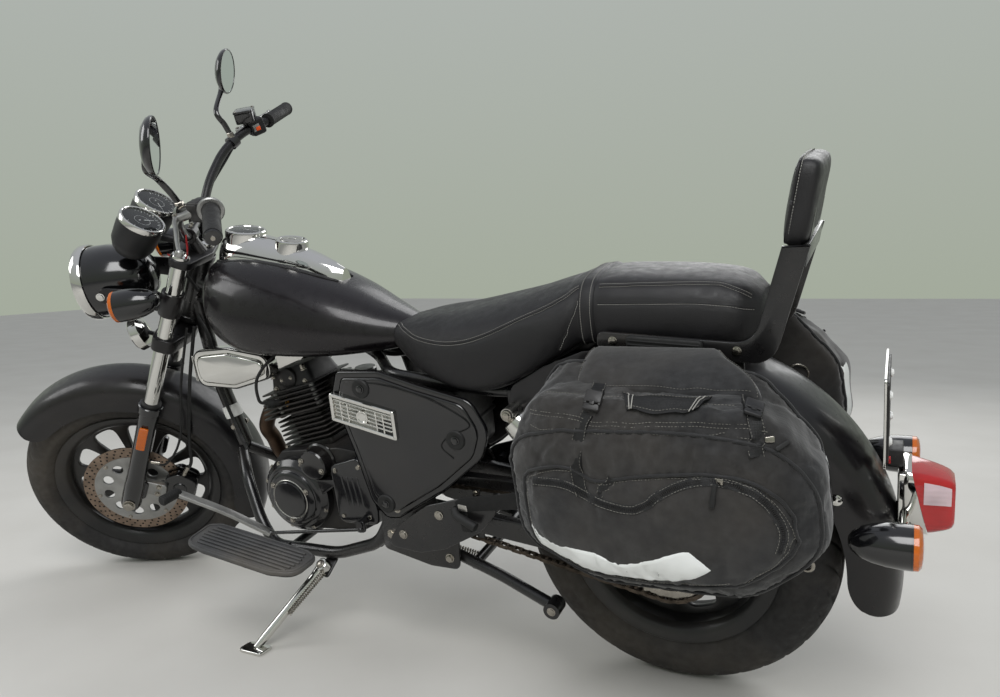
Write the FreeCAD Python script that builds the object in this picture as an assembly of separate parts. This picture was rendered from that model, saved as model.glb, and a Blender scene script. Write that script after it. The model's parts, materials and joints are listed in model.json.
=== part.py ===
import FreeCAD, Part
import math
import os

# A small single-cylinder cruiser motorcycle, leaning on its side stand with the steering on its left stop.
# The pieces are drawn on the upright machine in millimetres: X ahead of the rear axle, Y to the left, Z up.
# The fork's own frame has its origin on the front axle, X square to the legs and Z up along them.

V = FreeCAD.Vector
AHEAD = V(1, 0, 0)
LEFT = V(0, 1, 0)
UP = V(0, 0, 1)

# Stance
WHEELBASE = 1495.0
LEAN = 10.2
STEER = 32.0
RAKE = 29.6
FORK_OFFSET = 33.0
ORIGIN_X = 647.0
ORIGIN_Y = 148.5
GAP = 0.3

# Wheels and tyres
REAR_TYRE_R = 307.5
REAR_TYRE_W = 130.0
REAR_FLANGE_R = 206.0
REAR_RIM_W = 120.0
FRONT_TYRE_R = 302.0
FRONT_TYRE_W = 112.0
FRONT_FLANGE_R = 218.0
FRONT_RIM_W = 86.0
FLANGE_H = 14.0
FLANGE_T = 5.0
RIM_DEPTH = 34.0
WEB_T = 14.0
FRONT_SPOKES = 10
REAR_SPOKES = 10
WHEEL_FLATS = 48
HUB_R = 36.0
AXLE_R = 9.0
AXLE_FIT = 0.3
DISC_R = 138.0
DISC_BAND = 30.0
DISC_T = 4.5
DISC_Y = 61.0
DRUM_R = 88.0

# Chain drive
CHAIN_PITCH = 15.875
CHAIN_Y = 84.0
CHAIN_W = 16.0
CHAIN_H = 14.0
REAR_TEETH = 38
FRONT_TEETH = 14
OUTPUT_X = 625.0
OUTPUT_Z = 372.0
SPROCKET_T = 5.0
TOOTH_GAP = 0.6

# Fork, yokes and head
FORK_HALF = 105.0
TUBE_R = 18.5
SLIDER_R = 27.0
SLIDER_TOP = 322.0
LOWER_YOKE_Z = 492.0
LOWER_YOKE_T = 36.0
TOP_YOKE_Z = 722.0
TOP_YOKE_T = 20.0
STEM_R = 16.0
STEM_FIT = 0.4
HEAD_R = 27.0
HEAD_GAP = 3.0
STOP_HALF = 9.0

# Frame tubes
BACKBONE_R = 21.0
FRAME_R = 14.0
DOWN_R = 18.0
RAIL_R = 12.0
CRADLE_HALF = 118.0
SEAT_RAIL_HALF = 96.0
PLATE_Y = 128.0
PLATE_T = 7.0
PIVOT_X = 560.0
PIVOT_Z = 366.0
ARM_Y = 97.0
ARM_W = 24.0
ARM_H = 46.0
SHOCK_Y = 152.0

# Engine
CYL_X = 830.0
CYL_Z = 452.0
CYL_TILT = 15.0
FIN_T = 3.5
FIN_PITCH = 11.0
CASE_HALF = 88.0
STATOR_X = 862.0
STATOR_Z = 350.0
STATOR_R = 90.0

# Body work
TUNNEL_GAP = 5.0
FENDER_T = 4.0
REAR_FENDER_R = 404.0
REAR_FENDER_HALF = 96.0
FRONT_FENDER_R = 343.0
FRONT_FENDER_HALF = 72.0
RAIL_Y = 120.0
RAIL_T = 8.0
BAG_IN = 184.0
BAG_OUT = 330.0
BOARD_IN = 235.0
BOARD_OUT = 335.0
BOARD_LEN = 300.0
POD_IN = 58.0
PILLION_Y = 160.0
PILLION_T = 6.0
AIRBOX_FRONT = 560.0
SPROCKET_COVER_Y = 122.0

# Controls and lamps
BAR_R = 11.0
GRIP_R = 17.0
HEADLAMP_R = 92.0
GAUGE_R = 52.0
GAUGE_DEPTH = 95.0
MIRROR_R = 55.0
BLINKER_R = 36.0
BLINKER_L = 105.0
PLATE_HOLE_R = 3.25
PLATE_HOLE_Y = 60.0

# Stands
SIDE_PIVOT = V(790.0, 146.0, 196.0)
SIDE_PIN_R = 6.0
SIDE_EYE_HALF = 10.5
SIDE_FOOT_X = 881.0
SIDE_FOOT_Y = 310.0
CENTRE_PIVOT_X = 462.0
CENTRE_PIVOT_Z = 262.0

REAR_AXLE = V(0, 0, REAR_TYRE_R)
FRONT_AXLE = V(WHEELBASE, 0, FRONT_TYRE_R)
FORK = FreeCAD.Placement(FRONT_AXLE, FreeCAD.Rotation(LEFT, -RAKE))
BORE_LINE = FreeCAD.Placement(V(CYL_X, 0, CYL_Z), FreeCAD.Rotation(LEFT, CYL_TILT))
STEER_FOOT = FORK.multVec(V(-FORK_OFFSET, 0, 0))
STEER_AXIS = FORK.Rotation.multVec(UP)


def rounded(corners):
    """The points of a closed polygon; each (point, radius) corner with a radius is rounded by two chords."""
    count = len(corners)
    points = []
    for i, (corner, radius) in enumerate(corners):
        if radius == 0:
            points.append(corner)
            continue
        before = (corners[i - 1][0] - corner).normalize()
        after = (corners[(i + 1) % count][0] - corner).normalize()
        half = before.getAngle(after) / 2
        reach = radius / math.tan(half)
        inward = (before + after).normalize()
        middle = corner + inward * (radius / math.sin(half) - radius)
        points += [corner + before * reach, middle, corner + after * reach]
    return points


def flat_face(points):
    return Part.Face(Part.makePolygon(points + points[:1]))


def sewn(faces):
    """A solid closed by flat faces."""
    shell = Part.makeShell(faces)
    shell.sewShape()
    solid = Part.makeSolid(shell)
    if solid.Volume < 0:
        solid.reverse()
    return solid


def side_plate(corners, y0, y1):
    """A plate whose outline lies in the XZ plane; corners is a list of (x, z, radius)."""
    return flat_face(rounded([(V(x, y0, z), r) for x, z, r in corners])).extrude(V(0, y1 - y0, 0))


def flat_plate(corners, z0, z1):
    """A plate whose outline lies in the XY plane; corners is a list of (x, y, radius)."""
    return flat_face(rounded([(V(x, y, z0), r) for x, y, r in corners])).extrude(V(0, 0, z1 - z0))


def box(x0, x1, y0, y1, z0, z1):
    return Part.makeBox(x1 - x0, y1 - y0, z1 - z0, V(x0, y0, z0))


def ring(centre, along, radius, flats):
    """A regular polygon square to a direction, with a flat underneath."""
    along = V(*along).normalize()
    across = along.cross(UP) if abs(along.z) < 0.99 else LEFT
    across = V(*across).normalize()
    rise = across.cross(along)
    points = []
    for k in range(flats):
        angle = 2 * math.pi * (k + 0.5) / flats
        points.append(V(*centre) + across * (radius * math.cos(angle)) + rise * (radius * math.sin(angle)))
    return points


def rod(start, end, radius, flats=8):
    """A straight round bar, drawn with flats."""
    start, end = V(*start), V(*end)
    return flat_face(ring(start, end - start, radius, flats)).extrude(end - start)


def tube(points, radius, flats=8):
    """A round bar along straight runs with mitred corners."""
    points = [V(*p) for p in points]
    sweep = Part.BRepOffsetAPI.MakePipeShell(Part.makePolygon(points))
    section = ring(points[0], points[1] - points[0], radius, flats)
    sweep.add(Part.makePolygon(section + section[:1]), False, False)
    sweep.setTransitionMode(1)
    sweep.build()
    sweep.makeSolid()
    return sweep.shape()


def hole_radius(shaft_r, fit, flats):
    """Radius to a hole's corners so that its flats clear a shaft by the fit."""
    return (shaft_r + fit) / math.cos(math.pi / flats)


def bore(start, end, shaft_r, fit=GAP, flats=8):
    """The room that a round bar needs in what holds it."""
    return rod(start, end, hole_radius(shaft_r, fit, flats), flats)


def lathe(profile, centre=(0, 0, 0), axis=LEFT, start=0.0, sweep=360.0, flats=16):
    """A closed profile of (radius, offset along the axis), turned in flats from an angle above ahead."""
    full = sweep == 360.0
    stations = []
    for k in range(flats if full else flats + 1):
        angle = math.radians(start + sweep * k / flats)
        stations.append([V(r * math.cos(angle), y, r * math.sin(angle)) for r, y in profile])
    faces = [] if full else [flat_face(stations[0]), flat_face(stations[-1])]
    for k in range(flats):
        here, there = stations[k], stations[(k + 1) % len(stations)]
        for i in range(len(profile)):
            j = (i + 1) % len(profile)
            if profile[i][0] == 0 and profile[j][0] == 0:
                continue
            corners = [here[i], here[j]]
            corners += [there[j]] if profile[j][0] > 0 else []
            corners += [there[i]] if profile[i][0] > 0 else []
            faces.append(flat_face(corners))
    return set_on(sewn(faces), centre, axis)


def set_on(solid, centre, axis):
    """Turns a solid drawn about the Y axis onto another axis and moves it to its centre."""
    turn = FreeCAD.Rotation(LEFT, V(*axis))
    solid = solid.copy()
    solid.Placement = FreeCAD.Placement(V(*centre), turn) * solid.Placement
    return solid


def in_fork(solid):
    solid = solid.copy()
    solid.Placement = FORK * solid.Placement
    return solid


def mirrored(solid):
    return solid.mirror(V(0, 0, 0), LEFT)


def both(*solids):
    """Each solid and its twin on the right, as separate solids of one piece."""
    return group(*solids, *[mirrored(s) for s in solids])


def group(*solids):
    return Part.makeCompound([s for shape in solids for s in shape.Solids])


def fused(first, *others):
    joined = first.fuse(list(others))
    return joined.removeSplitter()


def turned(solid, centre, axis, degrees):
    solid = solid.copy()
    solid.rotate(V(*centre), V(*axis), degrees)
    return solid


def loft(sections):
    """Flat facets through sections; each is a list of (x, y, z, radius) corners in the same order."""
    rings = [rounded([(V(x, y, z), r) for x, y, z, r in s]) for s in sections]
    faces = [flat_face(rings[0]), flat_face(rings[-1])]
    for here, there in zip(rings, rings[1:]):
        for i in range(len(here)):
            j = (i + 1) % len(here)
            faces += [flat_face([here[i], here[j], there[j]]), flat_face([here[i], there[j], there[i]])]
    return sewn(faces)


def tyre_profile(radius, width, flange_r, rim_w):
    """Round crown, straight sidewalls and flat beads inside the rim's flanges."""
    crown = width / 2
    middle = radius - crown
    turns = [math.radians(a) for a in (30, 60, 90)]
    side = [(middle + crown * math.cos(a), crown * math.sin(a)) for a in turns]
    bead_half = rim_w / 2 - FLANGE_T - GAP
    side += [(flange_r + 1.5, bead_half), (flange_r - FLANGE_H + GAP, bead_half)]
    return [(radius, 0.0)] + side + [(r, -y) for r, y in reversed(side)]


REAR_PROFILE = tyre_profile(REAR_TYRE_R, REAR_TYRE_W, REAR_FLANGE_R, REAR_RIM_W)
FRONT_PROFILE = tyre_profile(FRONT_TYRE_R, FRONT_TYRE_W, FRONT_FLANGE_R, FRONT_RIM_W)


def rear_tyre():
    return lathe(REAR_PROFILE, REAR_AXLE, flats=WHEEL_FLATS)


def front_tyre():
    return lathe(FRONT_PROFILE, FRONT_AXLE, flats=WHEEL_FLATS)


def cast_wheel(flange_r, rim_w, spokes, hub_half, centre):
    """Rim with two flanges, a web pierced by tapering windows, and a hub bored for the axle."""
    half = rim_w / 2
    seat = flange_r - FLANGE_H
    inner = flange_r - RIM_DEPTH
    rim = lathe([
        (flange_r, half), (flange_r, half - FLANGE_T), (seat, half - FLANGE_T),
        (seat, FLANGE_T - half), (flange_r, FLANGE_T - half), (flange_r, -half),
        (inner, 12 - half), (inner, half - 12),
    ], flats=WHEEL_FLATS)
    web = lathe([
        (inner + 2, WEB_T / 2), (inner + 2, -WEB_T / 2), (HUB_R - 2, -WEB_T / 2), (HUB_R - 2, WEB_T / 2),
    ], flats=WHEEL_FLATS)
    pitch = math.radians(360 / spokes)
    low, high = HUB_R + 26, inner - 16
    for k in range(spokes):
        corners = []
        for r, share in ((low, -0.27), (high, -0.33), (high, 0.33), (low, 0.27)):
            angle = (k + share) * pitch
            corners.append((r * math.cos(angle), r * math.sin(angle), 0))
        web = web.cut(side_plate(corners, -WEB_T, WEB_T))
    hole_r = hole_radius(AXLE_R, AXLE_FIT, 16)
    hub = lathe([(HUB_R, hub_half), (HUB_R, -hub_half), (hole_r, -hub_half), (hole_r, hub_half)])
    wheel = fused(rim, web, hub)
    wheel.translate(V(*centre))
    return wheel


FRONT_HUB_HALF = DISC_Y - DISC_T / 2 - 2
REAR_HUB_HALF = CHAIN_Y - SPROCKET_T / 2 - 8


def front_rim():
    return cast_wheel(FRONT_FLANGE_R, FRONT_RIM_W, FRONT_SPOKES, FRONT_HUB_HALF, FRONT_AXLE)


def rear_rim():
    wheel = cast_wheel(REAR_FLANGE_R, REAR_RIM_W, REAR_SPOKES, REAR_HUB_HALF, REAR_AXLE)
    outer = [(DRUM_R, -WEB_T / 2), (DRUM_R - 6, -REAR_HUB_HALF)]
    drum = lathe(outer + [(HUB_R - 1, -REAR_HUB_HALF), (HUB_R - 1, -WEB_T / 2)], REAR_AXLE)
    return fused(wheel, drum)


def front_disc():
    """Brake band on a pierced carrier, bolted to the end of the hub."""
    low, high = DISC_Y - DISC_T / 2, DISC_Y + DISC_T / 2
    band_in, eye = DISC_R - DISC_BAND, AXLE_R + 3
    band = lathe([(DISC_R, low), (DISC_R, high), (band_in, high), (band_in, low)], flats=36)
    arms = lathe([(band_in + 1, low), (band_in + 1, high), (eye, high), (eye, low)], flats=36)
    for k in range(10):
        angle = math.radians(36 * k)
        centre = V(74 * math.cos(angle), low - 1, 74 * math.sin(angle))
        arms = arms.cut(rod(centre, centre + V(0, DISC_T + 2, 0), 14))
    foot_r = HUB_R - 4
    foot = lathe([(foot_r, FRONT_HUB_HALF), (foot_r, low + 0.5), (eye, low + 0.5), (eye, FRONT_HUB_HALF)])
    disc = fused(band, arms, foot)
    disc.translate(FRONT_AXLE)
    return disc


def pitch_radius(teeth):
    return CHAIN_PITCH / (2 * math.sin(math.pi / teeth))


def sprocket_plate(teeth, centre_x, centre_z, y0, y1, bore):
    """A toothed plate; the tips stay below the chain's rollers."""
    tip = pitch_radius(teeth) - CHAIN_H / 2 - TOOTH_GAP
    corners = []
    for k in range(teeth):
        for share, r in ((0.0, tip), (0.5, tip - 5)):
            angle = 2 * math.pi * (k + share) / teeth
            corners.append((centre_x + r * math.cos(angle), centre_z + r * math.sin(angle), 0))
    plate = side_plate(corners, y0, y1)
    return plate.cut(rod((centre_x, y0 - 1, centre_z), (centre_x, y1 + 1, centre_z), bore))


def rear_sprocket():
    y0 = CHAIN_Y - SPROCKET_T / 2
    y1 = CHAIN_Y + SPROCKET_T / 2
    plate = sprocket_plate(REAR_TEETH, 0, REAR_TYRE_R, y0, y1, AXLE_R + 5)
    for k in range(5):
        angle = math.radians(72 * k)
        x, z = 58 * math.cos(angle), REAR_TYRE_R + 58 * math.sin(angle)
        plate = plate.cut(rod((x, y0 - 1, z), (x, y1 + 1, z), 15))
    eye = AXLE_R + 5
    carrier = lathe([(HUB_R, REAR_HUB_HALF), (HUB_R, y0), (eye, y0), (eye, REAR_HUB_HALF)], REAR_AXLE)
    return fused(plate, carrier)


def front_sprocket():
    y0 = CHAIN_Y - SPROCKET_T / 2
    y1 = CHAIN_Y + SPROCKET_T / 2
    return sprocket_plate(FRONT_TEETH, OUTPUT_X, OUTPUT_Z, y0, y1, 8)


def chain_corners(offsets):
    """Scalloped outline of the links: the offset from the centre line swings once per pitch."""
    big, small = pitch_radius(REAR_TEETH), pitch_radius(FRONT_TEETH)
    reach = math.hypot(OUTPUT_X, OUTPUT_Z - REAR_TYRE_R)
    rise = math.atan2(OUTPUT_Z - REAR_TYRE_R, OUTPUT_X)
    spread = math.acos((big - small) / reach)
    run = math.sqrt(reach ** 2 - (big - small) ** 2)
    arc_small = small * 2 * spread
    arc_big = big * 2 * (math.pi - spread)
    total = 2 * run + arc_small + arc_big
    links = round(total / CHAIN_PITCH)
    corners = []
    for k in range(2 * links):
        s = total * k / (2 * links)
        offset = offsets[k % 2]
        if s < arc_small:
            angle = rise - spread + s / small
            x, z, r = OUTPUT_X, OUTPUT_Z, small
        elif s < arc_small + run:
            angle = rise + spread
            t = (s - arc_small) / run
            x, z, r = OUTPUT_X * (1 - t), OUTPUT_Z + (REAR_TYRE_R - OUTPUT_Z) * t, small + (big - small) * t
        elif s < arc_small + run + arc_big:
            angle = rise + spread + (s - arc_small - run) / big
            x, z, r = 0.0, REAR_TYRE_R, big
        else:
            angle = rise - spread
            t = (s - arc_small - run - arc_big) / run
            x, z, r = OUTPUT_X * t, REAR_TYRE_R + (OUTPUT_Z - REAR_TYRE_R) * t, big + (small - big) * t
        corners.append((x + (r + offset) * math.cos(angle), z + (r + offset) * math.sin(angle), 0))
    return corners


def chain():
    """One closed loop; the plates bulge at each pin and waist between pins."""
    half = CHAIN_H / 2
    y0, y1 = CHAIN_Y - CHAIN_W / 2, CHAIN_Y + CHAIN_W / 2
    outer = side_plate(chain_corners((half, half - 2.5)), y0, y1)
    inner = side_plate(chain_corners((-half, 2.5 - half)), y0 - 1, y1 + 1)
    return outer.cut(inner)


def fork_sliders():
    """Two cast sliders with axle lugs, and the axle between them."""
    leg = rod((0, FORK_HALF, -26), (0, FORK_HALF, SLIDER_TOP), SLIDER_R)
    collar = rod((0, FORK_HALF, SLIDER_TOP - 22), (0, FORK_HALF, SLIDER_TOP), SLIDER_R + 3)
    leg = fused(leg, collar).cut(rod((0, FORK_HALF, 60), (0, FORK_HALF, SLIDER_TOP + 1), TUBE_R + GAP))
    inner = FORK_HALF - SLIDER_R + 6
    spacer = rod((0, DISC_Y + DISC_T / 2 + 2, 0), (0, inner, 0), AXLE_R + 5)
    axle = rod((0, -FORK_HALF - SLIDER_R - 6, 0), (0, FORK_HALF + SLIDER_R + 6, 0), AXLE_R)
    right_spacer = rod((0, -FRONT_HUB_HALF - 2, 0), (0, -inner, 0), AXLE_R + 5)
    return in_fork(fused(leg, mirrored(leg), spacer, right_spacer, axle))


def fork_tubes():
    tube_solid = rod((0, FORK_HALF, 62), (0, FORK_HALF, TOP_YOKE_Z + TOP_YOKE_T + 6), TUBE_R)
    return in_fork(both(tube_solid))


def yoke_blank(z, thick, half_extra):
    """A waisted plate round both legs and the stem, seen along the steering axis."""
    y = FORK_HALF + half_extra
    back = -FORK_OFFSET - 26
    blank = flat_plate([
        (half_extra, y, 12), (half_extra, -y, 12), (-half_extra, -y, 12), (back, -34, 10),
        (back, 34, 10), (-half_extra, y, 12),
    ], z, z + thick)
    for side in (1, -1):
        y = side * FORK_HALF
        blank = blank.cut(rod((0, y, z - 1), (0, y, z + thick + 1), TUBE_R + GAP))
    return blank


def lower_yoke():
    """Lower clamp with the stem pressed in and two lugs that meet the frame's stop at full lock."""
    top = LOWER_YOKE_Z + LOWER_YOKE_T
    plate = yoke_blank(LOWER_YOKE_Z, LOWER_YOKE_T, 26)
    stem = rod((-FORK_OFFSET, 0, LOWER_YOKE_Z + 4), (-FORK_OFFSET, 0, TOP_YOKE_Z - GAP), STEM_R, 16)
    lug = box(31 - FORK_OFFSET, 44 - FORK_OFFSET, STOP_HALF + GAP, STOP_HALF + 12, top - 4, top + 14)
    left_lug = turned(lug, (-FORK_OFFSET, 0, 0), UP, STEER)
    right_lug = turned(mirrored(lug), (-FORK_OFFSET, 0, 0), UP, -STEER)
    return in_fork(fused(plate, stem, left_lug, right_lug))


def top_yoke():
    """Top clamp with the two handlebar risers on it."""
    plate = yoke_blank(TOP_YOKE_Z, TOP_YOKE_T, 24)
    plate = in_fork(plate)
    risers = []
    for side in (1, -1):
        foot = FORK.multVec(V(-FORK_OFFSET, side * 46, TOP_YOKE_Z + TOP_YOKE_T - 2))
        seat = V(BAR_POINTS[0][0], side * 46, BAR_POINTS[0][2])
        riser = rod(foot, seat, 13)
        clamp = rod((seat.x, seat.y - 14, seat.z), (seat.x, seat.y + 14, seat.z), BAR_R + 8)
        risers += [riser, clamp]
    bar_room = half_bar(BAR_R + GAP, 0.5)
    return fused(plate, *risers).cut(bar_room).cut(mirrored(bar_room))


def yokes():
    return group(lower_yoke(), top_yoke())


# x, y, z of the left half of the handlebar, from its middle to the grip's end
BAR_POINTS = [
    (1112.0, 0.0, 978.0), (1112.0, 78.0, 978.0), (1090.0, 150.0, 1036.0), (1056.0, 222.0, 1082.0),
    (1006.0, 284.0, 1108.0), (951.0, 326.0, 1113.0), (917.0, 468.0, 1107.0),
]


def half_bar(radius, reach):
    """The left half of the bar, up to a share of the grip's length."""
    return tube(BAR_POINTS[:-1] + [on_grip(reach)], radius)


def handlebar():
    """One bent tube from grip to grip; it ends inside the grips."""
    left = half_bar(BAR_R, 0.9)
    return fused(left, mirrored(left))


def on_grip(share):
    """A point along the grip's axis, 0 at its inner end and 1 at its outer end."""
    a, b = V(*BAR_POINTS[-2]), V(*BAR_POINTS[-1])
    p = a + (b - a) * share
    return (p.x, p.y, p.z)


def grips():
    """Rubber grips, closed at their outer ends."""
    return both(rod(on_grip(0.06), on_grip(1.0), GRIP_R).cut(half_bar(BAR_R + GAP, 0.91)))


def hand_controls():
    """Switch housings inboard of the grips, lever perches, levers and the brake reservoir."""
    a, b = V(*BAR_POINTS[-3]), V(*BAR_POINTS[-2])
    near = a + (b - a) * 0.30
    far = a + (b - a) * 0.78
    house = rod(near, far, 21)
    bar_room = half_bar(BAR_R + GAP, 0.5)
    perch = V(*a) + (b - a) * 0.45
    pivot = perch + V(44, 12, -6)
    arm = rod(perch + V(16, 8, -2), pivot, 8)
    tip = perch + V(-6, 190, -12)
    lever = tube([pivot, perch + V(28, 70, -8), tip], 5)
    ball = lathe([(0, -8), (6, -5), (8, 0), (6, 5), (0, 8)], tip, flats=8)
    left = fused(house, arm, lever, ball)
    reservoir = box(perch.x - 14, perch.x + 34, -perch.y - 14, -perch.y + 32, perch.z + 18, perch.z + 50)
    neck = rod((perch.x + 16, -perch.y - 2, perch.z), (perch.x + 16, -perch.y + 6, perch.z + 20), 7)
    right = fused(mirrored(left), reservoir, neck)
    return group(left.cut(bar_room), right.cut(mirrored(bar_room)))


def mirrors():
    """Round mirrors on bent stems, clamped to the bar beside the controls."""
    a, b = V(*BAR_POINTS[3]), V(*BAR_POINTS[4])
    root = a + (b - a) * 0.5
    clamp = rod(a + (b - a) * 0.38, a + (b - a) * 0.62, 17).cut(half_bar(BAR_R + GAP, 0.5))
    head = V(1020, 330, 1254)
    stem = tube([root + V(0, 0, 13), root + V(18, 10, 70), head + V(16, 0, -20)], 6)
    shell = lathe([
        (0, -12), (MIRROR_R, -12), (MIRROR_R, -6), (MIRROR_R - 10, 6), (MIRROR_R - 30, 12), (0, 12),
    ], head, (0.96, 0.12, 0.24))
    return both(fused(clamp, stem, shell))


def gauges():
    """Two instrument cups, tipped back towards the rider, on a bracket over the top yoke."""
    tip = math.radians(41)
    axis = V(-math.sin(tip), 0, math.cos(tip))
    cups = []
    for side in (1, -1):
        face = V(1195, side * 59, 1037)
        cups.append(lathe([
            (0, 0), (GAUGE_R, 0), (GAUGE_R, -22), (GAUGE_R - 5, -70), (GAUGE_R - 20, -GAUGE_DEPTH),
            (0, -GAUGE_DEPTH),
        ], face, axis))
    foot = FORK.multVec(V(24, 0, TOP_YOKE_Z + TOP_YOKE_T / 2))
    bar = rod((1226, -30, 980), (1226, 30, 980), 9)
    post = rod((foot.x + 1, 0, foot.z), (1226, 0, 980), 9)
    yoke_front = box(-24, 24 + GAP, -FORK_HALF, FORK_HALF, TOP_YOKE_Z, TOP_YOKE_Z + TOP_YOKE_T)
    return fused(cups[0], cups[1], bar, post.cut(in_fork(yoke_front)))


LAMP_X = 1405.0
LAMP_Z = 885.0


def headlamp_shell():
    """Deep bowl behind the rim, with the bracket's ears on the fork tubes."""
    r = HEADLAMP_R
    bowl = lathe([
        (0, 0), (r - 6, 0), (r - 6, -40), (r - 20, -95), (r - 46, -132), (0, -146),
    ], (LAMP_X - 22, 0, LAMP_Z), AHEAD)
    bolt = rod((LAMP_X - 62, r - 12, LAMP_Z), (LAMP_X - 62, r + 8, LAMP_Z), 8)
    left, right = lamp_brackets().Solids
    return fused(bowl, bolt, mirrored(bolt), left, right)


def headlamp_lens():
    """Chrome rim with a domed lens in it."""
    r = HEADLAMP_R
    return lathe([
        (0, GAP - 22), (r - 3, GAP - 22), (r, -14), (r, -4), (r - 8, 2), (r - 40, 10), (0, 13),
    ], (LAMP_X, 0, LAMP_Z), AHEAD)


def lamp_brackets():
    """A clamp round each fork tube with an ear to the headlamp's side and a stub for the indicator."""
    clamp = in_fork(rod((0, FORK_HALF, 590), (0, FORK_HALF, 650), TUBE_R + 7))
    ear = side_plate([
        (1195, 850, 0), (1212, 872, 0), (1340, 906, 14), (1354, 870, 14), (1225, 822, 0),
    ], HEADLAMP_R + 1, HEADLAMP_R + 7)
    stub = rod((1218, HEADLAMP_R + 5, 868), (1222, FRONT_BLINKER[1] - BLINKER_R + 10, 880), 8)
    tube_room = in_fork(rod((0, FORK_HALF, 500), (0, FORK_HALF, 750), TUBE_R + GAP))
    return both(fused(clamp, ear, stub).cut(tube_room).cut(lathe(BLINKER_ROOM, FRONT_BLINKER, AHEAD)))


BLINKER_BODY = [
    (0, -GAP), (BLINKER_R, -GAP), (BLINKER_R, -44), (BLINKER_R - 8, -72), (BLINKER_R - 22, 14 - BLINKER_L),
    (0, 14 - BLINKER_L),
]
BLINKER_ROOM = [(0, 0), (BLINKER_R + GAP, 0)] + [(r + GAP if r else 0, y - GAP) for r, y in BLINKER_BODY[2:]]
FRONT_BLINKER = (1270.0, 181.0, 888.0)
REAR_BLINKER = (-412.0, 181.0, 437.0)
BLINKER_LENS = [(0, 0), (BLINKER_R, 0), (BLINKER_R, 8), (BLINKER_R - 10, 14), (0, 16)]


def front_indicators():
    return both(lathe(BLINKER_BODY, FRONT_BLINKER, AHEAD))


def front_indicator_lenses():
    return both(lathe(BLINKER_LENS, FRONT_BLINKER, AHEAD))


def horn():
    """Round horn under the headlamp on a strap from the lower yoke."""
    disc = lathe([
        (0, 0), (36, 0), (42, -8), (40, -26), (20, -34), (0, -34),
    ], (1322, 62, 756), (0.97, 0.1, -0.2))
    start = FORK.multVec(V(25 + GAP, 60, LOWER_YOKE_Z + 18))
    strap = rod(start, (1296, 62, 762), 6)
    block = in_fork(box(-26, 26 + GAP, 20, FORK_HALF, LOWER_YOKE_Z, LOWER_YOKE_Z + LOWER_YOKE_T))
    return fused(disc, strap.cut(block))


def channel(outer, inner):
    """A U-shaped section from its left half's outer and inner points, each from the rim to the crown."""
    right_outer = [(r, -y) for r, y in reversed(outer)]
    right_inner = [(r, -y) for r, y in inner]
    return outer + right_outer + right_inner + list(reversed(inner))


def front_fender():
    """Deep skirted fender over the front wheel, on two stays to the sliders."""
    r, h, t = FRONT_FENDER_R, FRONT_FENDER_HALF, FENDER_T
    outer = [(262, h), (r - 36, h), (r - 12, h - 20), (r, h - 48)]
    inner = [(262, h - t), (r - 37, h - t), (r - 15, h - 23), (r - t, h - 49)]
    profile = channel(outer, inner)
    shell = lathe(profile, start=47, sweep=164, flats=20)
    shell.translate(FRONT_AXLE)
    pads = []
    for side in (1, -1):
        pad = box(-16, 16, h - 1, FORK_HALF - SLIDER_R + 4, 250, 290)
        pads.append(in_fork(pad if side > 0 else mirrored(pad)))
    sliders = in_fork(both(rod((0, FORK_HALF, 200), (0, FORK_HALF, 300), SLIDER_R + GAP)))
    return fused(shell, *[p.cut(sliders) for p in pads])


def front_caliper():
    """Sliding caliper behind the left leg, straddling the disc, with its bracket to the slider."""
    block = side_plate([
        (-152, 18, 16), (-150, 92, 20), (-92, 104, 16), (-66, 84, 10), (-66, 22, 10),
    ], DISC_Y - 24, DISC_Y + 30)
    slot = bore((0, DISC_Y - DISC_T / 2 - 3, 0), (0, DISC_Y + DISC_T / 2 + 3, 0), DISC_R, 5, 24)
    bracket = side_plate([(-80, 26, 0), (-80, 66, 0), (-10, 66, 0), (-10, 26, 0)], DISC_Y + 22, FORK_HALF - 4)
    leg = rod((0, FORK_HALF, -40), (0, FORK_HALF, 200), SLIDER_R + GAP)
    carrier_room = rod((0, DISC_Y - 40, 0), (0, DISC_Y + 18, 0), 92, 24)
    union = rod(HOSE_FOOT - HOSE_RISE * 20, HOSE_FOOT, 7)
    return in_fork(fused(block, bracket, union).cut(leg).cut(slot).cut(carrier_room))


# Where the brake hose meets the caliper's union, and the way it leaves it, in the fork's frame
HOSE_FOOT = V(-115.0, 80.0, 112.0)
HOSE_RISE = V(-0.2, 0.0, 1.0).normalize()


def fork_hoses():
    """Brake hose and speedometer cable behind the left leg, from the gauges down to caliper and leg."""
    brake = tube([
        HOSE_FOOT + HOSE_RISE * GAP, HOSE_FOOT + HOSE_RISE * 40, (-104, 82, 230), (-72, 84, 400),
        (-58, 84, 560),
    ], 4, 6)
    cable = tube([
        (-SLIDER_R + 6, FORK_HALF, 140), (-70, FORK_HALF, 146), (-84, 96, 230), (-56, 96, 400),
        (-44, 98, 560),
    ], 3, 6)
    cable = cable.cut(rod((0, FORK_HALF, 100), (0, FORK_HALF, 180), SLIDER_R + GAP))
    return in_fork(group(brake, cable))


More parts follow.
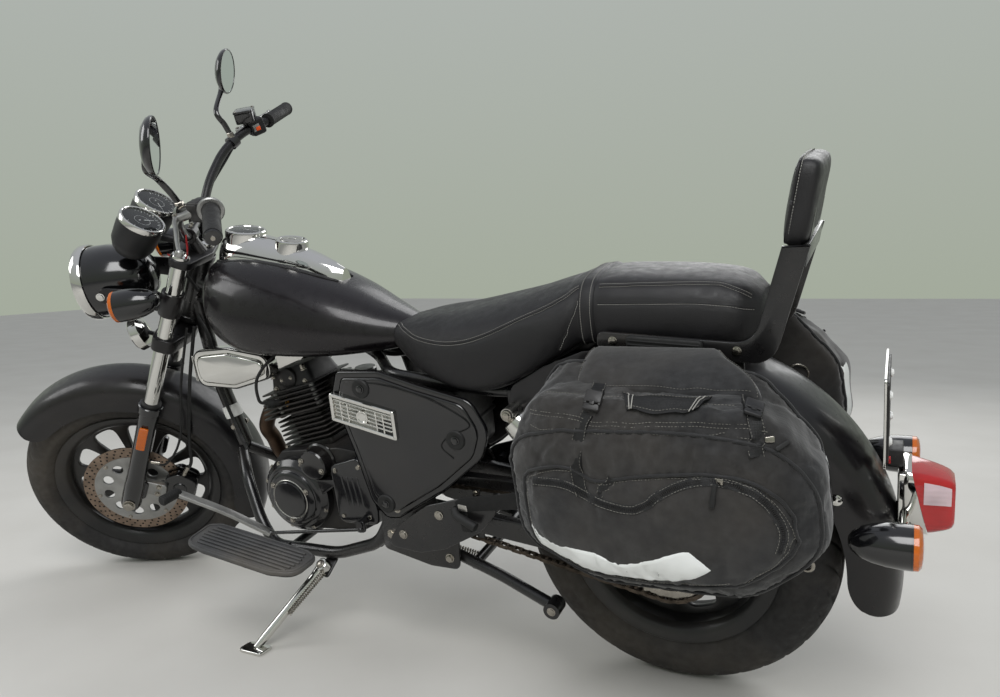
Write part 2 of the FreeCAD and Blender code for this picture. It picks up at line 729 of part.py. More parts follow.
# x, y, z of the frame's bends
BACKBONE = [(1148.0, 0.0, 846.0), (1040.0, 0.0, 800.0), (880.0, 0.0, 742.0), (640.0, 0.0, 716.0)]
DOWN_TUBE = [(1164.0, 0.0, 818.0), (1150.0, 0.0, 600.0), (1098.0, 0.0, 420.0)]
CRADLE_TUBE = [
    (1104.0, 12.0, 404.0), (1050.0, 66.0, 352.0), (1003.0, 96.0, 262.0), (950.0, CRADLE_HALF, 214.0),
    (760.0, CRADLE_HALF, 218.0), (640.0, CRADLE_HALF, 262.0), (600.0, CRADLE_HALF, 325.0),
    (594.0, CRADLE_HALF, 430.0),
]
FENDER_RAIL_Y = REAR_FENDER_HALF + RAIL_R + GAP
SEAT_RAIL = [
    (700.0, 9.0, 700.0), (640.0, 11.0, 668.0), (560.0, SEAT_RAIL_HALF, 655.0), (330.0, SEAT_RAIL_HALF, 628.0),
    (210.0, FENDER_RAIL_Y, 636.0), (50.0, FENDER_RAIL_Y, 645.0), (-70.0, FENDER_RAIL_Y, 640.0),
    (-166.0, FENDER_RAIL_Y, 602.0),
]
STRUT = [(595.0, CRADLE_HALF, 416.0), (532.0, SEAT_RAIL_HALF, 560.0), (474.0, SEAT_RAIL_HALF, 647.0)]


def spine():
    """Steering head, backbone and down tube, with the stop block on the head."""
    head_low = LOWER_YOKE_Z + LOWER_YOKE_T + HEAD_GAP
    head_top = TOP_YOKE_Z - HEAD_GAP
    head = rod((-FORK_OFFSET, 0, head_low), (-FORK_OFFSET, 0, head_top), HEAD_R, 16)
    stem_room = bore((-FORK_OFFSET, 0, head_low - 1), (-FORK_OFFSET, 0, head_top + 1), STEM_R, STEM_FIT, 16)
    stop = box(HEAD_R - 3 - FORK_OFFSET, 46 - FORK_OFFSET, -STOP_HALF, STOP_HALF, head_low, head_low + 26)
    head = in_fork(fused(head, stop))
    backbone = tube(BACKBONE, BACKBONE_R)
    cushions = [tank_cushion(x) for x in (660, 990)]
    return fused(head, backbone, tube(DOWN_TUBE, DOWN_R), *cushions).cut(in_fork(stem_room))


def tank_cushion(x):
    """Block round the backbone that fills the width of the tank's tunnel."""
    half = BACKBONE_R + TUNNEL_GAP - GAP
    z = height_on_backbone(x)
    return box(x - 15, x + 15, -half, half, z - 12, z + 10)


def height_on_backbone(x):
    """Height of the backbone's axis at a distance ahead of the rear axle."""
    spans = zip(BACKBONE, BACKBONE[1:])
    ahead, behind = next((a, b) for a, b in spans if x >= b[0])
    share = (x - behind[0]) / (ahead[0] - behind[0])
    return behind[2] + (ahead[2] - behind[2]) * share


def cradle():
    """Twin cradle tubes under the engine with cross tubes, and the pivot plates."""
    y = CRADLE_HALF
    left = tube(CRADLE_TUBE, FRAME_R)
    bottom_cross = rod((900, -y, 213), (900, y, 213), FRAME_R - 3)
    rear_cross = rod((640, -y, 262), (640, y, 262), FRAME_R - 3)
    plate = side_plate([
        (615, 262, 14), (605, 440, 16), (540, 470, 16), (470, 400, 20), (424, 300, 20), (430, 236, 16),
        (500, 236, 16),
    ], PLATE_Y, PLATE_Y + PLATE_T)
    return fused(left, mirrored(left), bottom_cross, rear_cross, plate, mirrored(plate))


def frame_main():
    return fused(spine(), cradle(), subframe(), stand_bracket())


def subframe():
    """Seat rails with their struts down to the pivot plates, and the cross bars under the seat."""
    y = SEAT_RAIL_HALF
    rail = tube(SEAT_RAIL, RAIL_R)
    strut = tube(STRUT, RAIL_R)
    ear = box(250, 282, y, SHOCK_Y - 31 - GAP, 588, 640)
    cross = rod((300, -y, 632), (300, y, 632), FRAME_R - 4)
    out = RAIL_Y - GAP
    tabs = [box(x - 12, x + 12, out - 6, out, z, z + 106) for x, z in ((60, 640), (-148, 606))]
    left = fused(rail, strut, ear, *tabs)
    return fused(left, mirrored(left), cross)


def swingarm():
    """Two box arms, the pivot tube, a cross tube ahead of the tyre and the rear axle."""
    h = ARM_H / 2
    arm = side_plate([
        (-34, REAR_TYRE_R + 16, 10), (-34, REAR_TYRE_R - 16, 10), (60, REAR_TYRE_R - h, 0),
        (PIVOT_X + 10, PIVOT_Z - h, 16), (PIVOT_X + 10, PIVOT_Z + h, 16), (60, REAR_TYRE_R + h, 0),
    ], ARM_Y, ARM_Y + ARM_W)
    pivot = rod((PIVOT_X, -PLATE_Y + GAP, PIVOT_Z), (PIVOT_X, PLATE_Y - GAP, PIVOT_Z), 12)
    cross = rod((400, -ARM_Y, 328), (400, ARM_Y, 328), 18)
    axle = rod((0, -ARM_Y - ARM_W - 16, REAR_TYRE_R), (0, ARM_Y + ARM_W + 16, REAR_TYRE_R), AXLE_R)
    left_spacer = rod((0, CHAIN_Y + SPROCKET_T / 2 + 2, REAR_TYRE_R), (0, ARM_Y, REAR_TYRE_R), AXLE_R + 4)
    right_spacer = rod((0, -REAR_HUB_HALF - 2, REAR_TYRE_R), (0, -ARM_Y, REAR_TYRE_R), AXLE_R + 4)
    lug = box(24, 56, ARM_Y + ARM_W - 4, SHOCK_Y + 4, REAR_TYRE_R + 12, SHOCK_FOOT.z - 12.3)
    bars = [pivot, cross, axle, left_spacer, right_spacer]
    return fused(arm, mirrored(arm), lug, mirrored(lug), chain_guard(), *bars)


SHOCK_TOP = V(264, SHOCK_Y, 606)
SHOCK_FOOT = V(40, SHOCK_Y, 352)


def shock_axis():
    return (SHOCK_TOP - SHOCK_FOOT).normalize()


def shocks():
    """Damper bodies with eyes at both ends and a chrome cover at the top."""
    axis = shock_axis()
    length = (SHOCK_TOP - SHOCK_FOOT).Length
    foot, top = SHOCK_FOOT, SHOCK_TOP
    eye_low = rod(foot - V(0, 13, 0), foot + V(0, 13, 0), 13)
    eye_top = rod(top - V(0, 31, 0), top + V(0, 13, 0), 13)
    body = lathe([
        (0, 8), (14, 8), (14, length - 96), (7, length - 96), (7, length - 70), (29, length - 70),
        (29, length - 14), (0, length - 8),
    ], foot, axis, flats=12)
    seat = lathe([(13, 28), (30, 28), (30, 34), (13, 34)], foot, axis, flats=12)
    return both(fused(body, seat, eye_low, eye_top))


def shock_springs():
    """Coil springs drawn as ribbed sleeves between the seats."""
    length = (SHOCK_TOP - SHOCK_FOOT).Length
    low, high = 34 + GAP, length - 70 - GAP
    turns = 7
    step = (high - low) / turns
    outer = [(27, low)]
    for k in range(turns):
        outer += [(27, low + step * (k + 0.45)), (21, low + step * (k + 0.5)), (21, low + step * (k + 0.9))]
        outer += [(27, low + step * (k + 0.95))] if k < turns - 1 else []
    outer += [(21, high)]
    profile = outer + [(15, high), (15, low)]
    return both(lathe(profile, SHOCK_FOOT, shock_axis(), flats=12))


def rear_fender():
    """Long skirted fender round the rear wheel, from under the seat to behind the tyre."""
    r, h, t = REAR_FENDER_R, REAR_FENDER_HALF, FENDER_T
    outer = [(318, h), (r - 44, h), (r - 16, h - 24), (r, h - 62)]
    inner = [(318, h - t), (r - 45, h - t), (r - 19, h - 27), (r - t, h - 63)]
    profile = channel(outer, inner)
    return lathe(profile, REAR_AXLE, start=68, sweep=121, flats=16)


# The tank's side view and plan: x, underside z, top z, half width
TANK_SECTIONS = [
    (528.0, 700.0, 752.0, 44.0),
    (600.0, 692.0, 786.0, 84.0),
    (700.0, 686.0, 836.0, 124.0),
    (820.0, 686.0, 882.0, 146.0),
    (930.0, 694.0, 906.0, 148.0),
    (1012.0, 726.0, 906.0, 126.0),
    (1052.0, 764.0, 888.0, 88.0),
]


def tank_section(x, low, top, half):
    """A rounded arch: flat underside, tumblehome sides and a domed top."""
    h = top - low
    shares = [(0.66, 0.0), (0.9, 0.1), (1.0, 0.3), (0.97, 0.52), (0.84, 0.75), (0.56, 0.92), (0.24, 0.99)]
    left = [(x, half * a, low + h * b, 0) for a, b in shares]
    return left + [(x, -y, z, 0) for x, y, z, r in reversed(left)]


def fuel_tank():
    """Teardrop tank with a tunnel underneath for the backbone."""
    body = loft([tank_section(*s) for s in TANK_SECTIONS])
    side = BACKBONE_R + TUNNEL_GAP
    roof = [(x, z + side, 0) for x, y, z in BACKBONE]
    front, rear = BACKBONE[0][0], TANK_SECTIONS[0][0] - 20
    ends = [(rear, roof[-1][1], 0), (rear, 640, 0), (front, 640, 0)]
    return body.cut(side_plate(roof + ends, -side, side))


def tank_room(gap):
    """The tank's outside grown by a gap."""
    return loft([tank_section(x, low - gap, top + gap, half + gap) for x, low, top, half in TANK_SECTIONS])


def tank_console():
    """Chrome dash along the tank's top with a gauge in front and the filler cap behind."""
    strip = loft([
        console_section(712, 30, 850, 866), console_section(800, 46, 884, 896),
        console_section(960, 58, 906, 946), console_section(1010, 50, 908, 948),
    ])
    gauge = lathe([(0, 0), (40, 0), (46, -6), (46, -40), (0, -40)], (968, 0, 958), (-0.2, 0, 1))
    cap = lathe([(0, 0), (28, 0), (34, -6), (34, -40), (0, -40)], (838, 0, 928), (-0.22, 0, 1))
    return fused(strip, gauge, cap).cut(tank_room(GAP))


def console_section(x, half, low, top):
    middle = (low + top) / 2 + 8
    corners = [(half, low - 30), (half, low + 4), (half * 0.86, middle), (half * 0.6, top)]
    left = [(x, y, z, 0) for y, z in corners]
    return left + [(x, -y, z, 0) for x, y, z, r in reversed(left)]


# The seat from front to rear: x, underside z, top z, half width
SEAT_SECTIONS = [
    (556.0, 706.0, 756.0, 70.0),
    (480.0, 664.0, 772.0, 112.0),
    (400.0, 640.0, 782.0, 140.0),
    (320.0, 640.0, 796.0, 150.0),
    (240.0, 668.0, 812.0, 142.0),
    (160.0, 712.0, 836.0, 124.0),
    (110.0, 730.0, 852.0, 114.0),
    (-40.0, 730.0, 850.0, 108.0),
    (-140.0, 728.0, 838.0, 96.0),
    (-182.0, 738.0, 806.0, 66.0),
]


def seat_section(x, low, top, half):
    h = top - low
    shares = [(0.84, 0.0), (0.96, 0.14), (1.0, 0.4), (0.94, 0.66), (0.74, 0.88), (0.34, 0.985)]
    left = [(x, half * a, low + h * b, 0) for a, b in shares]
    return left + [(x, -y, z, 0) for x, y, z, r in reversed(left)]


def seat():
    body = loft([seat_section(*s) for s in SEAT_SECTIONS])
    return body.cut(tank_room(1.0)).cut(rail_room())


def rail_room():
    """The grooves under the seat that sit on the seat rails, and room for the backbone's end."""
    room_r = hole_radius(RAIL_R, GAP, 8)
    rail = tube(SEAT_RAIL[1:5], room_r)
    strut = tube(STRUT[1:], room_r)
    backbone = rod(BACKBONE[-2], (BACKBONE[-1][0] - 2, 0, BACKBONE[-1][2]), BACKBONE_R + 2)
    return group(rail, mirrored(rail), strut, mirrored(strut), backbone)


def backrest_bars():
    """Flat bars along the fender that sweep up behind the seat to carry the pad."""
    t = RAIL_T
    bar = side_plate([
        (90, 728, 14), (90, 760, 14), (-176, 742, 40), (-222, 900, 0), (-264, 900, 0), (-206, 706, 44),
    ], RAIL_Y, RAIL_Y + t)
    pad = side_plate([(34, 728, 6), (34, 756, 6), (-96, 748, 6), (-96, 720, 6)], RAIL_Y + t, RAIL_Y + t + 14)
    behind = PAD_OUT * (PAD_BACK - GAP)
    corners = [PAD_BASE + PAD_RISE * rise + behind for rise in (-24, 70)]
    corners += [corner - PAD_OUT * 5 for corner in reversed(corners)]
    plate = side_plate([(corner.x, corner.z, 0) for corner in corners], -RAIL_Y - 1, RAIL_Y + 1)
    left = fused(bar, pad)
    return fused(left, mirrored(left), plate)


PAD_BASE = V(-236, 0, 892)
PAD_RISE = (V(-262, 0, 1030) - PAD_BASE).normalize()
PAD_OUT = V(PAD_RISE.z, 0, -PAD_RISE.x)
PAD_FRONT = 22.0
PAD_BACK = -20.0


def backrest_pad():
    """Stitched pad ahead of the plate between the bars, leaning back."""
    return loft([
        pad_section(PAD_BASE + PAD_RISE * s, PAD_OUT, PAD_FRONT * share, PAD_BACK * share, half)
        for s, share, half in ((0, 0.55, 92), (16, 1.0, 108), (118, 1.0, 104), (138, 0.55, 84))
    ])


def pad_section(centre, out, front, back, half):
    a, b = centre + out * front, centre + out * back
    r = 8
    return [(a.x, half, a.z, r), (b.x, half, b.z, r), (b.x, -half, b.z, r), (a.x, -half, a.z, r)]


# The bag's outline as x, z, corner radius at its back, its middle and its outer face
BAG_BACK = [
    (140, 728, 50), (196, 600, 80), (186, 440, 80), (60, 378, 90),
    (-190, 384, 90), (-296, 480, 90), (-284, 610, 80), (-196, 716, 50),
]
BAG_MIDDLE = [
    (150, 700, 50), (200, 600, 80), (190, 440, 80), (60, 374, 90),
    (-196, 380, 90), (-304, 480, 90), (-292, 600, 80), (-200, 690, 50),
]
BAG_FACE = [
    (110, 640, 40), (150, 570, 60), (144, 460, 60), (40, 410, 60),
    (-176, 414, 60), (-258, 490, 60), (-246, 580, 60), (-170, 640, 40),
]


def saddlebags(side):
    """One fabric bag: flat back, bulging front, and a flap that hooks over the rail."""
    middle = [(y, BAG_MIDDLE) for y in (BAG_IN + 60, BAG_OUT - 40)]
    sections = [(BAG_IN, BAG_BACK)] + middle + [(BAG_OUT, BAG_FACE)]
    bag = loft([[(x, y, z, r) for x, z, r in shape] for y, shape in sections])
    flap = side_plate([
        (84, 712, 0), (96, 738, 0), (-110, 738, 0), (-120, 700, 0),
    ], RAIL_Y + RAIL_T + 14 + GAP, BAG_IN + 2)
    bag = fused(bag, flap)
    return bag if side > 0 else mirrored(bag)


def saddlebag_left():
    return saddlebags(1)


def saddlebag_right():
    return saddlebags(-1)


COVER_OUT = 148.0


def side_covers():
    """Triangular side panels with a step along the edge."""
    corners = [
        (664, 672, 12), (684, 620, 10), (650, 500, 30), (622, 380, 20), (590, 342, 16), (556, 346, 16),
        (436, 420, 40), (340, 500, 40), (318, 560, 40), (352, 622, 30), (470, 650, 30), (560, 676, 20),
    ]
    panel = side_plate(corners, PLATE_Y + PLATE_T + GAP, COVER_OUT - 6)
    middle = [(x + (520 - x) * 0.1, z + (540 - z) * 0.1, r * 0.8) for x, z, r in corners]
    raised = side_plate(middle, COVER_OUT - 7, COVER_OUT)
    return both(fused(panel, raised))


def vent_grilles():
    """Bright slatted vent set on each side panel."""
    y0 = COVER_OUT + GAP
    frame = side_plate([(680, 628, 5), (524, 594, 5), (524, 530, 5), (682, 566, 5)], y0, y0 + 9)
    window = side_plate([(670, 616, 0), (534, 587, 0), (534, 542, 0), (672, 577, 0)], y0 + 4, y0 + 12)
    grille = frame.cut(window)
    slats = []
    for k in range(4):
        z = 10 + 9.0 * k
        slats.append(side_plate([
            (672, 569 + z, 0), (672, 573 + z, 0), (533, 540 + z, 0), (533, 536 + z, 0),
        ], y0 + 3, y0 + 8))
    return both(fused(grille, *slats))


def airbox():
    """Air box between the side panels; it carries them and the battery."""
    block = box(420, AIRBOX_FRONT, -CASE_HALF + 4, CASE_HALF - 4, 452, 624)
    boss = box(440, 500, CASE_HALF - 6, PLATE_Y + PLATE_T, 520, 560)
    chain_room = box(400, 600, CASE_HALF - 30, CASE_HALF + 10, 380, 450)
    return fused(block, boss, mirrored(boss)).cut(chain_room)


def tilted(solid):
    """From the cylinder's own frame, Z up its bore, onto the crankcase."""
    solid = solid.copy()
    solid.Placement = BORE_LINE * solid.Placement
    return solid


def fin(z, front, rear, half):
    c = 16
    return flat_plate([
        (front, half - c, 0), (front, c - half, 0), (front - c, -half, 0), (-rear + c, -half, 0),
        (-rear, c - half, 0), (-rear, half - c, 0), (c - rear, half, 0), (front - c, half, 0),
    ], z, z + FIN_T)


def barrel():
    """Finned barrel on the crankcase."""
    core = box(-50, 50, -48, 48, 0, 90)
    base = box(-62, 62, -60, 60, 0, 14)
    fins = [fin(22 + FIN_PITCH * k, 74, 74, 72) for k in range(6)]
    return tilted(fused(core, base, *fins))


# The ends of the exhaust port and the intake stub in the cylinder's own frame
PORT_END = V(104.0, 0.0, 112.0)
PORT_LINE = V(54.0, 0.0, -6.0).normalize()
INTAKE_END = V(-112.0, 0.0, 128.0)
INTAKE_LINE = V(-62.0, 0.0, 4.0).normalize()


def head():
    """Finned head, wider than the barrel, with the rocker cover on top and the exhaust flange in front."""
    core = box(-66, 62, -56, 56, 90 + GAP, 150)
    fins = [fin(93 + FIN_PITCH * k, 98, 98, 86) for k in range(6)]
    cover = loft([
        [(62, 56, 149, 14), (62, -56, 149, 14), (-66, -56, 149, 14), (-66, 56, 149, 14)],
        [(54, 48, 196, 14), (54, -48, 196, 14), (-58, -48, 196, 14), (-58, 48, 196, 14)],
    ])
    port = rod(PORT_END - PORT_LINE * 54, PORT_END, 26)
    intake = rod((-50, 0, 124), INTAKE_END, 24)
    return tilted(fused(core, cover, port, intake, *fins))


def cylinder():
    return group(barrel(), head())


def crankcase():
    """Crankcase and gearbox as one block, with the feet that bolt to the cradle."""
    block = side_plate([
        (950, 300, 40), (948, 400, 40), (905, 448, 16), (742, 470, 0), (640, 462, 20), (590, 430, 20),
        (590, 330, 20), (700, 268, 30), (890, 250, 40),
    ], -CASE_HALF, CASE_HALF)
    deck = tilted(box(-90, 90, -100, 100, -GAP, 60))
    room = fused(
        rod((OUTPUT_X, CHAIN_Y - 14, OUTPUT_Z), (OUTPUT_X, CASE_HALF + 1, OUTPUT_Z), 56),
        box(OUTPUT_X - 60, OUTPUT_X, CHAIN_Y - 14, CASE_HALF + 1, OUTPUT_Z - 51, OUTPUT_Z + 51),
    )
    shaft = rod((OUTPUT_X, CHAIN_Y - 15, OUTPUT_Z), (OUTPUT_X, CHAIN_Y + 8, OUTPUT_Z), 7.9)
    foot = box(880, 920, -30, 30, 213 + FRAME_R - 3, 262)
    return fused(block.cut(deck).cut(room), foot, shaft, front_sprocket())


def engine_covers():
    """Generator, cap and sprocket covers on the left, and the clutch cover on the right."""
    y = CASE_HALF + GAP
    stator = lathe([
        (0, 0), (STATOR_R, 0), (STATOR_R, 22), (STATOR_R - 12, 32), (66, 34), (66, 40), (58, 44), (0, 44),
    ], (STATOR_X, y, STATOR_Z), flats=24)
    lug = side_plate([(800, 396, 10), (712, 402, 6), (790, 352, 10)], y, y + 26)
    lug_room = side_plate([(806, 400, 10), (706, 406, 6), (794, 346, 10)], y - 1, y + 60)
    cap = lathe([(0, 0), (42, 0), (40, 28), (34, 34), (0, 36)], (790, y, 436))
    front = fused(stator, lug, cap)
    inner = CHAIN_Y + CHAIN_W / 2 + 5
    sprocket_cover = side_plate([
        (742, 440, 14), (664, 466, 12), (646, 440, 16), (628, 340, 20), (632, 306, 14), (740, 300, 20),
    ], inner, SPROCKET_COVER_Y)
    post = rod((700, y, 400), (700, inner + 1, 400), 8)
    stator_room = rod((STATOR_X, inner - 1, STATOR_Z), (STATOR_X, 140, STATOR_Z), STATOR_R + 1, 24)
    cap_room = rod((790, inner - 1, 436), (790, 140, 436), 43, 16)
    sprocket_cover = fused(sprocket_cover, post).cut(stator_room).cut(cap_room).cut(lug_room)
    clutch = lathe([(0, 0), (102, 0), (102, -22), (88, -34), (0, -38)], (812, -y, 362))
    clutch_tail = side_plate([(760, 430, 20), (668, 430, 20), (664, 310, 20), (740, 290, 20)], -y - 20, -y)
    return group(front, sprocket_cover, fused(clutch, clutch_tail))


def carburettor():
    """Carburettor behind the head with its float bowl, and the duct to the air box."""
    start = BORE_LINE.multVec(INTAKE_END + INTAKE_LINE * GAP)
    straight = BORE_LINE.multVec(INTAKE_END + INTAKE_LINE * 26)
    body = tube([start, straight, (640, 0, 600)], 24)
    bowl = rod((692, 0, 560), (692, 0, 606), 21)
    duct = rod((650, 0, 600), (AIRBOX_FRONT + GAP, 0, 588), 30)
    return fused(body, bowl, duct)


def intake():
    return group(airbox(), carburettor())


def exhaust():
    """Header from the front of the head, round the cradle and along the right side to the silencer."""
    start = BORE_LINE.multVec(PORT_END + PORT_LINE * GAP)
    straight = BORE_LINE.multVec(PORT_END + PORT_LINE * 32)
    header = tube([
        start, straight, (1020, -6, 478), (1022, -40, 380), (985, -112, 300), (900, -156, 266),
        (760, -196, 250), (660, -218, 246),
    ], 19)
    muffler = lathe([
        (0, 0), (24, 0), (43, 60), (43, 640), (30, 680), (0, 680),
    ], (670, -218, 246), (-1, 0, 0.045))
    hanger = box(530, 556, -182, -PILLION_Y - PILLION_T - GAP, 250, 312)
    return fused(header, muffler, hanger)


def chrome_pods():
    """Oval chrome covers either side of the down tube, joined by a bracket behind it."""
    pod = side_plate([
        (1120, 600, 30), (1124, 690, 30), (1010, 700, 0), (892, 684, 20), (888, 630, 20), (1000, 598, 0),
    ], POD_IN, POD_IN + 34)
    dome = side_plate([
        (1104, 614, 22), (1108, 678, 22), (1010, 688, 0), (906, 672, 12), (904, 638, 12), (1000, 610, 0),
    ], POD_IN + 33, POD_IN + 46)
    top, bend = DOWN_TUBE[0], DOWN_TUBE[1]
    low = 640
    tube_x = bend[0] + (top[0] - bend[0]) * (low - bend[2]) / (top[2] - bend[2])
    bracket = box(1096, tube_x, -POD_IN - 1, POD_IN + 1, low, low + 20).cut(tube(DOWN_TUBE, DOWN_R + GAP))
    return fused(pod, mirrored(pod), dome, mirrored(dome), bracket)


def fender_room():
    """What stands on the rear fender's back is cut to its curve."""
    side = V(0, 150, 0)
    return rod(REAR_AXLE - side, REAR_AXLE + side, REAR_FENDER_R + GAP, 96)


def tail_lamp():
    """Chrome base behind the fender that carries the lens and both indicators."""
    base = loft([
        [(-398, 40, 500, 10), (-398, -40, 500, 10), (-398, -46, 400, 10), (-398, 46, 400, 10)],
        [(-424, 46, 500, 12), (-424, -46, 500, 12), (-424, -50, 388, 12), (-424, 50, 388, 12)],
    ])
    arm = rod((-402, 40, 425), (-398, REAR_BLINKER[1] - BLINKER_R + 10, 432), 8)
    blinkers = both(lathe(BLINKER_ROOM, REAR_BLINKER, (-1, 0, 0)))
    shell = fender_room()
    plug = box(-410, -380, -44, 44, 404, 496)
    return fused(fused(base, plug).cut(shell), arm, mirrored(arm)).cut(blinkers)


def tail_lens():
    """Lens that narrows towards the rear, on the chrome base."""
    front = -424 - GAP
    return loft([
        [(front, 46, 498, 14), (front, -46, 498, 14), (front, -50, 390, 14), (front, 50, 390, 14)],
        [(-476, 30, 478, 14), (-476, -30, 478, 14), (-476, -36, 398, 14), (-476, 36, 398, 14)],
    ])


def rear_indicators():
    return both(lathe(BLINKER_BODY, REAR_BLINKER, (-1, 0, 0)))


def rear_indicator_lenses():
    return both(lathe(BLINKER_LENS, REAR_BLINKER, (-1, 0, 0)))


def plate_bracket():
    """Upright plate holder above the tail lamp, with two fixing holes."""
    sheet = box(-372, -368, -90, 90, 520, 676)
    places = [V(-390, y, 640) for y in (-PLATE_HOLE_Y, PLATE_HOLE_Y)]
    holes = [Part.makeCylinder(PLATE_HOLE_R, 40, place, AHEAD) for place in places]
    stem = box(-398, -368, -24, 24, 500 + GAP, 530)
    return fused(sheet, stem).cut(fender_room()).cut(Part.makeCompound(holes))


def footboards():
    """Ribbed rubber-topped boards, tipped up in front, on a bracket from the cradle."""
    front, rear = 960, 960 - BOARD_LEN
    board = flat_plate([
        (front, BOARD_IN, 40), (front, BOARD_OUT, 48), (rear, BOARD_OUT, 48), (rear, BOARD_IN, 40),
    ], 0, 10)
    rows = [BOARD_IN + 14 + 11 * k for k in range(7)]
    ribs = [box(rear + 34, front - 34, y, y + 6, 9, 14) for y in rows]
    board = fused(board, *ribs)
    board = turned(board, ((front + rear) / 2, 0, 0), LEFT, -8)
    board.translate(V(50, 0, 300))
    arm = tube([
        (900, CRADLE_HALF + 6, 214), (900, 158, 214), (884, 204, 232), (872, 262, 294), (872, 262, 306),
    ], 10)
    return both(fused(arm, board).cut(tube(CRADLE_TUBE, FRAME_R + GAP)))


def foot_rests():
    return group(footboards(), pillion_plates())


def pillion_plates():
    """Plates for the passenger's pegs, stood off from the pivot plates."""
    y = PILLION_Y
    plate = side_plate([
        (586, 290, 14), (546, 344, 30), (470, 396, 40), (392, 420, 20), (296, 414, 14), (352, 350, 60),
        (440, 300, 20), (500, 284, 20),
    ], y, y + PILLION_T)
    posts = [rod((x, PLATE_Y + PLATE_T, z), (x, y + 1, z), 9) for x, z in ((536, 322), (446, 372))]
    return both(fused(plate, *posts))


def gear_lever():
    """Toe lever ahead of the board with its linkage back to the gearbox."""
    shaft = rod((664, SPROCKET_COVER_Y + GAP, 318), (664, 150, 318), 9)
    link = rod((664, 146, 306), (930, 146, 262), 4)
    crank = side_plate([(676, 326, 8), (676, 298, 8), (652, 298, 8), (652, 326, 8)], 140, 146)
    toe = tube([(930, 146, 262), (1010, 190, 330), (1100, 240, 392)], 7)
    peg = rod((1100, 232, 392), (1100, 286, 392), 11)
    return fused(shaft, crank, link, toe, peg)


def foot_controls():
    return group(gear_lever(), brake_pedal())


def brake_pedal():
    """Brake pedal ahead of the right board on its pivot tube."""
    pivot = rod((930, -CRADLE_HALF - 6, 216), (930, -150, 216), 10)
    pivot = pivot.cut(mirrored(tube(CRADLE_TUBE, FRAME_R + GAP)))
    arm = tube([(930, -144, 216), (1010, -196, 320), (1100, -250, 392)], 8)
    pad = box(1078, 1126, -286, -236, 388, 400)
    return fused(pivot, arm, pad)


def row_place():
    """Steering on its stop, nose settled so that both tyres stand on the floor, and the machine leaned."""
    steer = FreeCAD.Placement(V(0, 0, 0), FreeCAD.Rotation(STEER_AXIS, STEER), STEER_FOOT)
    lean = FreeCAD.Placement(V(0, 0, 0), FreeCAD.Rotation(AHEAD, -LEAN))
    nose = 0.0
    for _ in range(8):
        stood = lean * FreeCAD.Placement(V(0, 0, 0), FreeCAD.Rotation(LEFT, nose))
        rear = lowest(REAR_PROFILE, stood, REAR_AXLE)
        front = lowest(FRONT_PROFILE, stood * steer, FRONT_AXLE)
        nose += math.degrees(math.atan((front - rear) / WHEELBASE))
    stood.Base = V(-ORIGIN_X, -ORIGIN_Y, -rear)
    return stood, steer


def lowest(profile, place, centre):
    """Height of a tyre's lowest point: the deepest of its profile's circles."""
    hub = place.multVec(centre)
    axle = place.Rotation.multVec(LEFT)
    return min(hub.z + y * axle.z - r * math.sqrt(1 - axle.z ** 2) for r, y in profile)


STOOD, STEERED = row_place()


def from_floor(x, y, z):
    """A point given on the floor beside the leaning machine, in the upright machine's frame."""
    return STOOD.inverse().multVec(V(x - ORIGIN_X, y - ORIGIN_Y, z))


SIDE_FOOT = from_floor(SIDE_FOOT_X, SIDE_FOOT_Y, 10.0)
SIDE_FOLDED = V(-0.94, 0.33, -0.06).normalize()


SIDE_LEG = (SIDE_FOOT - SIDE_PIVOT).normalize()
SIDE_AXIS = SIDE_LEG.cross(SIDE_FOLDED).normalize()


def side_stand():
    """Chrome prop with a flat foot on the floor, and an eye round its pivot pin."""
    leg = tube([SIDE_PIVOT + SIDE_LEG * (SIDE_PIN_R + 2), SIDE_FOOT], 10)
    eye = rod(SIDE_PIVOT - SIDE_AXIS * SIDE_EYE_HALF, SIDE_PIVOT + SIDE_AXIS * SIDE_EYE_HALF, 16)
    foot = Part.makeBox(64, 44, 8, V(SIDE_FOOT_X - 30 - ORIGIN_X, SIDE_FOOT_Y - 20 - ORIGIN_Y, 0))
    foot.Placement = STOOD.inverse() * foot.Placement
    room = bore(SIDE_PIVOT - SIDE_AXIS * 30, SIDE_PIVOT + SIDE_AXIS * 30, SIDE_PIN_R)
    return fused(leg, foot, eye).cut(room)


def stand_bracket():
    """Plate and pin under the left cradle tube for the side stand."""
    face = SIDE_PIVOT - SIDE_AXIS * (SIDE_EYE_HALF + GAP)
    across = SIDE_AXIS.cross(V(SIDE_PIVOT.x, CRADLE_HALF, 217) - SIDE_PIVOT).normalize()
    rise = across.cross(SIDE_AXIS)
    corners = [(face + rise * a + across * b, 8) for a, b in ((34, 15), (-15, 15), (-15, -15), (34, -15))]
    plate = flat_face(rounded(corners)).extrude(SIDE_AXIS * -6)
    pin = rod(face - SIDE_AXIS, SIDE_PIVOT + SIDE_AXIS * (SIDE_EYE_HALF + 4), SIDE_PIN_R)
    return fused(plate, pin)


def centre_stand():
    """Folded centre stand: two legs with round feet, joined by a cross tube."""
    x, z = CENTRE_PIVOT_X, CENTRE_PIVOT_Z
    leg = tube([(x, 106, z), (x - 120, 116, z - 34), (x - 252, 152, z - 62)], 12)
    foot = rod((x - 252, 134, z - 62), (x - 252, 170, z - 62), 17)
    hub = rod((x, 98, z), (x, PLATE_Y - GAP, z), 15)
    cross = rod((x - 60, -118, z - 17), (x - 60, 118, z - 17), 11)
    return fused(leg, foot, hub, cross, mirrored(leg), mirrored(foot), mirrored(hub))


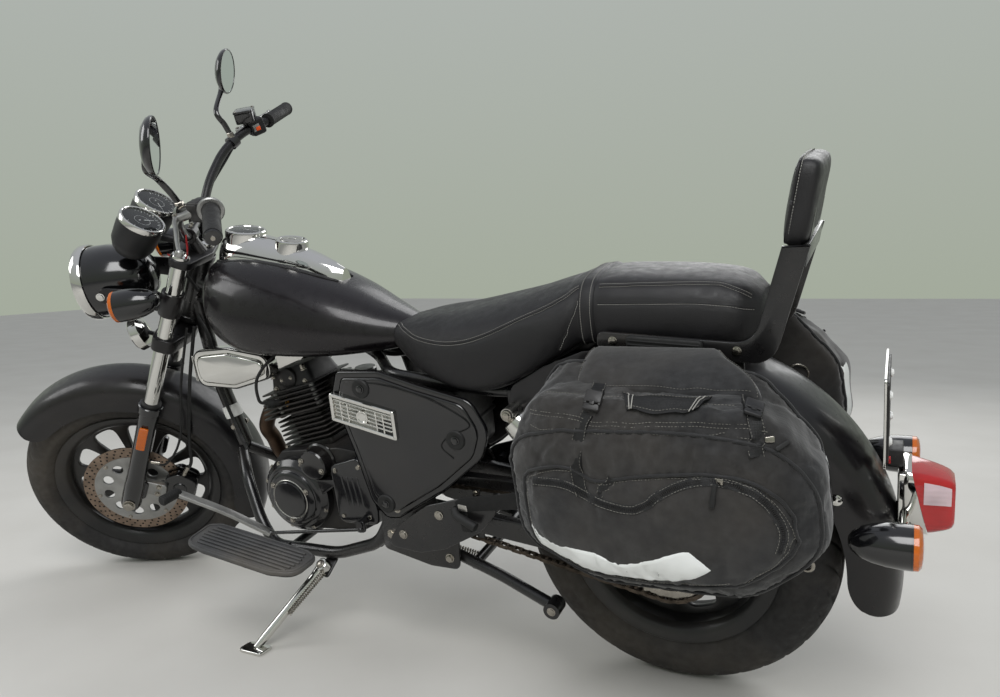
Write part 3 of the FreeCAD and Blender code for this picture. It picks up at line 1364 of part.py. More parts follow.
def chain_guard():
    """Thin guard over the chain's upper run."""
    y = CHAIN_Y + CHAIN_W / 2 + 4
    skirt = side_plate([
        (470, 440, 0), (470, 420, 0), (10, 396, 0), (-60, 396, 0), (-60, 412, 6), (10, 426, 0),
    ], y, y + 2)
    top = side_plate([(470, 440, 0), (470, 438, 0), (10, 424, 0), (10, 426, 0)], CHAIN_Y - CHAIN_W / 2, y + 1)
    posts = [box(x, x + 16, y, y + 6, z, 410) for x, z in ((60, 326), (380, 340))]
    return fused(skirt, top, *posts)


# Node name, maker, and whether it turns with the steering
NODES = [
    ("front_tyre", front_tyre, True),
    ("front_rim", front_rim, True),
    ("front_disc", front_disc, True),
    ("fork_sliders", fork_sliders, True),
    ("fork_tubes", fork_tubes, True),
    ("yokes", yokes, True),
    ("handlebar", handlebar, True),
    ("grips", grips, True),
    ("hand_controls", hand_controls, True),
    ("mirrors", mirrors, True),
    ("gauges", gauges, True),
    ("headlamp_shell", headlamp_shell, True),
    ("headlamp_lens", headlamp_lens, True),
    ("front_indicators", front_indicators, True),
    ("front_indicator_lenses", front_indicator_lenses, True),
    ("horn", horn, True),
    ("front_fender", front_fender, True),
    ("front_caliper", front_caliper, True),
    ("fork_hoses", fork_hoses, True),
    ("rear_tyre", rear_tyre, False),
    ("rear_rim", rear_rim, False),
    ("rear_sprocket", rear_sprocket, False),
    ("chain", chain, False),
    ("frame_main", frame_main, False),
    ("swingarm", swingarm, False),
    ("shocks", shocks, False),
    ("shock_springs", shock_springs, False),
    ("rear_fender", rear_fender, False),
    ("fuel_tank", fuel_tank, False),
    ("tank_console", tank_console, False),
    ("seat", seat, False),
    ("backrest_bars", backrest_bars, False),
    ("backrest_pad", backrest_pad, False),
    ("saddlebag_left", saddlebag_left, False),
    ("saddlebag_right", saddlebag_right, False),
    ("side_covers", side_covers, False),
    ("vent_grilles", vent_grilles, False),
    ("crankcase", crankcase, False),
    ("cylinder", cylinder, False),
    ("engine_covers", engine_covers, False),
    ("intake", intake, False),
    ("exhaust", exhaust, False),
    ("chrome_pods", chrome_pods, False),
    ("tail_lamp", tail_lamp, False),
    ("tail_lens", tail_lens, False),
    ("rear_indicators", rear_indicators, False),
    ("rear_indicator_lenses", rear_indicator_lenses, False),
    ("plate_bracket", plate_bracket, False),
    ("foot_rests", foot_rests, False),
    ("foot_controls", foot_controls, False),
    ("side_stand", side_stand, False),
    ("centre_stand", centre_stand, False),
]


def placed(solid, turns):
    solid = solid.copy()
    place = STOOD * STEERED if turns else STOOD
    solid.Placement = place * solid.Placement
    return solid


def main():
    os.makedirs("parts", exist_ok=True)
    for name, maker, turns in NODES:
        placed(maker(), turns).exportStep("parts/" + name + ".step")


main()
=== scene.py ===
import json
import math
import bmesh
import bpy
import numpy as np
from mathutils import Matrix, Vector
from mathutils.bvhtree import BVHTree


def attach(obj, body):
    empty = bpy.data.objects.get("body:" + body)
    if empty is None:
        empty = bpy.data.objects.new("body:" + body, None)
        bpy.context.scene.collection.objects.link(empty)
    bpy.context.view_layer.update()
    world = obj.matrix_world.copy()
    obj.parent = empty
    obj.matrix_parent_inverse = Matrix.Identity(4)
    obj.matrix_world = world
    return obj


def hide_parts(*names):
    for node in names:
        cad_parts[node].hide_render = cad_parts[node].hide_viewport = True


# Looks of a leaning cruiser motorcycle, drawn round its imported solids.
# Pieces are drawn in millimetres on the upright machine: X ahead of the rear axle, Y left, Z up.

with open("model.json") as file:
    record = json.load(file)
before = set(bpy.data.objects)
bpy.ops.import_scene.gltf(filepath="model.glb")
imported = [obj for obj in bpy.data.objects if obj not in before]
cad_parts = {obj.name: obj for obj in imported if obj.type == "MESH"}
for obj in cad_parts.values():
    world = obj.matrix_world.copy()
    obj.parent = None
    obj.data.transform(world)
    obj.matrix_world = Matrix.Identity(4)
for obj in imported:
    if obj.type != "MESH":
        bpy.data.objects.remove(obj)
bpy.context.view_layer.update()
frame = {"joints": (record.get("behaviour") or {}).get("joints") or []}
turnFull = 2 * math.pi


# Places

def joint(name):
    return next(j for j in frame["joints"] if j["name"] == name)


def unit(v):
    v = np.asarray(v, float)
    return v / np.linalg.norm(v, axis=-1, keepdims=True)


stance = {"rearR": 307.5, "steerReach": (1466.3, -21.8), "steer": 32.0, "rake": 29.6,
          "frontAxle": (1495, 0, 302)}


def turnMatrix(axis, degrees, centre=(0, 0, 0)):
    # A turn about an axis through a point.
    c = Vector(centre)
    turn = Matrix.Rotation(math.radians(degrees), 4, Vector(axis))
    return np.array(Matrix.Translation(c) @ turn @ Matrix.Translation(-c))


def shifted(by):
    return np.array(Matrix.Translation(by))


def uprightPlace():
    # The leaning machine's own axes, read from the wheel's spin axis and the line from rear axle to
    # steering axis.
    left = unit(joint("rear_wheel_spin")["axis"])
    axle = np.array(joint("rear_wheel_spin")["pos_m"], float)
    line = unit(np.array(joint("steering_turn")["pos_m"], float) - axle)
    across = np.cross(line, left)
    reach, drop = stance["steerReach"]
    tilt = math.atan2(-drop, reach)
    ahead = math.cos(tilt) * line + math.sin(tilt) * across
    up = np.cross(ahead, left)
    place = np.eye(4)
    place[:3, :3] = np.column_stack([ahead, left, up]) * 0.001
    place[:3, 3] = axle - up * stance["rearR"] * 0.001
    return place


rake = math.radians(stance["rake"])
steerAxis = (-math.sin(rake), 0, math.cos(rake))
steerFoot = (stance["steerReach"][0], 0, stance["rearR"] + stance["steerReach"][1])
upright = uprightPlace()
steered = upright @ turnMatrix(steerAxis, stance["steer"], steerFoot)
forkPlace = shifted(stance["frontAxle"]) @ turnMatrix((0, 1, 0), -stance["rake"])
onFork = steered @ forkPlace


# Surfaces: a surface is its points and a list of whole blocks of faces

def grid(points, wrapU=False, wrapV=False):
    # Quads through a table of points; a wrapped side joins its last row to its first.
    points = np.asarray(points, float)
    rows, cols = points.shape[:2]
    index = np.arange(rows * cols).reshape(rows, cols)
    index = np.vstack([index, index[:1]]) if wrapU else index
    index = np.hstack([index, index[:, :1]]) if wrapV else index
    quads = np.stack([index[:-1, :-1], index[:-1, 1:], index[1:, 1:], index[1:, :-1]], -1).reshape(-1, 4)
    return points.reshape(-1, 3), [quads]


def capped(points):
    # A wrapped grid whose first and last rows are closed by one face each.
    verts, blocks = grid(points, wrapV=True)
    rows, cols = np.shape(points)[:2]
    last = np.arange((rows - 1) * cols, rows * cols)
    return verts, blocks + [np.arange(cols)[::-1][None], last[None]]


def join(*surfaces):
    # Several surfaces as one; each block of faces counts on from the points before it.
    verts, blocks, start = [], [], 0
    for points, faces in surfaces:
        verts.append(points)
        blocks += [block + start for block in faces]
        start += len(points)
    return np.concatenate(verts), blocks


def moved(surface, place):
    # The surface set in a 4x4 place: every point turned, then shifted.
    verts, blocks = surface
    return verts @ place[:3, :3].T + place[:3, 3], blocks


def mirror(surface):
    verts, blocks = surface
    return verts * (1, -1, 1), [block[:, ::-1] for block in blocks]


def both(surface):
    # The surface and its mirror image across the machine's middle plane.
    return join(surface, mirror(surface))


def copies(surface, places):
    # The surface at every one of a stack of 4x4 places.
    verts, blocks = surface
    places = np.asarray(places, float)
    many = np.einsum("nij,vj->nvi", places[:, :3, :3], verts) + places[:, None, :3, 3]
    shift = (np.arange(len(places)) * len(verts))[:, None, None]
    return many.reshape(-1, 3), [(block[None] + shift).reshape(-1, block.shape[1]) for block in blocks]


def frames(centres, axes, ahead=(0, 0, 1)):
    # Places at centres whose Z looks along each axis and whose X lies nearest to the ahead direction.
    centres = np.atleast_2d(np.asarray(centres, float))
    z = unit(np.broadcast_to(np.asarray(axes, float), centres.shape))
    ahead = np.broadcast_to(np.asarray(ahead, float), centres.shape)
    alike = np.linalg.norm(np.cross(z, ahead), axis=1, keepdims=True) < 1e-3
    y = unit(np.cross(z, np.where(alike, (1.0, 0.0, 0.0), ahead)))
    places = np.tile(np.eye(4), (len(centres), 1, 1))
    places[:, :3, :3] = np.stack([np.cross(y, z), y, z], -1)
    places[:, :3, 3] = centres
    return places


def spun(surface, count, axis=(0, 1, 0), phase=0.0):
    # Copies of the surface spaced evenly round an axis.
    return copies(surface, np.stack([turnMatrix(axis, phase + 360 * k / count) for k in range(count)]))


def eased(control, count, wrap=False):
    # Catmull-Rom curve through control rows, sampled evenly between them.
    control = np.asarray(control, float)
    if wrap:
        ring = np.concatenate([control[-1:], control, control[:2]])
    else:
        ring = np.concatenate([2 * control[:1] - control[1:2], control, 2 * control[-1:] - control[-2:-1]])
    spans = len(ring) - 3
    t = np.linspace(0, spans, count, endpoint=not wrap)
    k = np.minimum(t.astype(int), spans - 1)
    f = (t - k).reshape((-1,) + (1,) * (control.ndim - 1))
    a, b, c, d = ring[k], ring[k + 1], ring[k + 2], ring[k + 3]
    cubic = 3 * b - a - 3 * c + d
    return 0.5 * (2 * b + (c - a) * f + (2 * a - 5 * b + 4 * c - d) * f ** 2 + cubic * f ** 3)


def bent(route, reach, steps=7):
    # A route whose corners are rounded by parabolas that start a given distance from each corner.
    route = np.asarray(route, float)
    if len(route) < 3:
        return route
    back, on = route[:-2] - route[1:-1], route[2:] - route[1:-1]
    longBack = np.linalg.norm(back, axis=1, keepdims=True)
    longOn = np.linalg.norm(on, axis=1, keepdims=True)
    cut = np.minimum(reach, np.minimum(longBack, longOn) * 0.48)
    a, b = route[1:-1] + back / longBack * cut, route[1:-1] + on / longOn * cut
    t = np.linspace(0, 1, steps)[None, :, None]
    arcs = a[:, None] * (1 - t) ** 2 + 2 * route[1:-1][:, None] * t * (1 - t) + b[:, None] * t ** 2
    return np.concatenate([route[:1], arcs.reshape(-1, 3), route[-1:]])


def circle(radius, count=16):
    # Points spaced evenly on a circle.
    angle = np.arange(count) * turnFull / count
    return np.stack([radius * np.cos(angle), radius * np.sin(angle)], -1)


def swept(path, section, across=(0, 1, 0), swell=None, ends=True):
    # A flat section carried along a path, square to it; swell scales it at each point of the path.
    path, section = np.asarray(path, float), np.asarray(section, float)
    along = unit(np.gradient(path, axis=0))
    rise = np.cross(along, np.broadcast_to(np.asarray(across, float), along.shape))
    clear = np.linalg.norm(rise, axis=1) > 0.05
    nearest = np.abs(np.arange(len(path))[:, None] - np.nonzero(clear)[0][None]).argmin(1)
    rise = rise[np.nonzero(clear)[0][nearest]]
    rise = unit(rise - along * (rise * along).sum(1, keepdims=True))
    side = np.cross(rise, along)
    scale = np.ones(len(path)) if swell is None else np.asarray(swell, float)
    flat = section[None] * scale[:, None, None]
    points = path[:, None] + flat[..., :1] * side[:, None] + flat[..., 1:] * rise[:, None]
    return capped(points) if ends else grid(points, wrapV=True)


def tube(route, radius, reach=30.0, across=(0, 1, 0), flats=16):
    # A round bar along a route with rounded bends.
    return swept(bent(route, reach), circle(radius, flats), across)


def rod(start, end, radius, flats=20):
    # A straight round bar between two points.
    line = np.asarray(end, float) - np.asarray(start, float)
    across = (0, 1, 0) if abs(line[1]) < 0.9 * np.linalg.norm(line) else (1, 0, 0)
    return swept([start, end], circle(radius, flats), across)


def lathe(profile, centre=(0, 0, 0), axis=(0, 1, 0), flats=48, start=0.0, sweep=360.0, wrap=False):
    # A profile of (radius, offset along the axis) turned about that axis; drawn about Y, then set on the
    # axis.
    profile = np.asarray(profile, float)
    full = sweep == 360.0
    angle = np.radians(start + sweep * np.arange(flats if full else flats + 1) / flats)[:, None]
    points = np.stack([profile[:, 0] * np.cos(angle),
                       np.broadcast_to(profile[:, 1], (len(angle), len(profile))),
                       profile[:, 0] * np.sin(angle)], -1)
    surface = grid(points, wrapU=full, wrapV=wrap)
    turn = np.array(Vector((0, 1, 0)).rotation_difference(Vector(axis)).to_matrix())
    place = np.eye(4)
    place[:3, :3], place[:3, 3] = turn, centre
    return moved(surface, place)


def softCorners(corners, steps=5):
    # A closed outline of (u, v, radius) corners, each rounded by a parabola of about that radius.
    corners = np.asarray(corners, float)
    point, radius = corners[:, :2], corners[:, 2:]
    back, on = np.roll(point, 1, 0) - point, np.roll(point, -1, 0) - point
    longBack = np.linalg.norm(back, axis=1, keepdims=True)
    longOn = np.linalg.norm(on, axis=1, keepdims=True)
    half = np.arccos(np.clip((back * on).sum(1, keepdims=True) / longBack / longOn, -1, 1)) / 2
    cut = np.minimum(np.maximum(radius, 0.2) / np.tan(np.maximum(half, 0.05)),
                     np.minimum(longBack, longOn) * 0.48)
    a, b = point + back / longBack * cut, point + on / longOn * cut
    t = np.linspace(0, 1, steps)[None, :, None]
    arcs = a[:, None] * (1 - t) ** 2 + 2 * point[:, None] * t * (1 - t) + b[:, None] * t ** 2
    return arcs.reshape(-1, 2)


def rectangle(u0, u1, v0, v1, radius, steps=5):
    return softCorners([(u0, v0, radius), (u1, v0, radius), (u1, v1, radius), (u0, v1, radius)], steps)


def inset(outline, depth):
    # The outline moved inwards along the bisector at every corner; it runs either way round.
    ahead = unit(np.roll(outline, -1, 0) - outline)
    normal = np.stack([-ahead[:, 1] - np.roll(ahead, 1, 0)[:, 1], ahead[:, 0] + np.roll(ahead, 1, 0)[:, 0]],
                      -1)
    u, v = outline[:, 0], outline[:, 1]
    turn = np.sign((u * np.roll(v, -1) - np.roll(u, -1) * v).sum())
    return outline + unit(normal) * turn * depth


def plate(outline, low, high, edge=1.5, steps=4, dome=0.0, plane="xz"):
    # A slab on an outline whose rims are rounded; with a dome its face swells as it nears the middle.
    outline = np.asarray(outline, float)
    t = np.linspace(0, math.pi / 2, steps)
    depth, height = edge * (1 - np.sin(t)), edge * (1 - np.cos(t))
    rings = [(inset(outline, d), low + h) for d, h in zip(depth, height)]
    rings += [(inset(outline, d), high - h) for d, h in zip(depth[::-1], height[::-1])]
    if dome:
        centre = outline.mean(0)
        inner = inset(outline, edge)
        shares = np.linspace(0, 1, 9)[1:]
        rings += [(inner + (centre - inner) * s * 0.98, high + dome * (1 - (1 - s) ** 2)) for s in shares]
    points = np.stack([np.column_stack([ring, np.full(len(ring), h)]) for ring, h in rings])
    points = points[..., [0, 2, 1]] if plane == "xz" else points
    return capped(points)


def block(x0, x1, y0, y1, z0, z1, edge=2.0):
    # A box with rounded edges between six limits.
    r = edge * 1.2
    return plate(rectangle(x0, x1, z0, z1, r, 4), y0, y1, edge)


def studs(centres, axes, radius, height, flats=20, ahead=(0, 0, 1)):
    # Domed bolt heads on a washer, standing on points along axes.
    r, h = radius, height
    head = lathe([(0, h), (r * 0.4, h * 0.97), (r * 0.72, h * 0.8), (r * 0.8, h * 0.4), (r, h * 0.3),
                  (r, 0)], axis=(0, 0, 1), flats=flats)
    return copies(head, frames(centres, axes, ahead))


def hexBolts(centres, axes, radius, height, ahead=(0, 0, 1)):
    # Hexagon heads with chamfered tops on flanges.
    angle = np.arange(12) * turnFull / 12
    flat = np.where(np.arange(12) % 2, 0.866, 1.0)
    rings = [(1.3, 0), (1.3, 0.15), (1.0, 0.22), (1.0, 0.88), (0.82, 1.0)]
    points = np.stack([np.column_stack([radius * s * flat ** (i > 1) * np.cos(angle),
                                        radius * s * flat ** (i > 1) * np.sin(angle),
                                        np.full(12, height * h)]) for i, (s, h) in enumerate(rings)])
    return copies(capped(points), frames(centres, axes, ahead))


def alongPath(path, pitch, start=0.0):
    # Points every pitch along a path, with the directions there.
    path = np.asarray(path, float)
    step = np.linalg.norm(np.diff(path, axis=0), axis=1)
    run = np.concatenate([[0], np.cumsum(step)])
    at = np.arange(start, run[-1], pitch)
    points = np.stack([np.interp(at, run, path[:, i]) for i in range(3)], -1)
    ahead = np.stack([np.interp(at + 0.5, run, path[:, i]) - np.interp(at - 0.5, run, path[:, i])
                      for i in range(3)], -1)
    return points, unit(ahead + 1e-9)


def stitches(path, outward, pitch=5.0, length=3.6, width=0.7):
    # Short rounded threads laid end to end on a path.
    points, ahead = alongPath(path, pitch, pitch / 2)
    t = np.array([-1, -0.6, 0.6, 1])
    line = np.stack([t * length / 2, 0 * t, width * 0.9 * (1 - t ** 2)], -1)
    thread = swept(line, circle(width, 4), (0, 1, 0), swell=[0.4, 1, 1, 0.4])
    outward = np.asarray(outward, float)
    if outward.ndim == 2:
        outward = outward[((path[None] - points[:, None]) ** 2).sum(-1).argmin(1)]
    return copies(thread, frames(points, np.broadcast_to(outward, points.shape), ahead))


def helix(start, end, radius, turns, wire, flats=8, perTurn=20, closed=0.9):
    # A coil round the line between two points; its end turns lie closer together.
    start, end = np.asarray(start, float), np.asarray(end, float)
    axis = unit(end - start)
    across = unit(np.cross(axis, (0, 1, 0) if abs(axis[1]) < 0.9 else (1, 0, 0)))
    rise = np.cross(axis, across)
    t = np.linspace(0, 1, int(turns * perTurn))
    angle = t * turns * turnFull
    lift = t - closed / turns / turnFull * np.sin(turnFull * t)
    ring = np.cos(angle)[:, None] * across + np.sin(angle)[:, None] * rise
    path = start + (end - start) * lift[:, None] + radius * ring
    return swept(path, circle(wire, flats), axis)


def windowed(inner, outer, count, low, high, lowY, highY, span=0.7, power=4.0, edge=3.0, steps=40):
    # A disc of sectors, each with a rounded window; window and sector edges share their angles.
    t = np.arange(steps) * turnFull / steps
    c, s = np.cos(t), np.sin(t)
    square = np.maximum(abs(c), abs(s))
    soft = (abs(c) ** power + abs(s) ** power) ** (-1 / power)
    half = math.pi / count
    sector = ((inner + outer) / 2 + (outer - inner) / 2 * c / square, half * s / square)
    middle, reach = (low + high) / 2, (high - low) / 2
    rings = []
    for grow, y in ((None, lowY), (edge, lowY), (edge * 0.3, lowY + edge * 0.3), (0, lowY + edge),
                    (0, highY - edge), (edge * 0.3, highY - edge * 0.3), (edge, highY), (None, highY)):
        if grow is None:
            r, a = sector
        else:
            r = middle + (reach + grow) * c * soft
            a = (half * span + grow / middle) * s * soft
        rings.append(np.stack([r * np.cos(a), np.full(steps, float(y)), r * np.sin(a)], -1))
    return spun(grid(np.stack(rings), wrapV=True), count)


# Finishes

def linear(code):
    # A colour code of six hexadecimal digits as linear red, green and blue.
    value = np.array([int(code[i:i + 2], 16) for i in (0, 2, 4)]) / 255
    return tuple(np.where(value <= 0.04045, value / 12.92, ((value + 0.055) / 1.055) ** 2.4))


def node(tree, kind, inputs=None, **settings):
    # A shader node with its settings, and values or links at its inputs.
    made = tree.nodes.new(kind)
    for name, value in settings.items():
        setattr(made, name, value)
    for name, value in (inputs or {}).items():
        if isinstance(value, bpy.types.NodeSocket):
            tree.links.new(value, made.inputs[name])
        else:
            made.inputs[name].default_value = value
    return made


def ranged(tree, value, low, high, start=0.3, end=0.7):
    # A value mapped from one range to another.
    limits = {"From Min": start, "From Max": end, "To Min": low, "To Max": high}
    return node(tree, "ShaderNodeMapRange", {"Value": value, **limits}).outputs["Result"]


def pattern(tree, where, kind, scale):
    # The height of a surface pattern: grain, cells, weave, brushed lines or ribs.
    if kind == "grain":
        return node(tree, "ShaderNodeTexNoise", {"Vector": where, "Scale": scale,
                                                 "Detail": 6.0}).outputs["Fac"]
    if kind == "cells":
        warp = node(tree, "ShaderNodeTexNoise", {"Vector": where, "Scale": scale * 0.5})
        mixed = node(tree, "ShaderNodeMix", {"Factor": 0.012, "A": where, "B": warp.outputs["Color"]},
                     data_type="VECTOR")
        vector = [s for s in mixed.outputs if s.type == "VECTOR"][0]
        cells = node(tree, "ShaderNodeTexVoronoi", {"Vector": vector, "Scale": scale},
                     feature="DISTANCE_TO_EDGE")
        return ranged(tree, cells.outputs["Distance"], 0.0, 1.0, 0.0, 0.22)
    if kind == "brushed":
        long = node(tree, "ShaderNodeMapping", {"Vector": where, "Scale": (0.04, 1.0, 1.0)})
        return node(tree, "ShaderNodeTexNoise", {"Vector": long.outputs["Vector"],
                                                 "Scale": scale}).outputs["Fac"]
    bands = [node(tree, "ShaderNodeTexWave", {"Vector": where, "Scale": scale, "Distortion": 0.6,
                                              "Detail Scale": 2.0}, bands_direction=d).outputs["Fac"]
             for d in (("X", "Z") if kind == "weave" else ("Z",))]
    if len(bands) == 1:
        return bands[0]
    return node(tree, "ShaderNodeMath", {0: bands[0], 1: bands[1]}, operation="MULTIPLY").outputs[0]


finishes = {}


def finish(name, slot, code, rough, metal=0.0, coat=0.0, bumps=(), mottle=(0.8, 1.25, 14.0), through=0.0,
           sheen=0.0, ior=1.45, dust=0.0):
    # A procedural finish: mottled colour, uneven roughness, dust in patches and up to a few layers of bump.
    made = bpy.data.materials.new(name)
    made.use_nodes = True
    tree = made.node_tree
    shader = tree.nodes["Principled BSDF"]
    where = node(tree, "ShaderNodeTexCoord").outputs["Object"]
    low, high, scale = mottle
    cloud = node(tree, "ShaderNodeTexNoise", {"Vector": where, "Scale": scale,
                                              "Detail": 5.0}).outputs["Fac"]
    colour = np.array(linear(code))
    dark, light = (*np.clip(colour * low, 0, 1), 1), (*np.clip(colour * high, 0, 1), 1)
    mixed = node(tree, "ShaderNodeMix", {"Factor": ranged(tree, cloud, 0.0, 1.0)}, data_type="RGBA")
    mixed.inputs[6].default_value, mixed.inputs[7].default_value = dark, light
    base = mixed.outputs[2]
    if dust:
        patches = node(tree, "ShaderNodeTexNoise",
                       {"Vector": where, "Scale": 5.0, "Detail": 8.0}).outputs["Fac"]
        dusty = node(tree, "ShaderNodeMix", {"Factor": ranged(tree, patches, 0.0, dust, 0.42, 0.75)},
                     data_type="RGBA")
        tree.links.new(base, dusty.inputs[6])
        dusty.inputs[7].default_value = (*linear("8a7f70"), 1)
        base = dusty.outputs[2]
    tree.links.new(base, shader.inputs["Base Color"])
    fine = node(tree, "ShaderNodeTexNoise", {"Vector": where, "Scale": 60.0, "Detail": 4.0}).outputs["Fac"]
    tree.links.new(ranged(tree, fine, rough * 0.8, min(1.0, rough * 1.2)), shader.inputs["Roughness"])
    normal = None
    for kind, size, strength, depth in bumps:
        inputs = {"Height": pattern(tree, where, kind, size), "Strength": strength,
                  "Distance": depth * 0.001}
        if normal:
            inputs["Normal"] = normal
        normal = node(tree, "ShaderNodeBump", inputs).outputs["Normal"]
    if normal:
        tree.links.new(normal, shader.inputs["Normal"])
    for socket, value in (("Metallic", metal), ("Coat Weight", coat), ("Coat Roughness", 0.12),
                          ("IOR", ior), ("Transmission Weight", through), ("Sheen Weight", sheen)):
        shader.inputs[socket].default_value = value
    finishes[name] = (made, slot)


finish("tyreRubber", "tyre", "232222", 0.78, bumps=[("grain", 900, 0.25, 0.6)], mottle=(0.8, 1.4, 9),
       dust=0.2)
finish("castBlack", "wheel_black", "121213", 0.38, coat=0.15, bumps=[("grain", 700, 0.12, 0.3)], dust=0.1)
finish("discSteel", "disc_steel", "8c7b6d", 0.3, metal=1.0, bumps=[("grain", 300, 0.08, 0.2)],
       mottle=(0.7, 1.2, 30))
finish("gloss", "black_gloss", "0b0b0d", 0.13, coat=0.8, mottle=(0.9, 1.15, 6))
finish("satin", "black_satin", "100f12", 0.34, metal=0.2, coat=0.25, bumps=[("grain", 1500, 0.04, 0.1)],
       dust=0.05)
finish("tankPaint", "tank_paint", "130f12", 0.3, metal=0.35, coat=0.4, bumps=[("grain", 1800, 0.04, 0.1)],
       mottle=(0.9, 1.15, 4))
finish("chrome", "chrome", "d9d8d4", 0.06, metal=1.0, mottle=(0.92, 1.04, 8))
finish("brushed", "chrome", "b9b7b2", 0.28, metal=1.0, bumps=[("brushed", 900, 0.15, 0.1)])
finish("softRubber", "grip_rubber", "1a1a1a", 0.66, bumps=[("grain", 900, 0.2, 0.4)])
finish("boardRubber", "grip_rubber", "454546", 0.62, bumps=[("grain", 700, 0.25, 0.5)], dust=0.35)
finish("plastic", "black_plastic", "161618", 0.46, bumps=[("grain", 1400, 0.15, 0.2)], dust=0.04)
finish("castGrey", "cast_grey", "9a9a98", 0.4, metal=0.9, bumps=[("grain", 600, 0.3, 0.5)])
finish("boltSteel", "sprocket_steel", "a9a49b", 0.25, metal=1.0, mottle=(0.75, 1.1, 60))
finish("chainSteel", "chain_steel", "5a5148", 0.42, metal=0.9, mottle=(0.6, 1.3, 60))
finish("frameBlack", "frame_black", "101012", 0.3, coat=0.4, bumps=[("grain", 500, 0.06, 0.2)], dust=0.06)
finish("engineBlack", "engine_black", "19191b", 0.45, metal=0.2, bumps=[("grain", 900, 0.3, 0.4)], dust=0.1)
finish("coverBlack", "cover_black", "0e0e11", 0.2, coat=0.6, bumps=[("grain", 260, 0.04, 0.3),
                                                                    ("grain", 5, 0.3, 9.0)], dust=0.05)
finish("headerBrown", "exhaust_dark", "4a3a2e", 0.42, metal=0.8, mottle=(0.5, 1.4, 22))
finish("leather", "seat_leather", "151416", 0.44, bumps=[("cells", 420, 0.35, 0.35),
                                                         ("grain", 60, 0.05, 0.8)], mottle=(0.85, 1.25, 10))
finish("bagFabric", "bag_fabric", "171719", 0.82, sheen=0.3, mottle=(0.75, 1.35, 7), dust=0.1,
       bumps=[("weave", 190, 0.55, 0.5), ("grain", 30, 0.35, 4.0)])
finish("bagTrim", "bag_fabric", "121214", 0.6, sheen=0.2, bumps=[("weave", 120, 0.6, 0.5)])
finish("bagThread", "bag_fabric", "77756f", 0.8)
finish("webbing", "bag_fabric", "09090a", 0.58, bumps=[("weave", 150, 0.8, 0.5)])
finish("amber", "amber_lens", "e0700c", 0.12, through=0.35, coat=0.5, bumps=[("ribs", 30, 0.5, 0.6)],
       mottle=(0.9, 1.1, 8))
finish("redLens", "red_lens", "bc1a1c", 0.1, through=0.3, coat=0.6, bumps=[("ribs", 36, 0.4, 0.6)])
finish("paleLens", "red_lens", "dcc6cc", 0.1, through=0.2, coat=0.6, bumps=[("ribs", 36, 0.4, 0.6)])
finish("clearLens", "chrome", "dfe4e6", 0.06, through=0.85, coat=0.3, bumps=[("ribs", 24, 0.25, 0.6)])
finish("glass", "chrome", "f4f7f7", 0.02, through=1.0, mottle=(1, 1, 4))
finish("mirrorGlass", "chrome", "dfe6e6", 0.02, metal=1.0, mottle=(0.97, 1.0, 3))
finish("thread", "seat_leather", "94928d", 0.8, bumps=[("grain", 1500, 0.5, 0.3)])
finish("whiteBand", "bag_fabric", "eceeed", 0.35, coat=0.2, bumps=[("grain", 500, 0.1, 0.2)],
       mottle=(0.93, 1.03, 12))
finish("whiteMark", "black_plastic", "f2f2ee", 0.5)
finish("orange", "black_plastic", "e8561c", 0.4)
finish("redWire", "black_plastic", "b0181c", 0.4)
finish("brass", "chrome", "a8854a", 0.28, metal=1.0, mottle=(0.75, 1.15, 40))
finish("dial", "black_plastic", "0a0b0e", 0.4)
finish("shadow", "black_plastic", "040404", 0.9)


def piece(name, body, look, surface, place=upright, hides=(), crease=32):
    # One mesh: the surface set in its place, normals outwards, creased where faces meet sharply.
    verts, blocks = moved(surface, place)
    mesh = bpy.data.meshes.new(name)
    mesh.vertices.add(len(verts))
    mesh.vertices.foreach_set("co", verts.ravel())
    corners = np.concatenate([block.ravel() for block in blocks])
    sizes = np.concatenate([np.full(len(block), block.shape[1]) for block in blocks])
    mesh.loops.add(len(corners))
    mesh.loops.foreach_set("vertex_index", corners)
    mesh.polygons.add(len(sizes))
    mesh.polygons.foreach_set("loop_start", np.concatenate([[0], np.cumsum(sizes)[:-1]]))
    mesh.update(calc_edges=True)
    mesh.validate()
    made = bpy.data.objects.new(name, mesh)
    bpy.context.scene.collection.objects.link(made)
    tidy = bmesh.new()
    tidy.from_mesh(mesh)
    bmesh.ops.remove_doubles(tidy, verts=tidy.verts, dist=1e-5)
    bmesh.ops.recalc_face_normals(tidy, faces=tidy.faces)
    tidy.to_mesh(mesh)
    tidy.free()
    mesh.shade_smooth()
    mesh.set_sharp_from_angle(angle=math.radians(crease))
    material, slot = finishes[look]
    mesh.materials.append(material)
    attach(made, body)
    if hides:
        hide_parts(*hides)
    return made


print("stage: finishes")


# Wheels

tread = {"repeat": 34, "around": 476, "groove": 4.5, "slant": 44.0, "centreGroove": 13.0}
rearWheel = {"radius": 307.5, "width": 130.0, "flange": 206.0, "rim": 120.0, "hub": 73.5,
             "axle": (0, 0, 307.5)}
frontWheel = {"radius": 302.0, "width": 112.0, "flange": 218.0, "rim": 86.0, "hub": 56.7,
              "axle": (1495, 0, 302)}


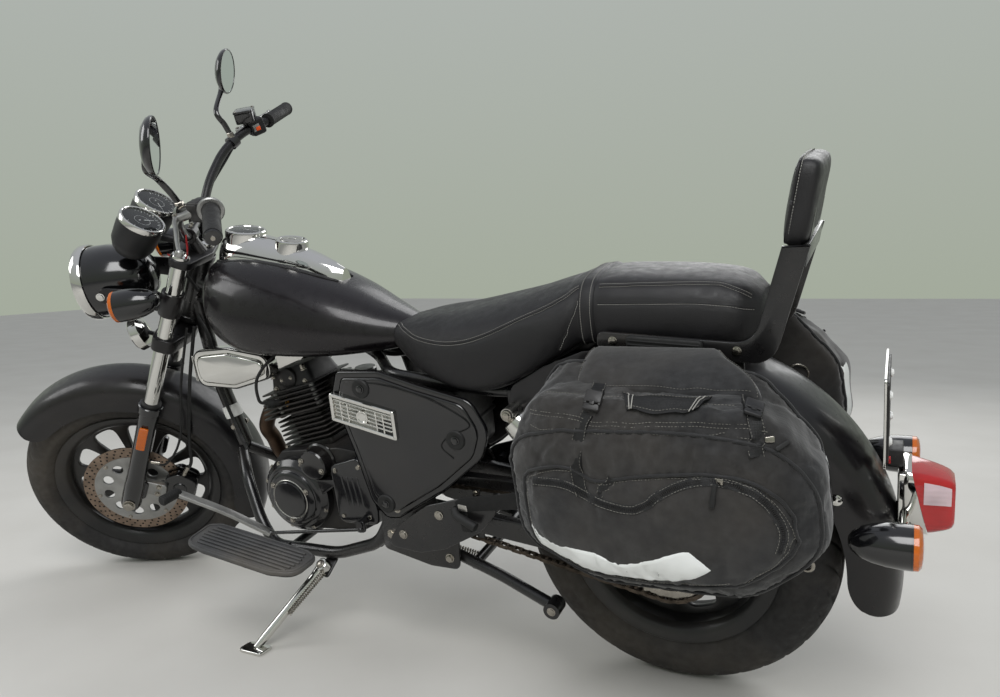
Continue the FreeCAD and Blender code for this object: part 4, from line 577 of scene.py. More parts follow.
def tyre(size):
    # A round crown with slanted grooves sunk along the turn, ribbed sidewalls and beads inside the rim.
    crown = size["width"] / 2
    middle = size["radius"] - crown
    a = np.radians(np.linspace(-90, 90, 71))
    r = middle + crown * np.cos(a) - 1.3 * np.minimum(1, abs(a) / math.radians(8))
    y = crown * np.sin(a)
    t = np.linspace(0, 1, 12)[1:]
    bead = size["rim"] / 2 - 5.3
    wallR = middle + (size["flange"] + 1.5 - middle) * t
    wallY = crown + (bead - crown) * t + 5.0 * np.sin(math.pi * t) + 0.5 * (np.sin(t * 40) > 0.6)
    low = [size["flange"] - 13.7]
    r = np.concatenate([low, wallR[::-1], r, wallR, low])
    y = np.concatenate([[-bead], -wallY[::-1], y, wallY, [bead]])
    theta = np.arange(tread["around"])[:, None] * turnFull / tread["around"]
    phase = (theta * tread["repeat"] / turnFull + abs(y) / tread["slant"] + 0.5 * (y > 0)) % 1
    onFlank = (abs(y) > tread["centreGroove"] + 4) * (abs(y) < crown * 0.86)
    slanted = np.clip(1.6 - abs(phase - 0.5) / 0.075, 0, 1) * onFlank
    ring = np.clip(1.5 - abs(abs(y) - tread["centreGroove"]) / 2.6, 0, 1)
    onCrown = (r > middle + crown * 0.2)
    depth = tread["groove"] * np.maximum(slanted, ring * np.ones_like(theta)) * onCrown
    radius = r - depth * np.cos(np.arcsin(np.clip(y / crown, -1, 1)))
    points = np.stack([radius * np.cos(theta), np.broadcast_to(y, radius.shape), radius * np.sin(theta)],
                      -1)
    return grid(points + np.array(size["axle"]), wrapU=True, wrapV=True)


def castWheel(size, spokes=10):
    # Rim turned from its section, a web of rounded windows, raised rims round them and a stepped hub.
    half, flange = size["rim"] / 2, size["flange"]
    seat, inner = flange - 14, flange - 34
    rim = lathe([(flange - 1, half), (flange, half - 1), (flange, half - 4), (flange - 1, half - 5),
                 (seat, half - 5), (seat, 5 - half), (flange - 1, 5 - half), (flange, 4 - half),
                 (flange, 1 - half), (flange - 1, -half), (seat - 4, 3 - half), (inner + 6, 11 - half),
                 (inner, 20 - half), (inner, half - 20), (inner + 6, half - 11), (seat - 4, half - 3)],
                flats=120, wrap=True)
    web = windowed(34, inner + 2, spokes, 60, inner - 14, -7, 7, span=0.68, power=5, edge=3.5)
    hub = size["hub"]
    steps = [(9.5, hub), (22, hub), (24, hub - 2), (26, hub - 8), (32, hub - 12), (36, 16), (42, 9),
             (42, -9), (36, -16), (32, 12 - hub), (26, 8 - hub), (24, 2 - hub), (22, -hub), (9.5, -hub)]
    core = lathe(steps, flats=60, wrap=True)
    nuts = hexBolts([(50 * math.cos(a), side * 9.5, 50 * math.sin(a)) for side in (1, -1)
                     for a in np.arange(5) * turnFull / 5],
                    [(0, side, 0) for side in (1, -1) for _ in range(5)], 4, 4)
    verts, blocks = join(rim, web, core, nuts)
    return verts + np.array(size["axle"]), blocks


def frontWheelPieces():
    piece("frontTyre", "front_wheel", "tyreRubber", tyre(frontWheel), steered, ["front_tyre"])
    piece("frontRim", "front_wheel", "castBlack", castWheel(frontWheel), steered, ["front_rim"])
    axle = np.array(frontWheel["axle"])
    size = {"outer": 138.0, "inner": 108.0, "low": 58.75, "high": 63.25, "rows": (114, 123, 132),
            "holes": 36}
    y0, y1 = size["low"], size["high"]
    band = lathe([(size["inner"], y0), (size["inner"], y1), (size["outer"] - 0.6, y1),
                  (size["outer"], y1 - 0.6), (size["outer"], y0 + 0.6), (size["outer"] - 0.6, y0)],
                 flats=120, wrap=True)
    piece("brakeBand", "front_wheel", "discSteel", (band[0] + axle, band[1]), steered, ["front_disc"])
    carrier = windowed(31, 108.5, 10, 62, 89, y0 - 0.4, y1 + 0.8, span=0.6, power=2, edge=1)
    foot = lathe([(12, 57.0), (32, 57.0), (32, y1 + 0.8), (12, y1 + 0.8)], flats=48, wrap=True)
    verts, blocks = join(carrier, foot)
    piece("discCarrier", "front_wheel", "castGrey", (verts + axle, blocks), steered)
    count = size["holes"]
    turnsAt = np.concatenate([np.arange(count) * 360 / count + late
                              for late in (0, 3.4, 6.7)]) * math.pi / 180
    radii = np.repeat(size["rows"], count)
    spots = np.stack([radii * np.cos(turnsAt), np.full(3 * count, y1 - 0.2), radii * np.sin(turnsAt)],
                     -1) + axle
    hole = lathe([(0, 0.32), (2.7, 0.32), (2.9, 0.1), (2.9, 0)], axis=(0, 0, 1), flats=14)
    piece("drilledHoles", "front_wheel", "shadow", copies(hole, frames(spots, (0, 1, 0))), steered)
    pins = np.arange(6) * turnFull / 6
    at = np.stack([101 * np.cos(pins), np.full(6, y1 + 0.8), 101 * np.sin(pins)], -1) + axle
    piece("discRivets", "front_wheel", "boltSteel", studs(at, (0, 1, 0), 6, 3.5), steered)


def rearWheelPieces():
    piece("rearTyre", "rear_wheel", "tyreRubber", tyre(rearWheel), hides=["rear_tyre"])
    drum = lathe([(88, -7), (88, -20), (84, -60), (80, -70), (76, -73.5), (30, -73.5), (30, -7)], flats=72,
                 wrap=True)
    ribs = spun(block(40, 82, -74.5, -70, -1.5, 1.5, 1), 18)
    verts, blocks = join(castWheel(rearWheel), moved(join(drum, ribs), shifted(rearWheel["axle"])))
    piece("rearRim", "rear_wheel", "castBlack", (verts, blocks), hides=["rear_rim"])


chain = {"pitch": 15.875, "drive": (625.0, 372.0), "driven": (0.0, 307.5), "driveTeeth": 14,
         "drivenTeeth": 38, "roller": 10.16, "y": 84.0}


def chainRun():
    # Centres and directions of the links: two straight runs and two arcs round the sprockets.
    pitch, drive, driven = chain["pitch"], chain["drive"], chain["driven"]
    small, big = (pitch / (2 * math.sin(math.pi / chain[k])) for k in ("driveTeeth", "drivenTeeth"))
    reach = math.hypot(drive[0], drive[1] - driven[1])
    rise, spread = math.atan2(drive[1] - driven[1], drive[0]), math.acos((big - small) / reach)
    front = np.linspace(rise - spread, rise + spread, 60)
    rear = np.linspace(rise + spread, rise - spread + turnFull, 160)
    loop = np.concatenate([np.stack([drive[0] + small * np.cos(front), drive[1] + small * np.sin(front)],
                                    -1),
                           np.stack([driven[0] + big * np.cos(rear), driven[1] + big * np.sin(rear)], -1)])
    loop = np.insert(np.concatenate([loop, loop[:1]]), 1, chain["y"], axis=1)
    length = np.linalg.norm(np.diff(loop, axis=0), axis=1).sum()
    return alongPath(loop, length / round(length / pitch))


def chainPieces():
    pins = chainRun()[0]
    t = np.arange(28) * turnFull / 28
    figure = np.stack([9.6 * np.cos(t) + 4.6 * np.sign(np.cos(t)) * 0.6,
                       (5.2 + 1.4 * np.cos(2 * t)) * np.sin(t)], -1)
    link = plate(figure, -0.9, 0.9, 0.4, 2, plane="xy")
    nextPin = np.roll(pins, -1, 0)
    middle, along = (pins + nextPin) / 2, unit(nextPin - pins)
    side = np.where(np.arange(len(pins)) % 2, 7.0, 5.0)[:, None] * np.array((0, 1, 0))
    places = np.concatenate([frames(middle + side * s, (0, 1, 0), along) for s in (1, -1)])
    roller = lathe([(4.4, -4), (4.9, -3.4), (4.9, 3.4), (4.4, 4)], axis=(0, 0, 1), flats=16)
    pin = lathe([(0, 7.9), (2.2, 7.9), (2.5, 7.5), (2.5, -7.5), (2.2, -7.9), (0, -7.9)], axis=(0, 0, 1),
                flats=10)
    piece("chainLoop", "frame", "chainSteel", join(copies(link, places),
                                                   copies(join(roller, pin), frames(pins, (0, 1, 0)))),
          hides=["chain"])


frontWheelPieces()
rearWheelPieces()
chainPieces()
print("stage: wheels and chain")


# Fork, bars and lamps

fork = {"half": 105.0, "tubeR": 18.5, "sliderR": 26.5, "sliderTop": 322.0, "lowYoke": 492.0,
        "lowDeep": 36.0, "topYoke": 722.0, "topDeep": 20.0, "offset": 33.0, "stemR": 16.0, "riser": 46}
barPoints = [(1112, 0, 978), (1112, 78, 978), (1090, 150, 1036), (1056, 222, 1082), (1006, 284, 1108),
             (951, 326, 1113), (917, 468, 1107)]
barPath = bent(barPoints, 34)
gripIn, gripOut = np.array(barPoints[-2], float), np.array(barPoints[-1], float)
gripLine = unit(gripOut - gripIn)


def onGrip(share):
    # A point on the grip's centre line, at a share of its length.
    return gripIn + (gripOut - gripIn) * share


def forkPieces():
    y, top = fork["half"], fork["sliderTop"]
    r = fork["sliderR"]
    leg = lathe([(0, -26), (17, -26), (23, -20), (r, -8), (r, 60), (24, 90), (24, 250), (r, 286),
                 (r, top - 24), (30, top - 20), (30, top - 2), (28, top), (19, top), (19, top - 30)],
                (0, y, 0), (0, 0, 1), 40)
    lug = plate(softCorners([(-34, 12, 14), (-34, 64, 10), (0, 78, 8), (0, 0, 8)]), y - 12, y + 2, 2)
    arch = rod((0, y - 20, 268), (0, 72, 272), 9)
    axle = rod((0, -y - 32, 0), (0, y + 32, 0), 9)
    cap = lathe([(0, 6), (9, 6), (12, 4), (12, 0)], (0, y + 27, 0), (0, 1, 0), 24)
    piece("forkSliders", "steering", "gloss", both(join(leg, lug, arch)), onFork, ["fork_sliders"])
    spacers = join(rod((0, 66, 0), (0, y - 20, 0), 13), rod((0, -58.9, 0), (0, 20 - y, 0), 13))
    nut = hexBolts([(0, y + 26, 0), (0, -y - 26, 0)], [(0, 1, 0), (0, -1, 0)], 13, 9)
    piece("frontAxle", "steering", "boltSteel", join(axle, both(cap), spacers, nut), onFork)
    stanchion = lathe([(fork["tubeR"] - 1, 62), (fork["tubeR"], 63), (fork["tubeR"], 744), (16, 748),
                       (0, 748)], (0, y, 0), (0, 0, 1), 40)
    piece("forkTubes", "steering", "chrome", both(stanchion), onFork, ["fork_tubes"])
    seal = lathe([(18.6, top), (24, top), (24, top + 5), (21, top + 9), (18.6, top + 9)], (0, y, 0),
                 (0, 0, 1), 32)
    piece("forkSeals", "steering", "softRubber", both(seal), onFork)
    reflector = plate(rectangle(-11, 11, 196, 264, 4), y + 26, y + 33, 1.5)
    piece("forkReflectors", "steering", "amber", both(reflector), onFork)


def yokeOutline(extra):
    # The triple clamp seen from above, its lobes drawn round both fork legs.
    y, back = fork["half"] + extra, -fork["offset"] - 26
    return softCorners([(extra, y, 22), (extra - 4, 0, 60), (extra, -y, 22), (-extra, -y, 22),
                        (back, -34, 22), (back, 34, 22), (-extra, y, 22)], 7)


def yokePieces():
    low, deep = fork["lowYoke"], fork["lowDeep"]
    lower = plate(yokeOutline(26), low, low + deep, 4, 5, plane="xy")
    upper = plate(yokeOutline(24), fork["topYoke"], fork["topYoke"] + fork["topDeep"], 3.5, 5, plane="xy")
    back = -fork["offset"]
    stem = rod((back, 0, low + 4), (back, 0, fork["topYoke"]), fork["stemR"], 32)
    lug = block(-2, 11, 9.3, 21, low + deep - 4, low + deep + 14, 2)
    lugs = [moved(s, turnMatrix((0, 0, 1), t, (back, 0, 0))) for s, t in ((lug, 32), (mirror(lug), -32))]
    pinch = [rod((28, s * (fork["half"] - 16), low + deep / 2),
                 (22, s * (fork["half"] - 16), low + deep / 2), 8) for s in (1, -1)]
    piece("yokePlates", "steering", "satin", join(lower, upper, stem, *lugs, *pinch), onFork, ["yokes"])
    feet = []
    for side in (1, -1):
        foot = (forkPlace @ np.array((-fork["offset"], side * fork["riser"], 740, 1)))[:3]
        seat = np.array((1112, side * fork["riser"], 978.0))
        feet.append(swept([foot, foot + (seat - foot) * 0.6, seat], circle(14, 28), (0, 1, 0),
                          swell=[1.15, 0.9, 1.05]))
        feet.append(lathe([(19, -15), (20, -14), (20, 14), (19, 15), (11.2, 15), (11.2, -15)], seat,
                          (0, 1, 0), 32, wrap=True))
    piece("barRisers", "steering", "satin", join(*feet), steered)
    tops = [(0, s * fork["half"], 742) for s in (1, -1)] + [(back, 0, 742)]
    cap = lathe([(0, 11), (9, 11), (13, 8), (19, 7), (21, 3), (21, 0)], axis=(0, 0, 1), flats=36)
    piece("yokeCaps", "steering", "chrome", copies(cap, frames(tops, (0, 0, 1))), onFork)
    pinchBolts = [(1112 + dx, s * fork["riser"] + dy, 997) for s in (1, -1) for dx in (-11, 11)
                  for dy in (-7, 7)]
    piece("riserBolts", "steering", "boltSteel", hexBolts(pinchBolts, (0, 0, 1), 4, 5), steered)


def barPieces():
    half = np.concatenate([barPath[:-1], [onGrip(0.9)]])
    whole = np.concatenate([(half * (1, -1, 1))[::-1], half[1:]])
    size = {"bar": 11, "grip": 16.2}
    barTube = swept(whole, circle(size["bar"], 24), (1, 0, 0.3))
    piece("handlebarTube", "steering", "satin", barTube, steered, ["handlebar"])
    t = np.linspace(0.06, 0.97, 90)
    bulge = size["grip"] + 0.8 * np.cos(t * 60) ** 2 + 1.6 * (t < 0.1) + 0.6 * (t > 0.92)
    path = gripIn + (gripOut - gripIn) * t[:, None]
    grip = swept(path, circle(1, 36), (0, 0, 1), swell=bulge)
    piece("gripRubbers", "steering", "softRubber", both(grip), steered, ["grips"])
    end = lathe([(0, 5), (7, 5), (14, 3), (16, 0), (16, -3), (0, -3)], onGrip(0.985), gripLine, 32)
    screw = lathe([(0, 6.6), (4.2, 6.6), (5, 5)], onGrip(0.985), gripLine, 20)
    piece("barEnds", "steering", "gloss", both(end), steered)
    piece("barEndScrews", "steering", "boltSteel", both(screw), steered)


def controlPieces():
    size = {"housingAt": 0.54, "perchAt": 0.45, "pivot": (44, 12, -6), "tip": (-6, 190, -12), "collar": 19,
            "cable": 3.6}
    a, b = np.array(barPoints[-3], float), gripIn
    line = unit(b - a)
    across = unit(np.cross(line, (0, 0, 1)))
    rise = np.cross(across, line)
    place = np.eye(4)
    place[:3, :3], place[:3, 3] = np.column_stack([line, across, rise]), a + (b - a) * size["housingAt"]
    shape = rectangle(-20, 20, -21, 21, 9, 6)
    house = moved(plate(shape, -17, 17, 5, 6), place)
    lid = moved(plate(inset(shape, 4), 16, 20, 2, 4), place)
    half = moved(plate(inset(shape, -0.8), -1.2, 1.2, 0.4, 2), place)
    perch = a + (b - a) * size["perchAt"]
    pivot = perch + size["pivot"]
    collar = swept([perch - line * 9, perch + line * 9], circle(size["collar"], 28), (0, 0, 1))
    arm = swept([perch + (14, 6, -2), perch + (30, 9, -4), pivot + (4, 0, 0)], circle(9, 20), (0, 0, 1),
                swell=[1.1, 0.85, 1])
    piece("switchHousings", "steering", "plastic", both(join(house, lid, half)), steered, ["hand_controls"])
    piece("leverPerches", "steering", "castGrey", both(join(collar, arm)), steered)
    ring = lathe([(11.5, -7), (23, -7), (26, -4), (26, 0), (24, 2), (11.5, 2)], onGrip(0.03), gripLine, 48)
    piece("gripCollar", "steering", "castGrey", ring, steered)
    tip = perch + size["tip"]
    run = eased([pivot, perch + (40, 40, -7), perch + (28, 78, -8), perch + (12, 134, -10), tip], 26)
    blade = swept(run, circle(5.2, 16) * (1.25, 0.8), (0, 0, 1), swell=np.linspace(1.25, 0.85, 26))
    ball = lathe([(0, -8), (4.5, -6.8), (7.2, -3.6), (8, 0), (7.2, 3.6), (4.5, 6.8), (0, 8)], tip,
                 (0, 0, 1), 24)
    piece("handLevers", "steering", "castGrey", both(join(blade, ball)), steered)
    pivots = studs([pivot + (0, 0, 8)], (0, 0, 1), 6, 3)
    piece("leverPivots", "steering", "boltSteel", both(pivots), steered)
    x, y, z = perch * (1, -1, 1)
    tank = plate(rectangle(x - 14, x + 34, y - 14, y + 32, 7), z + 18, z + 44, 2.5, plane="xy")
    lidTop = plate(rectangle(x - 15, x + 35, y - 15, y + 33, 7), z + 44, z + 50, 1.5, plane="xy")
    neck = rod((x + 16, y + 2, z), (x + 16, y + 6, z + 20), 8)
    piece("brakeReservoir", "steering", "gloss", join(tank, lidTop, neck), steered)
    screws = studs([(x - 9, y - 9, z + 50), (x + 29, y + 27, z + 50)], (0, 0, 1), 3.5, 1.5)
    piece("reservoirScrews", "steering", "boltSteel", screws, steered)
    button = moved(block(-9, 3, -20.5, -17, -8, 2, 1.2), place)
    piece("startSwitch", "steering", "orange", mirror(button), steered)
    rocker = moved(join(block(-12, -2, -20.5, -17, 4, 12, 1), block(2, 12, -20, -17, -10, -2, 1)), place)
    piece("lampSwitches", "steering", "gloss", rocker, steered)
    wire = eased([(1090, 128, 1004), (1104, 118, 962), (1124, 96, 936), (1150, 70, 930), (1180, 40, 936)],
                 40)
    piece("redWire", "steering", "redWire", swept(wire, circle(2.0, 10), (1, 0, 0)), steered)
    for name, onRight in (("clutchCable", False), ("throttleCable", True)):
        run = eased([pivot - (6, 10, 4), (1056, 250, 1060), (1110, 150, 1000), (1140, 96, 930),
                     (1136, 60, 840)], 60)
        cable = swept(run, circle(size["cable"], 12), (1, 0, 0))
        piece(name, "steering", "softRubber", mirror(cable) if onRight else cable, steered)


def mirrorPieces():
    size = {"radius": 55.0, "head": (1020, 330, 1254), "axis": (0.96, 0.12, 0.24)}
    a, b = np.array(barPoints[3], float), np.array(barPoints[4], float)
    root = a + (b - a) * 0.5
    line = unit(b - a)
    clamp = swept([root - line * 10, root + line * 10], circle(17, 28), (0, 0, 1))
    head = np.array(size["head"], float)
    stem = swept(eased([root + (0, 0, 13), root + (8, 4, 44), root + (20, 12, 78), head + (20, 0, -44),
                        head + (10, 0, -14)], 34), circle(1, 20) * (7.2, 4.4), (1, 0, 0))
    nut = hexBolts([root + (0, 0, 12)], (0.1, 0.05, 1), 9, 12)
    r = size["radius"]
    shell = lathe([(0, 13), (r - 34, 12), (r - 16, 8), (r - 4, 0), (r, -7), (r, -11), (r - 1.5, -12.5),
                   (r - 3.5, -12.5), (r - 4, -11), (0, -11)], head, size["axis"], 56)
    glass = lathe([(0, -11.4), (r - 4.2, -11.4)], head, size["axis"], 56)
    piece("mirrorShells", "steering", "gloss", both(join(clamp, stem, shell)), steered, ["mirrors"])
    piece("mirrorNuts", "steering", "boltSteel", both(nut), steered)
    piece("mirrorGlasses", "steering", "mirrorGlass", both(glass), steered)


def gaugePieces():
    size = {"radius": 52.0, "deep": 95.0, "face": (1195, 59, 1037), "tip": 41, "ticks": 27, "needle": 228}
    tip = math.radians(size["tip"])
    axis = np.array((-math.sin(tip), 0, math.cos(tip)))
    face, r = np.array(size["face"], float), size["radius"]
    deep = size["deep"]
    cup = lathe([(0, -deep), (22, -deep), (32, 2 - deep), (40, 11 - deep), (r - 4, -66), (r - 1, -30),
                 (r - 1, -12), (0, -12)], face, axis, 64)
    bezel = lathe([(r - 1, -14), (r, -13), (r, -3), (r - 1.5, -0.6), (r - 4, 0), (r - 6, -0.8),
                   (r - 6.5, -4), (r - 6.5, -13)], face, axis, 64, wrap=True)
    dial = lathe([(0, -9), (r - 6, -9)], face, axis, 48)
    pane = lathe([(0, -1.6), (r * 0.6, -2.0), (r - 6.2, -3)], face, axis, 48)
    foot = (forkPlace @ np.array((25.3, 0, 732, 1)))[:3]
    bridge = join(rod((1226, -30, 980), (1226, 30, 980), 9), rod(foot, (1226, 0, 980), 9))
    piece("gaugeCups", "steering", "plastic", join(both(cup), bridge), steered, ["gauges"])
    piece("gaugeBezels", "steering", "chrome", both(bezel), steered)
    piece("gaugeDials", "steering", "dial", both(dial), steered)
    piece("gaugePanes", "steering", "glass", both(pane), steered)
    place = frames([face + axis * -8.8], axis, (1, 0, 0.3))[0]
    turns = np.radians(np.linspace(-130, 130, size["ticks"]) + 180)
    long = np.arange(size["ticks"]) % 3 == 0
    tick = block(0, 1, -0.1, 0.1, -0.5, 0.5, 0.05)
    ticks = []
    for k, angle in enumerate(turns):
        reach = 8.0 if long[k] else 4.5
        mark = tick[0] * (reach, 1, 1.6 if long[k] else 1.0) + (r - 10 - reach, 0, 0)
        mark = mark[:, [0, 2, 1]]
        c, s = math.cos(angle), math.sin(angle)
        turn = np.array([[c, -s, 0], [s, c, 0], [0, 0, 1]])
        ticks.append((mark @ turn.T, tick[1]))
    inner = lathe([(17, 0.1), (17.8, 0.1)], axis=(0, 0, 1), flats=48)
    needle = plate([(-9, -1.6), (-9, 1.6), (30, 0.5), (30, -0.5)], 1.2, 2.2, 0.3, 2, plane="xy")
    needle = moved(needle, turnMatrix((0, 0, 1), size["needle"]))
    hub = lathe([(0, 3.6), (4, 3.4), (5, 1)], axis=(0, 0, 1), flats=24)
    marks = moved(join(*ticks, inner, needle), place)
    piece("dialMarks", "steering", "whiteMark", both(marks), steered)
    piece("needleHubs", "steering", "plastic", both(moved(hub, place)), steered)


def lampPieces():
    size = {"radius": 92.0, "deep": 168, "face": (1405.0, 0, 885.0)}
    r, deep, centre = size["radius"], size["deep"], np.array(size["face"], float)
    bowl = lathe([(0, -deep), (18, 1 - deep), (44, 10 - deep), (62, -136), (75, -108), (84, -70), (86, -40),
                  (86, -22), (0, -22)], centre, (1, 0, 0), 72)
    rim = lathe([(r - 4, -24), (r - 2, -24), (r, -20), (r, -6), (r - 3, 0), (r - 8, 2), (r - 12, 0),
                 (r - 13, -6)], centre, (1, 0, 0), 84)
    reflector = lathe([(10, -20), (30, -18), (56, -12), (r - 13, -3)], centre, (1, 0, 0), 60)
    lens = lathe([(0, 13), (30, 11.6), (56, 7), (r - 16, 1.5), (r - 12.5, -1.5)], centre, (1, 0, 0), 72)
    bulb = lathe([(0, -2), (8, -4), (11, -10), (8, -20)], centre, (1, 0, 0), 32)
    piece("headlampBowl", "steering", "gloss", bowl, steered, ["headlamp_shell"])
    piece("headlampRim", "steering", "chrome", rim, steered, ["headlamp_lens"])
    piece("headlampReflector", "steering", "mirrorGlass", join(reflector, bulb), steered)
    piece("headlampGlass", "steering", "clearLens", lens, steered)
    clamp = lathe([(20, 590), (25.5, 590), (26.5, 592), (26.5, 648), (25.5, 650), (20, 650)],
                  (0, fork["half"], 0), (0, 0, 1), 36)
    piece("lampClamps", "steering", "satin", both(clamp), onFork)
    ear = plate(softCorners([(1195, 850, 8), (1212, 872, 14), (1340, 906, 18), (1354, 870, 18),
                             (1225, 822, 14)]), 93, 99, 1.5)
    stub = rod((1218, 97, 868), (1222, 155, 880), 8)
    piece("lampEars", "steering", "satin", both(join(ear, stub)), steered)
    piece("lampBolts", "steering", "chrome", both(join(studs([(1343, 99, 885)], (0, 1, 0), 10, 6),
                                                       rod((1343, 80, 885), (1343, 99, 885), 8))), steered)
    blinkers("front", blinker["front"], (1, 0, 0), "steering", steered)


blinker = {"radius": 36.0, "deep": 91.0, "front": (1270, 181, 888), "rear": (-412, 181, 437)}


def blinkers(side, centre, axis, body, place):
    # A bullet-shaped body whose open end holds a ribbed amber lens with a dark rim.
    r, deep = blinker["radius"], blinker["deep"]
    shell = lathe([(0, -deep), (8, -deep + 1), (16, -deep + 6), (25, -72), (31, -56), (r - 1, -36),
                   (r, -20), (r, -0.6), (0, -0.6)], centre, axis, 48)
    lens = lathe([(r - 0.8, 0), (r - 0.4, 2), (r - 0.8, 9), (r - 6, 13.4), (r - 18, 15.6), (0, 16)], centre,
                 axis, 48)
    rim = lathe([(r - 1, -2), (r, -1), (r, 1.6), (r - 1, 2.2)], centre, axis, 48)
    piece(side + "BlinkerShells", body, "gloss", both(shell), place, [side + "_indicators"])
    piece(side + "BlinkerLenses", body, "amber", both(lens), place, [side + "_indicator_lenses"])
    piece(side + "BlinkerRims", body, "gloss", both(rim), place)


def hornPieces():
    size = {"centre": (1322, 62, 756.0), "axis": (0.97, 0.1, -0.2)}
    centre, axis = np.array(size["centre"]), unit(size["axis"])
    shell = lathe([(0, -2), (10, -2), (12, 0), (20, 0), (22, -3), (34, -4), (38, -2), (42, -6), (42, -12),
                   (40, -25), (22, -33), (0, -34)], centre, axis, 60)
    piece("hornShell", "steering", "chrome", shell, steered, ["horn"])
    start = (forkPlace @ np.array((26, 60, 510, 1)))[:3]
    strap = swept(eased([start, (1276, 62, 752), (1294, 62, 762)], 10), circle(1, 12) * (9, 3), (0, 1, 0))
    piece("hornStrap", "steering", "satin", strap, steered)


def fenderShell(radius, half, rim, start, sweep, thick=4.0):
    # A channel turned round the wheel: skirts, a soft shoulder and a crown. At each end the rim
    # rises along a quarter of an ellipse, so that the lower corner is round.
    outer = [(rim, half - 1), (rim - 1.5, half), (rim + 6, half)]
    t = np.linspace(0, math.pi / 2, 14)
    outer += [(radius - 62 + 62 * math.sin(a) ** 0.9, half * math.cos(a) ** 0.62) for a in t[:-1]]
    outer = np.array(outer + [(radius, 0)])
    full = np.concatenate([outer, (outer * (1, -1))[::-1][1:]])
    inner = full * (1, (half - thick) / half) - (thick, 0) * (full[:, :1] > rim + 8)
    profile = np.concatenate([full, inner[::-1]])
    end, rise = 10, 38
    part = np.concatenate([np.linspace(0, end, 20)[:-1], np.linspace(end, sweep - end, 80),
                           np.linspace(sweep - end, sweep, 20)[1:]])
    near = np.clip(1 - np.minimum(part, sweep - part) / end, 0, 1)[:, None]
    lift = rise * (1 - np.sqrt(1 - near ** 2))
    reach = profile[:, 0] + lift * ((radius - profile[:, 0]) / (radius - rim)) ** 2
    angle = np.radians(start + part)[:, None]
    points = np.stack([reach * np.cos(angle), np.broadcast_to(profile[:, 1], reach.shape),
                       reach * np.sin(angle)], -1)
    return capped(points)


def frontFenderPieces():
    size = {"radius": 343.0, "half": 72.0, "rim": 262.0, "start": 47.0, "sweep": 164.0}
    shell = moved(fenderShell(**size), shifted(frontWheel["axle"]))
    piece("frontFender", "steering", "satin", shell, steered, ["front_fender"])
    lug = block(-14, 14, 70, 79, 252, 288, 2)
    bolts = hexBolts([(s, 72.5, 304) for s in (-14, 14)], (0, 1, 0), 6, 5)
    piece("fenderLugs", "steering", "satin", both(lug), onFork)
    piece("fenderBolts", "steering", "boltSteel", both(bolts), onFork)


def caliperPieces():
    y = 61.0  # the disc's middle plane
    body = softCorners([(-152, 18, 18), (-150, 92, 22), (-96, 104, 18), (-70, 84, 14), (-70, 22, 14)], 6)
    outer = plate(body, y + 6, y + 30, 4, 5)
    inner = plate(body, y - 24, y - 6, 4, 5)
    bridge = plate(softCorners([(-153, 22, 8), (-151, 90, 12), (-143, 92, 3), (-143, 22, 3)]), y - 10,
                   y + 10, 2)
    piston = lathe([(0, 4), (14, 4), (17, 2), (18, 0), (18, -4)], (-112, y + 30, 60), (0, 1, 0), 36)
    piece("caliperBody", "steering", "gloss", join(outer, inner, bridge, piston), onFork, ["front_caliper"])
    bracket = plate(softCorners([(-80, 26, 8), (-80, 66, 8), (-12, 66, 4), (-12, 26, 4)]), y + 22, 101, 2)
    bolts = hexBolts([(-60, y + 40, 34), (-60, y + 40, 58)], (0, 1, 0), 6, 5)
    piece("caliperBracket", "steering", "castGrey", bracket, onFork)
    union = rod((-111.2, 80, 92.4), (-115, 80, 111), 7)
    piece("caliperBolts", "steering", "boltSteel", join(bolts, union), onFork)
    brake = eased([(-115, 80, 111), (-123, 80.5, 150), (-104, 82, 230), (-76, 84, 400), (-58, 84, 560)], 60)
    cable = eased([(-26, 105, 140), (-66, 105, 146), (-84, 96, 230), (-58, 97, 400), (-44, 98, 560)], 60)
    hoses = join(swept(brake, circle(4.4, 14), (0, 1, 0)), swept(cable, circle(3.2, 14), (0, 1, 0)))
    piece("forkHoses", "steering", "softRubber", hoses, onFork, ["fork_hoses"])
    sleeve = join(rod((-114, 80, 108), (-119, 80.2, 132), 6), rod((-28, 105, 140), (-50, 105, 143), 5))
    piece("hoseSleeves", "steering", "boltSteel", sleeve, onFork)


forkPieces()
yokePieces()
barPieces()
controlPieces()
mirrorPieces()
gaugePieces()
lampPieces()
hornPieces()
frontFenderPieces()
caliperPieces()
print("stage: front end")


# Fabric

seatCloth = {"pressure": 3.0, "slack": 0.0, "cap": 5.0, "voxel": 6.0}
padCloth = {"pressure": 3.0, "slack": 0.0, "cap": 4.0, "voxel": 5.0}
bagCloth = {"pressure": 4.0, "slack": 0.035, "cap": 9.0, "voxel": 5.0}
seatThread = {"pitch": 4.6, "length": 3.4, "width": 0.45}
bagThread = {"pitch": 5.2, "length": 3.8, "width": 0.5}
webThread = {"pitch": 5.2, "length": 3.6, "width": 0.4}
clothStiffness = {"tension": 22, "shear": 8, "bending": 0.35, "mass": 0.3, "quality": 6}


def tempMesh(surface):
    # A helper object in metres for the cloth run.
    verts, blocks = surface
    mesh = bpy.data.meshes.new("cloth")
    mesh.from_pydata((verts * 0.001).tolist(), [], [f for block in blocks for f in block.tolist()])
    made = bpy.data.objects.new("cloth", mesh)
    bpy.context.scene.collection.objects.link(made)
    return made


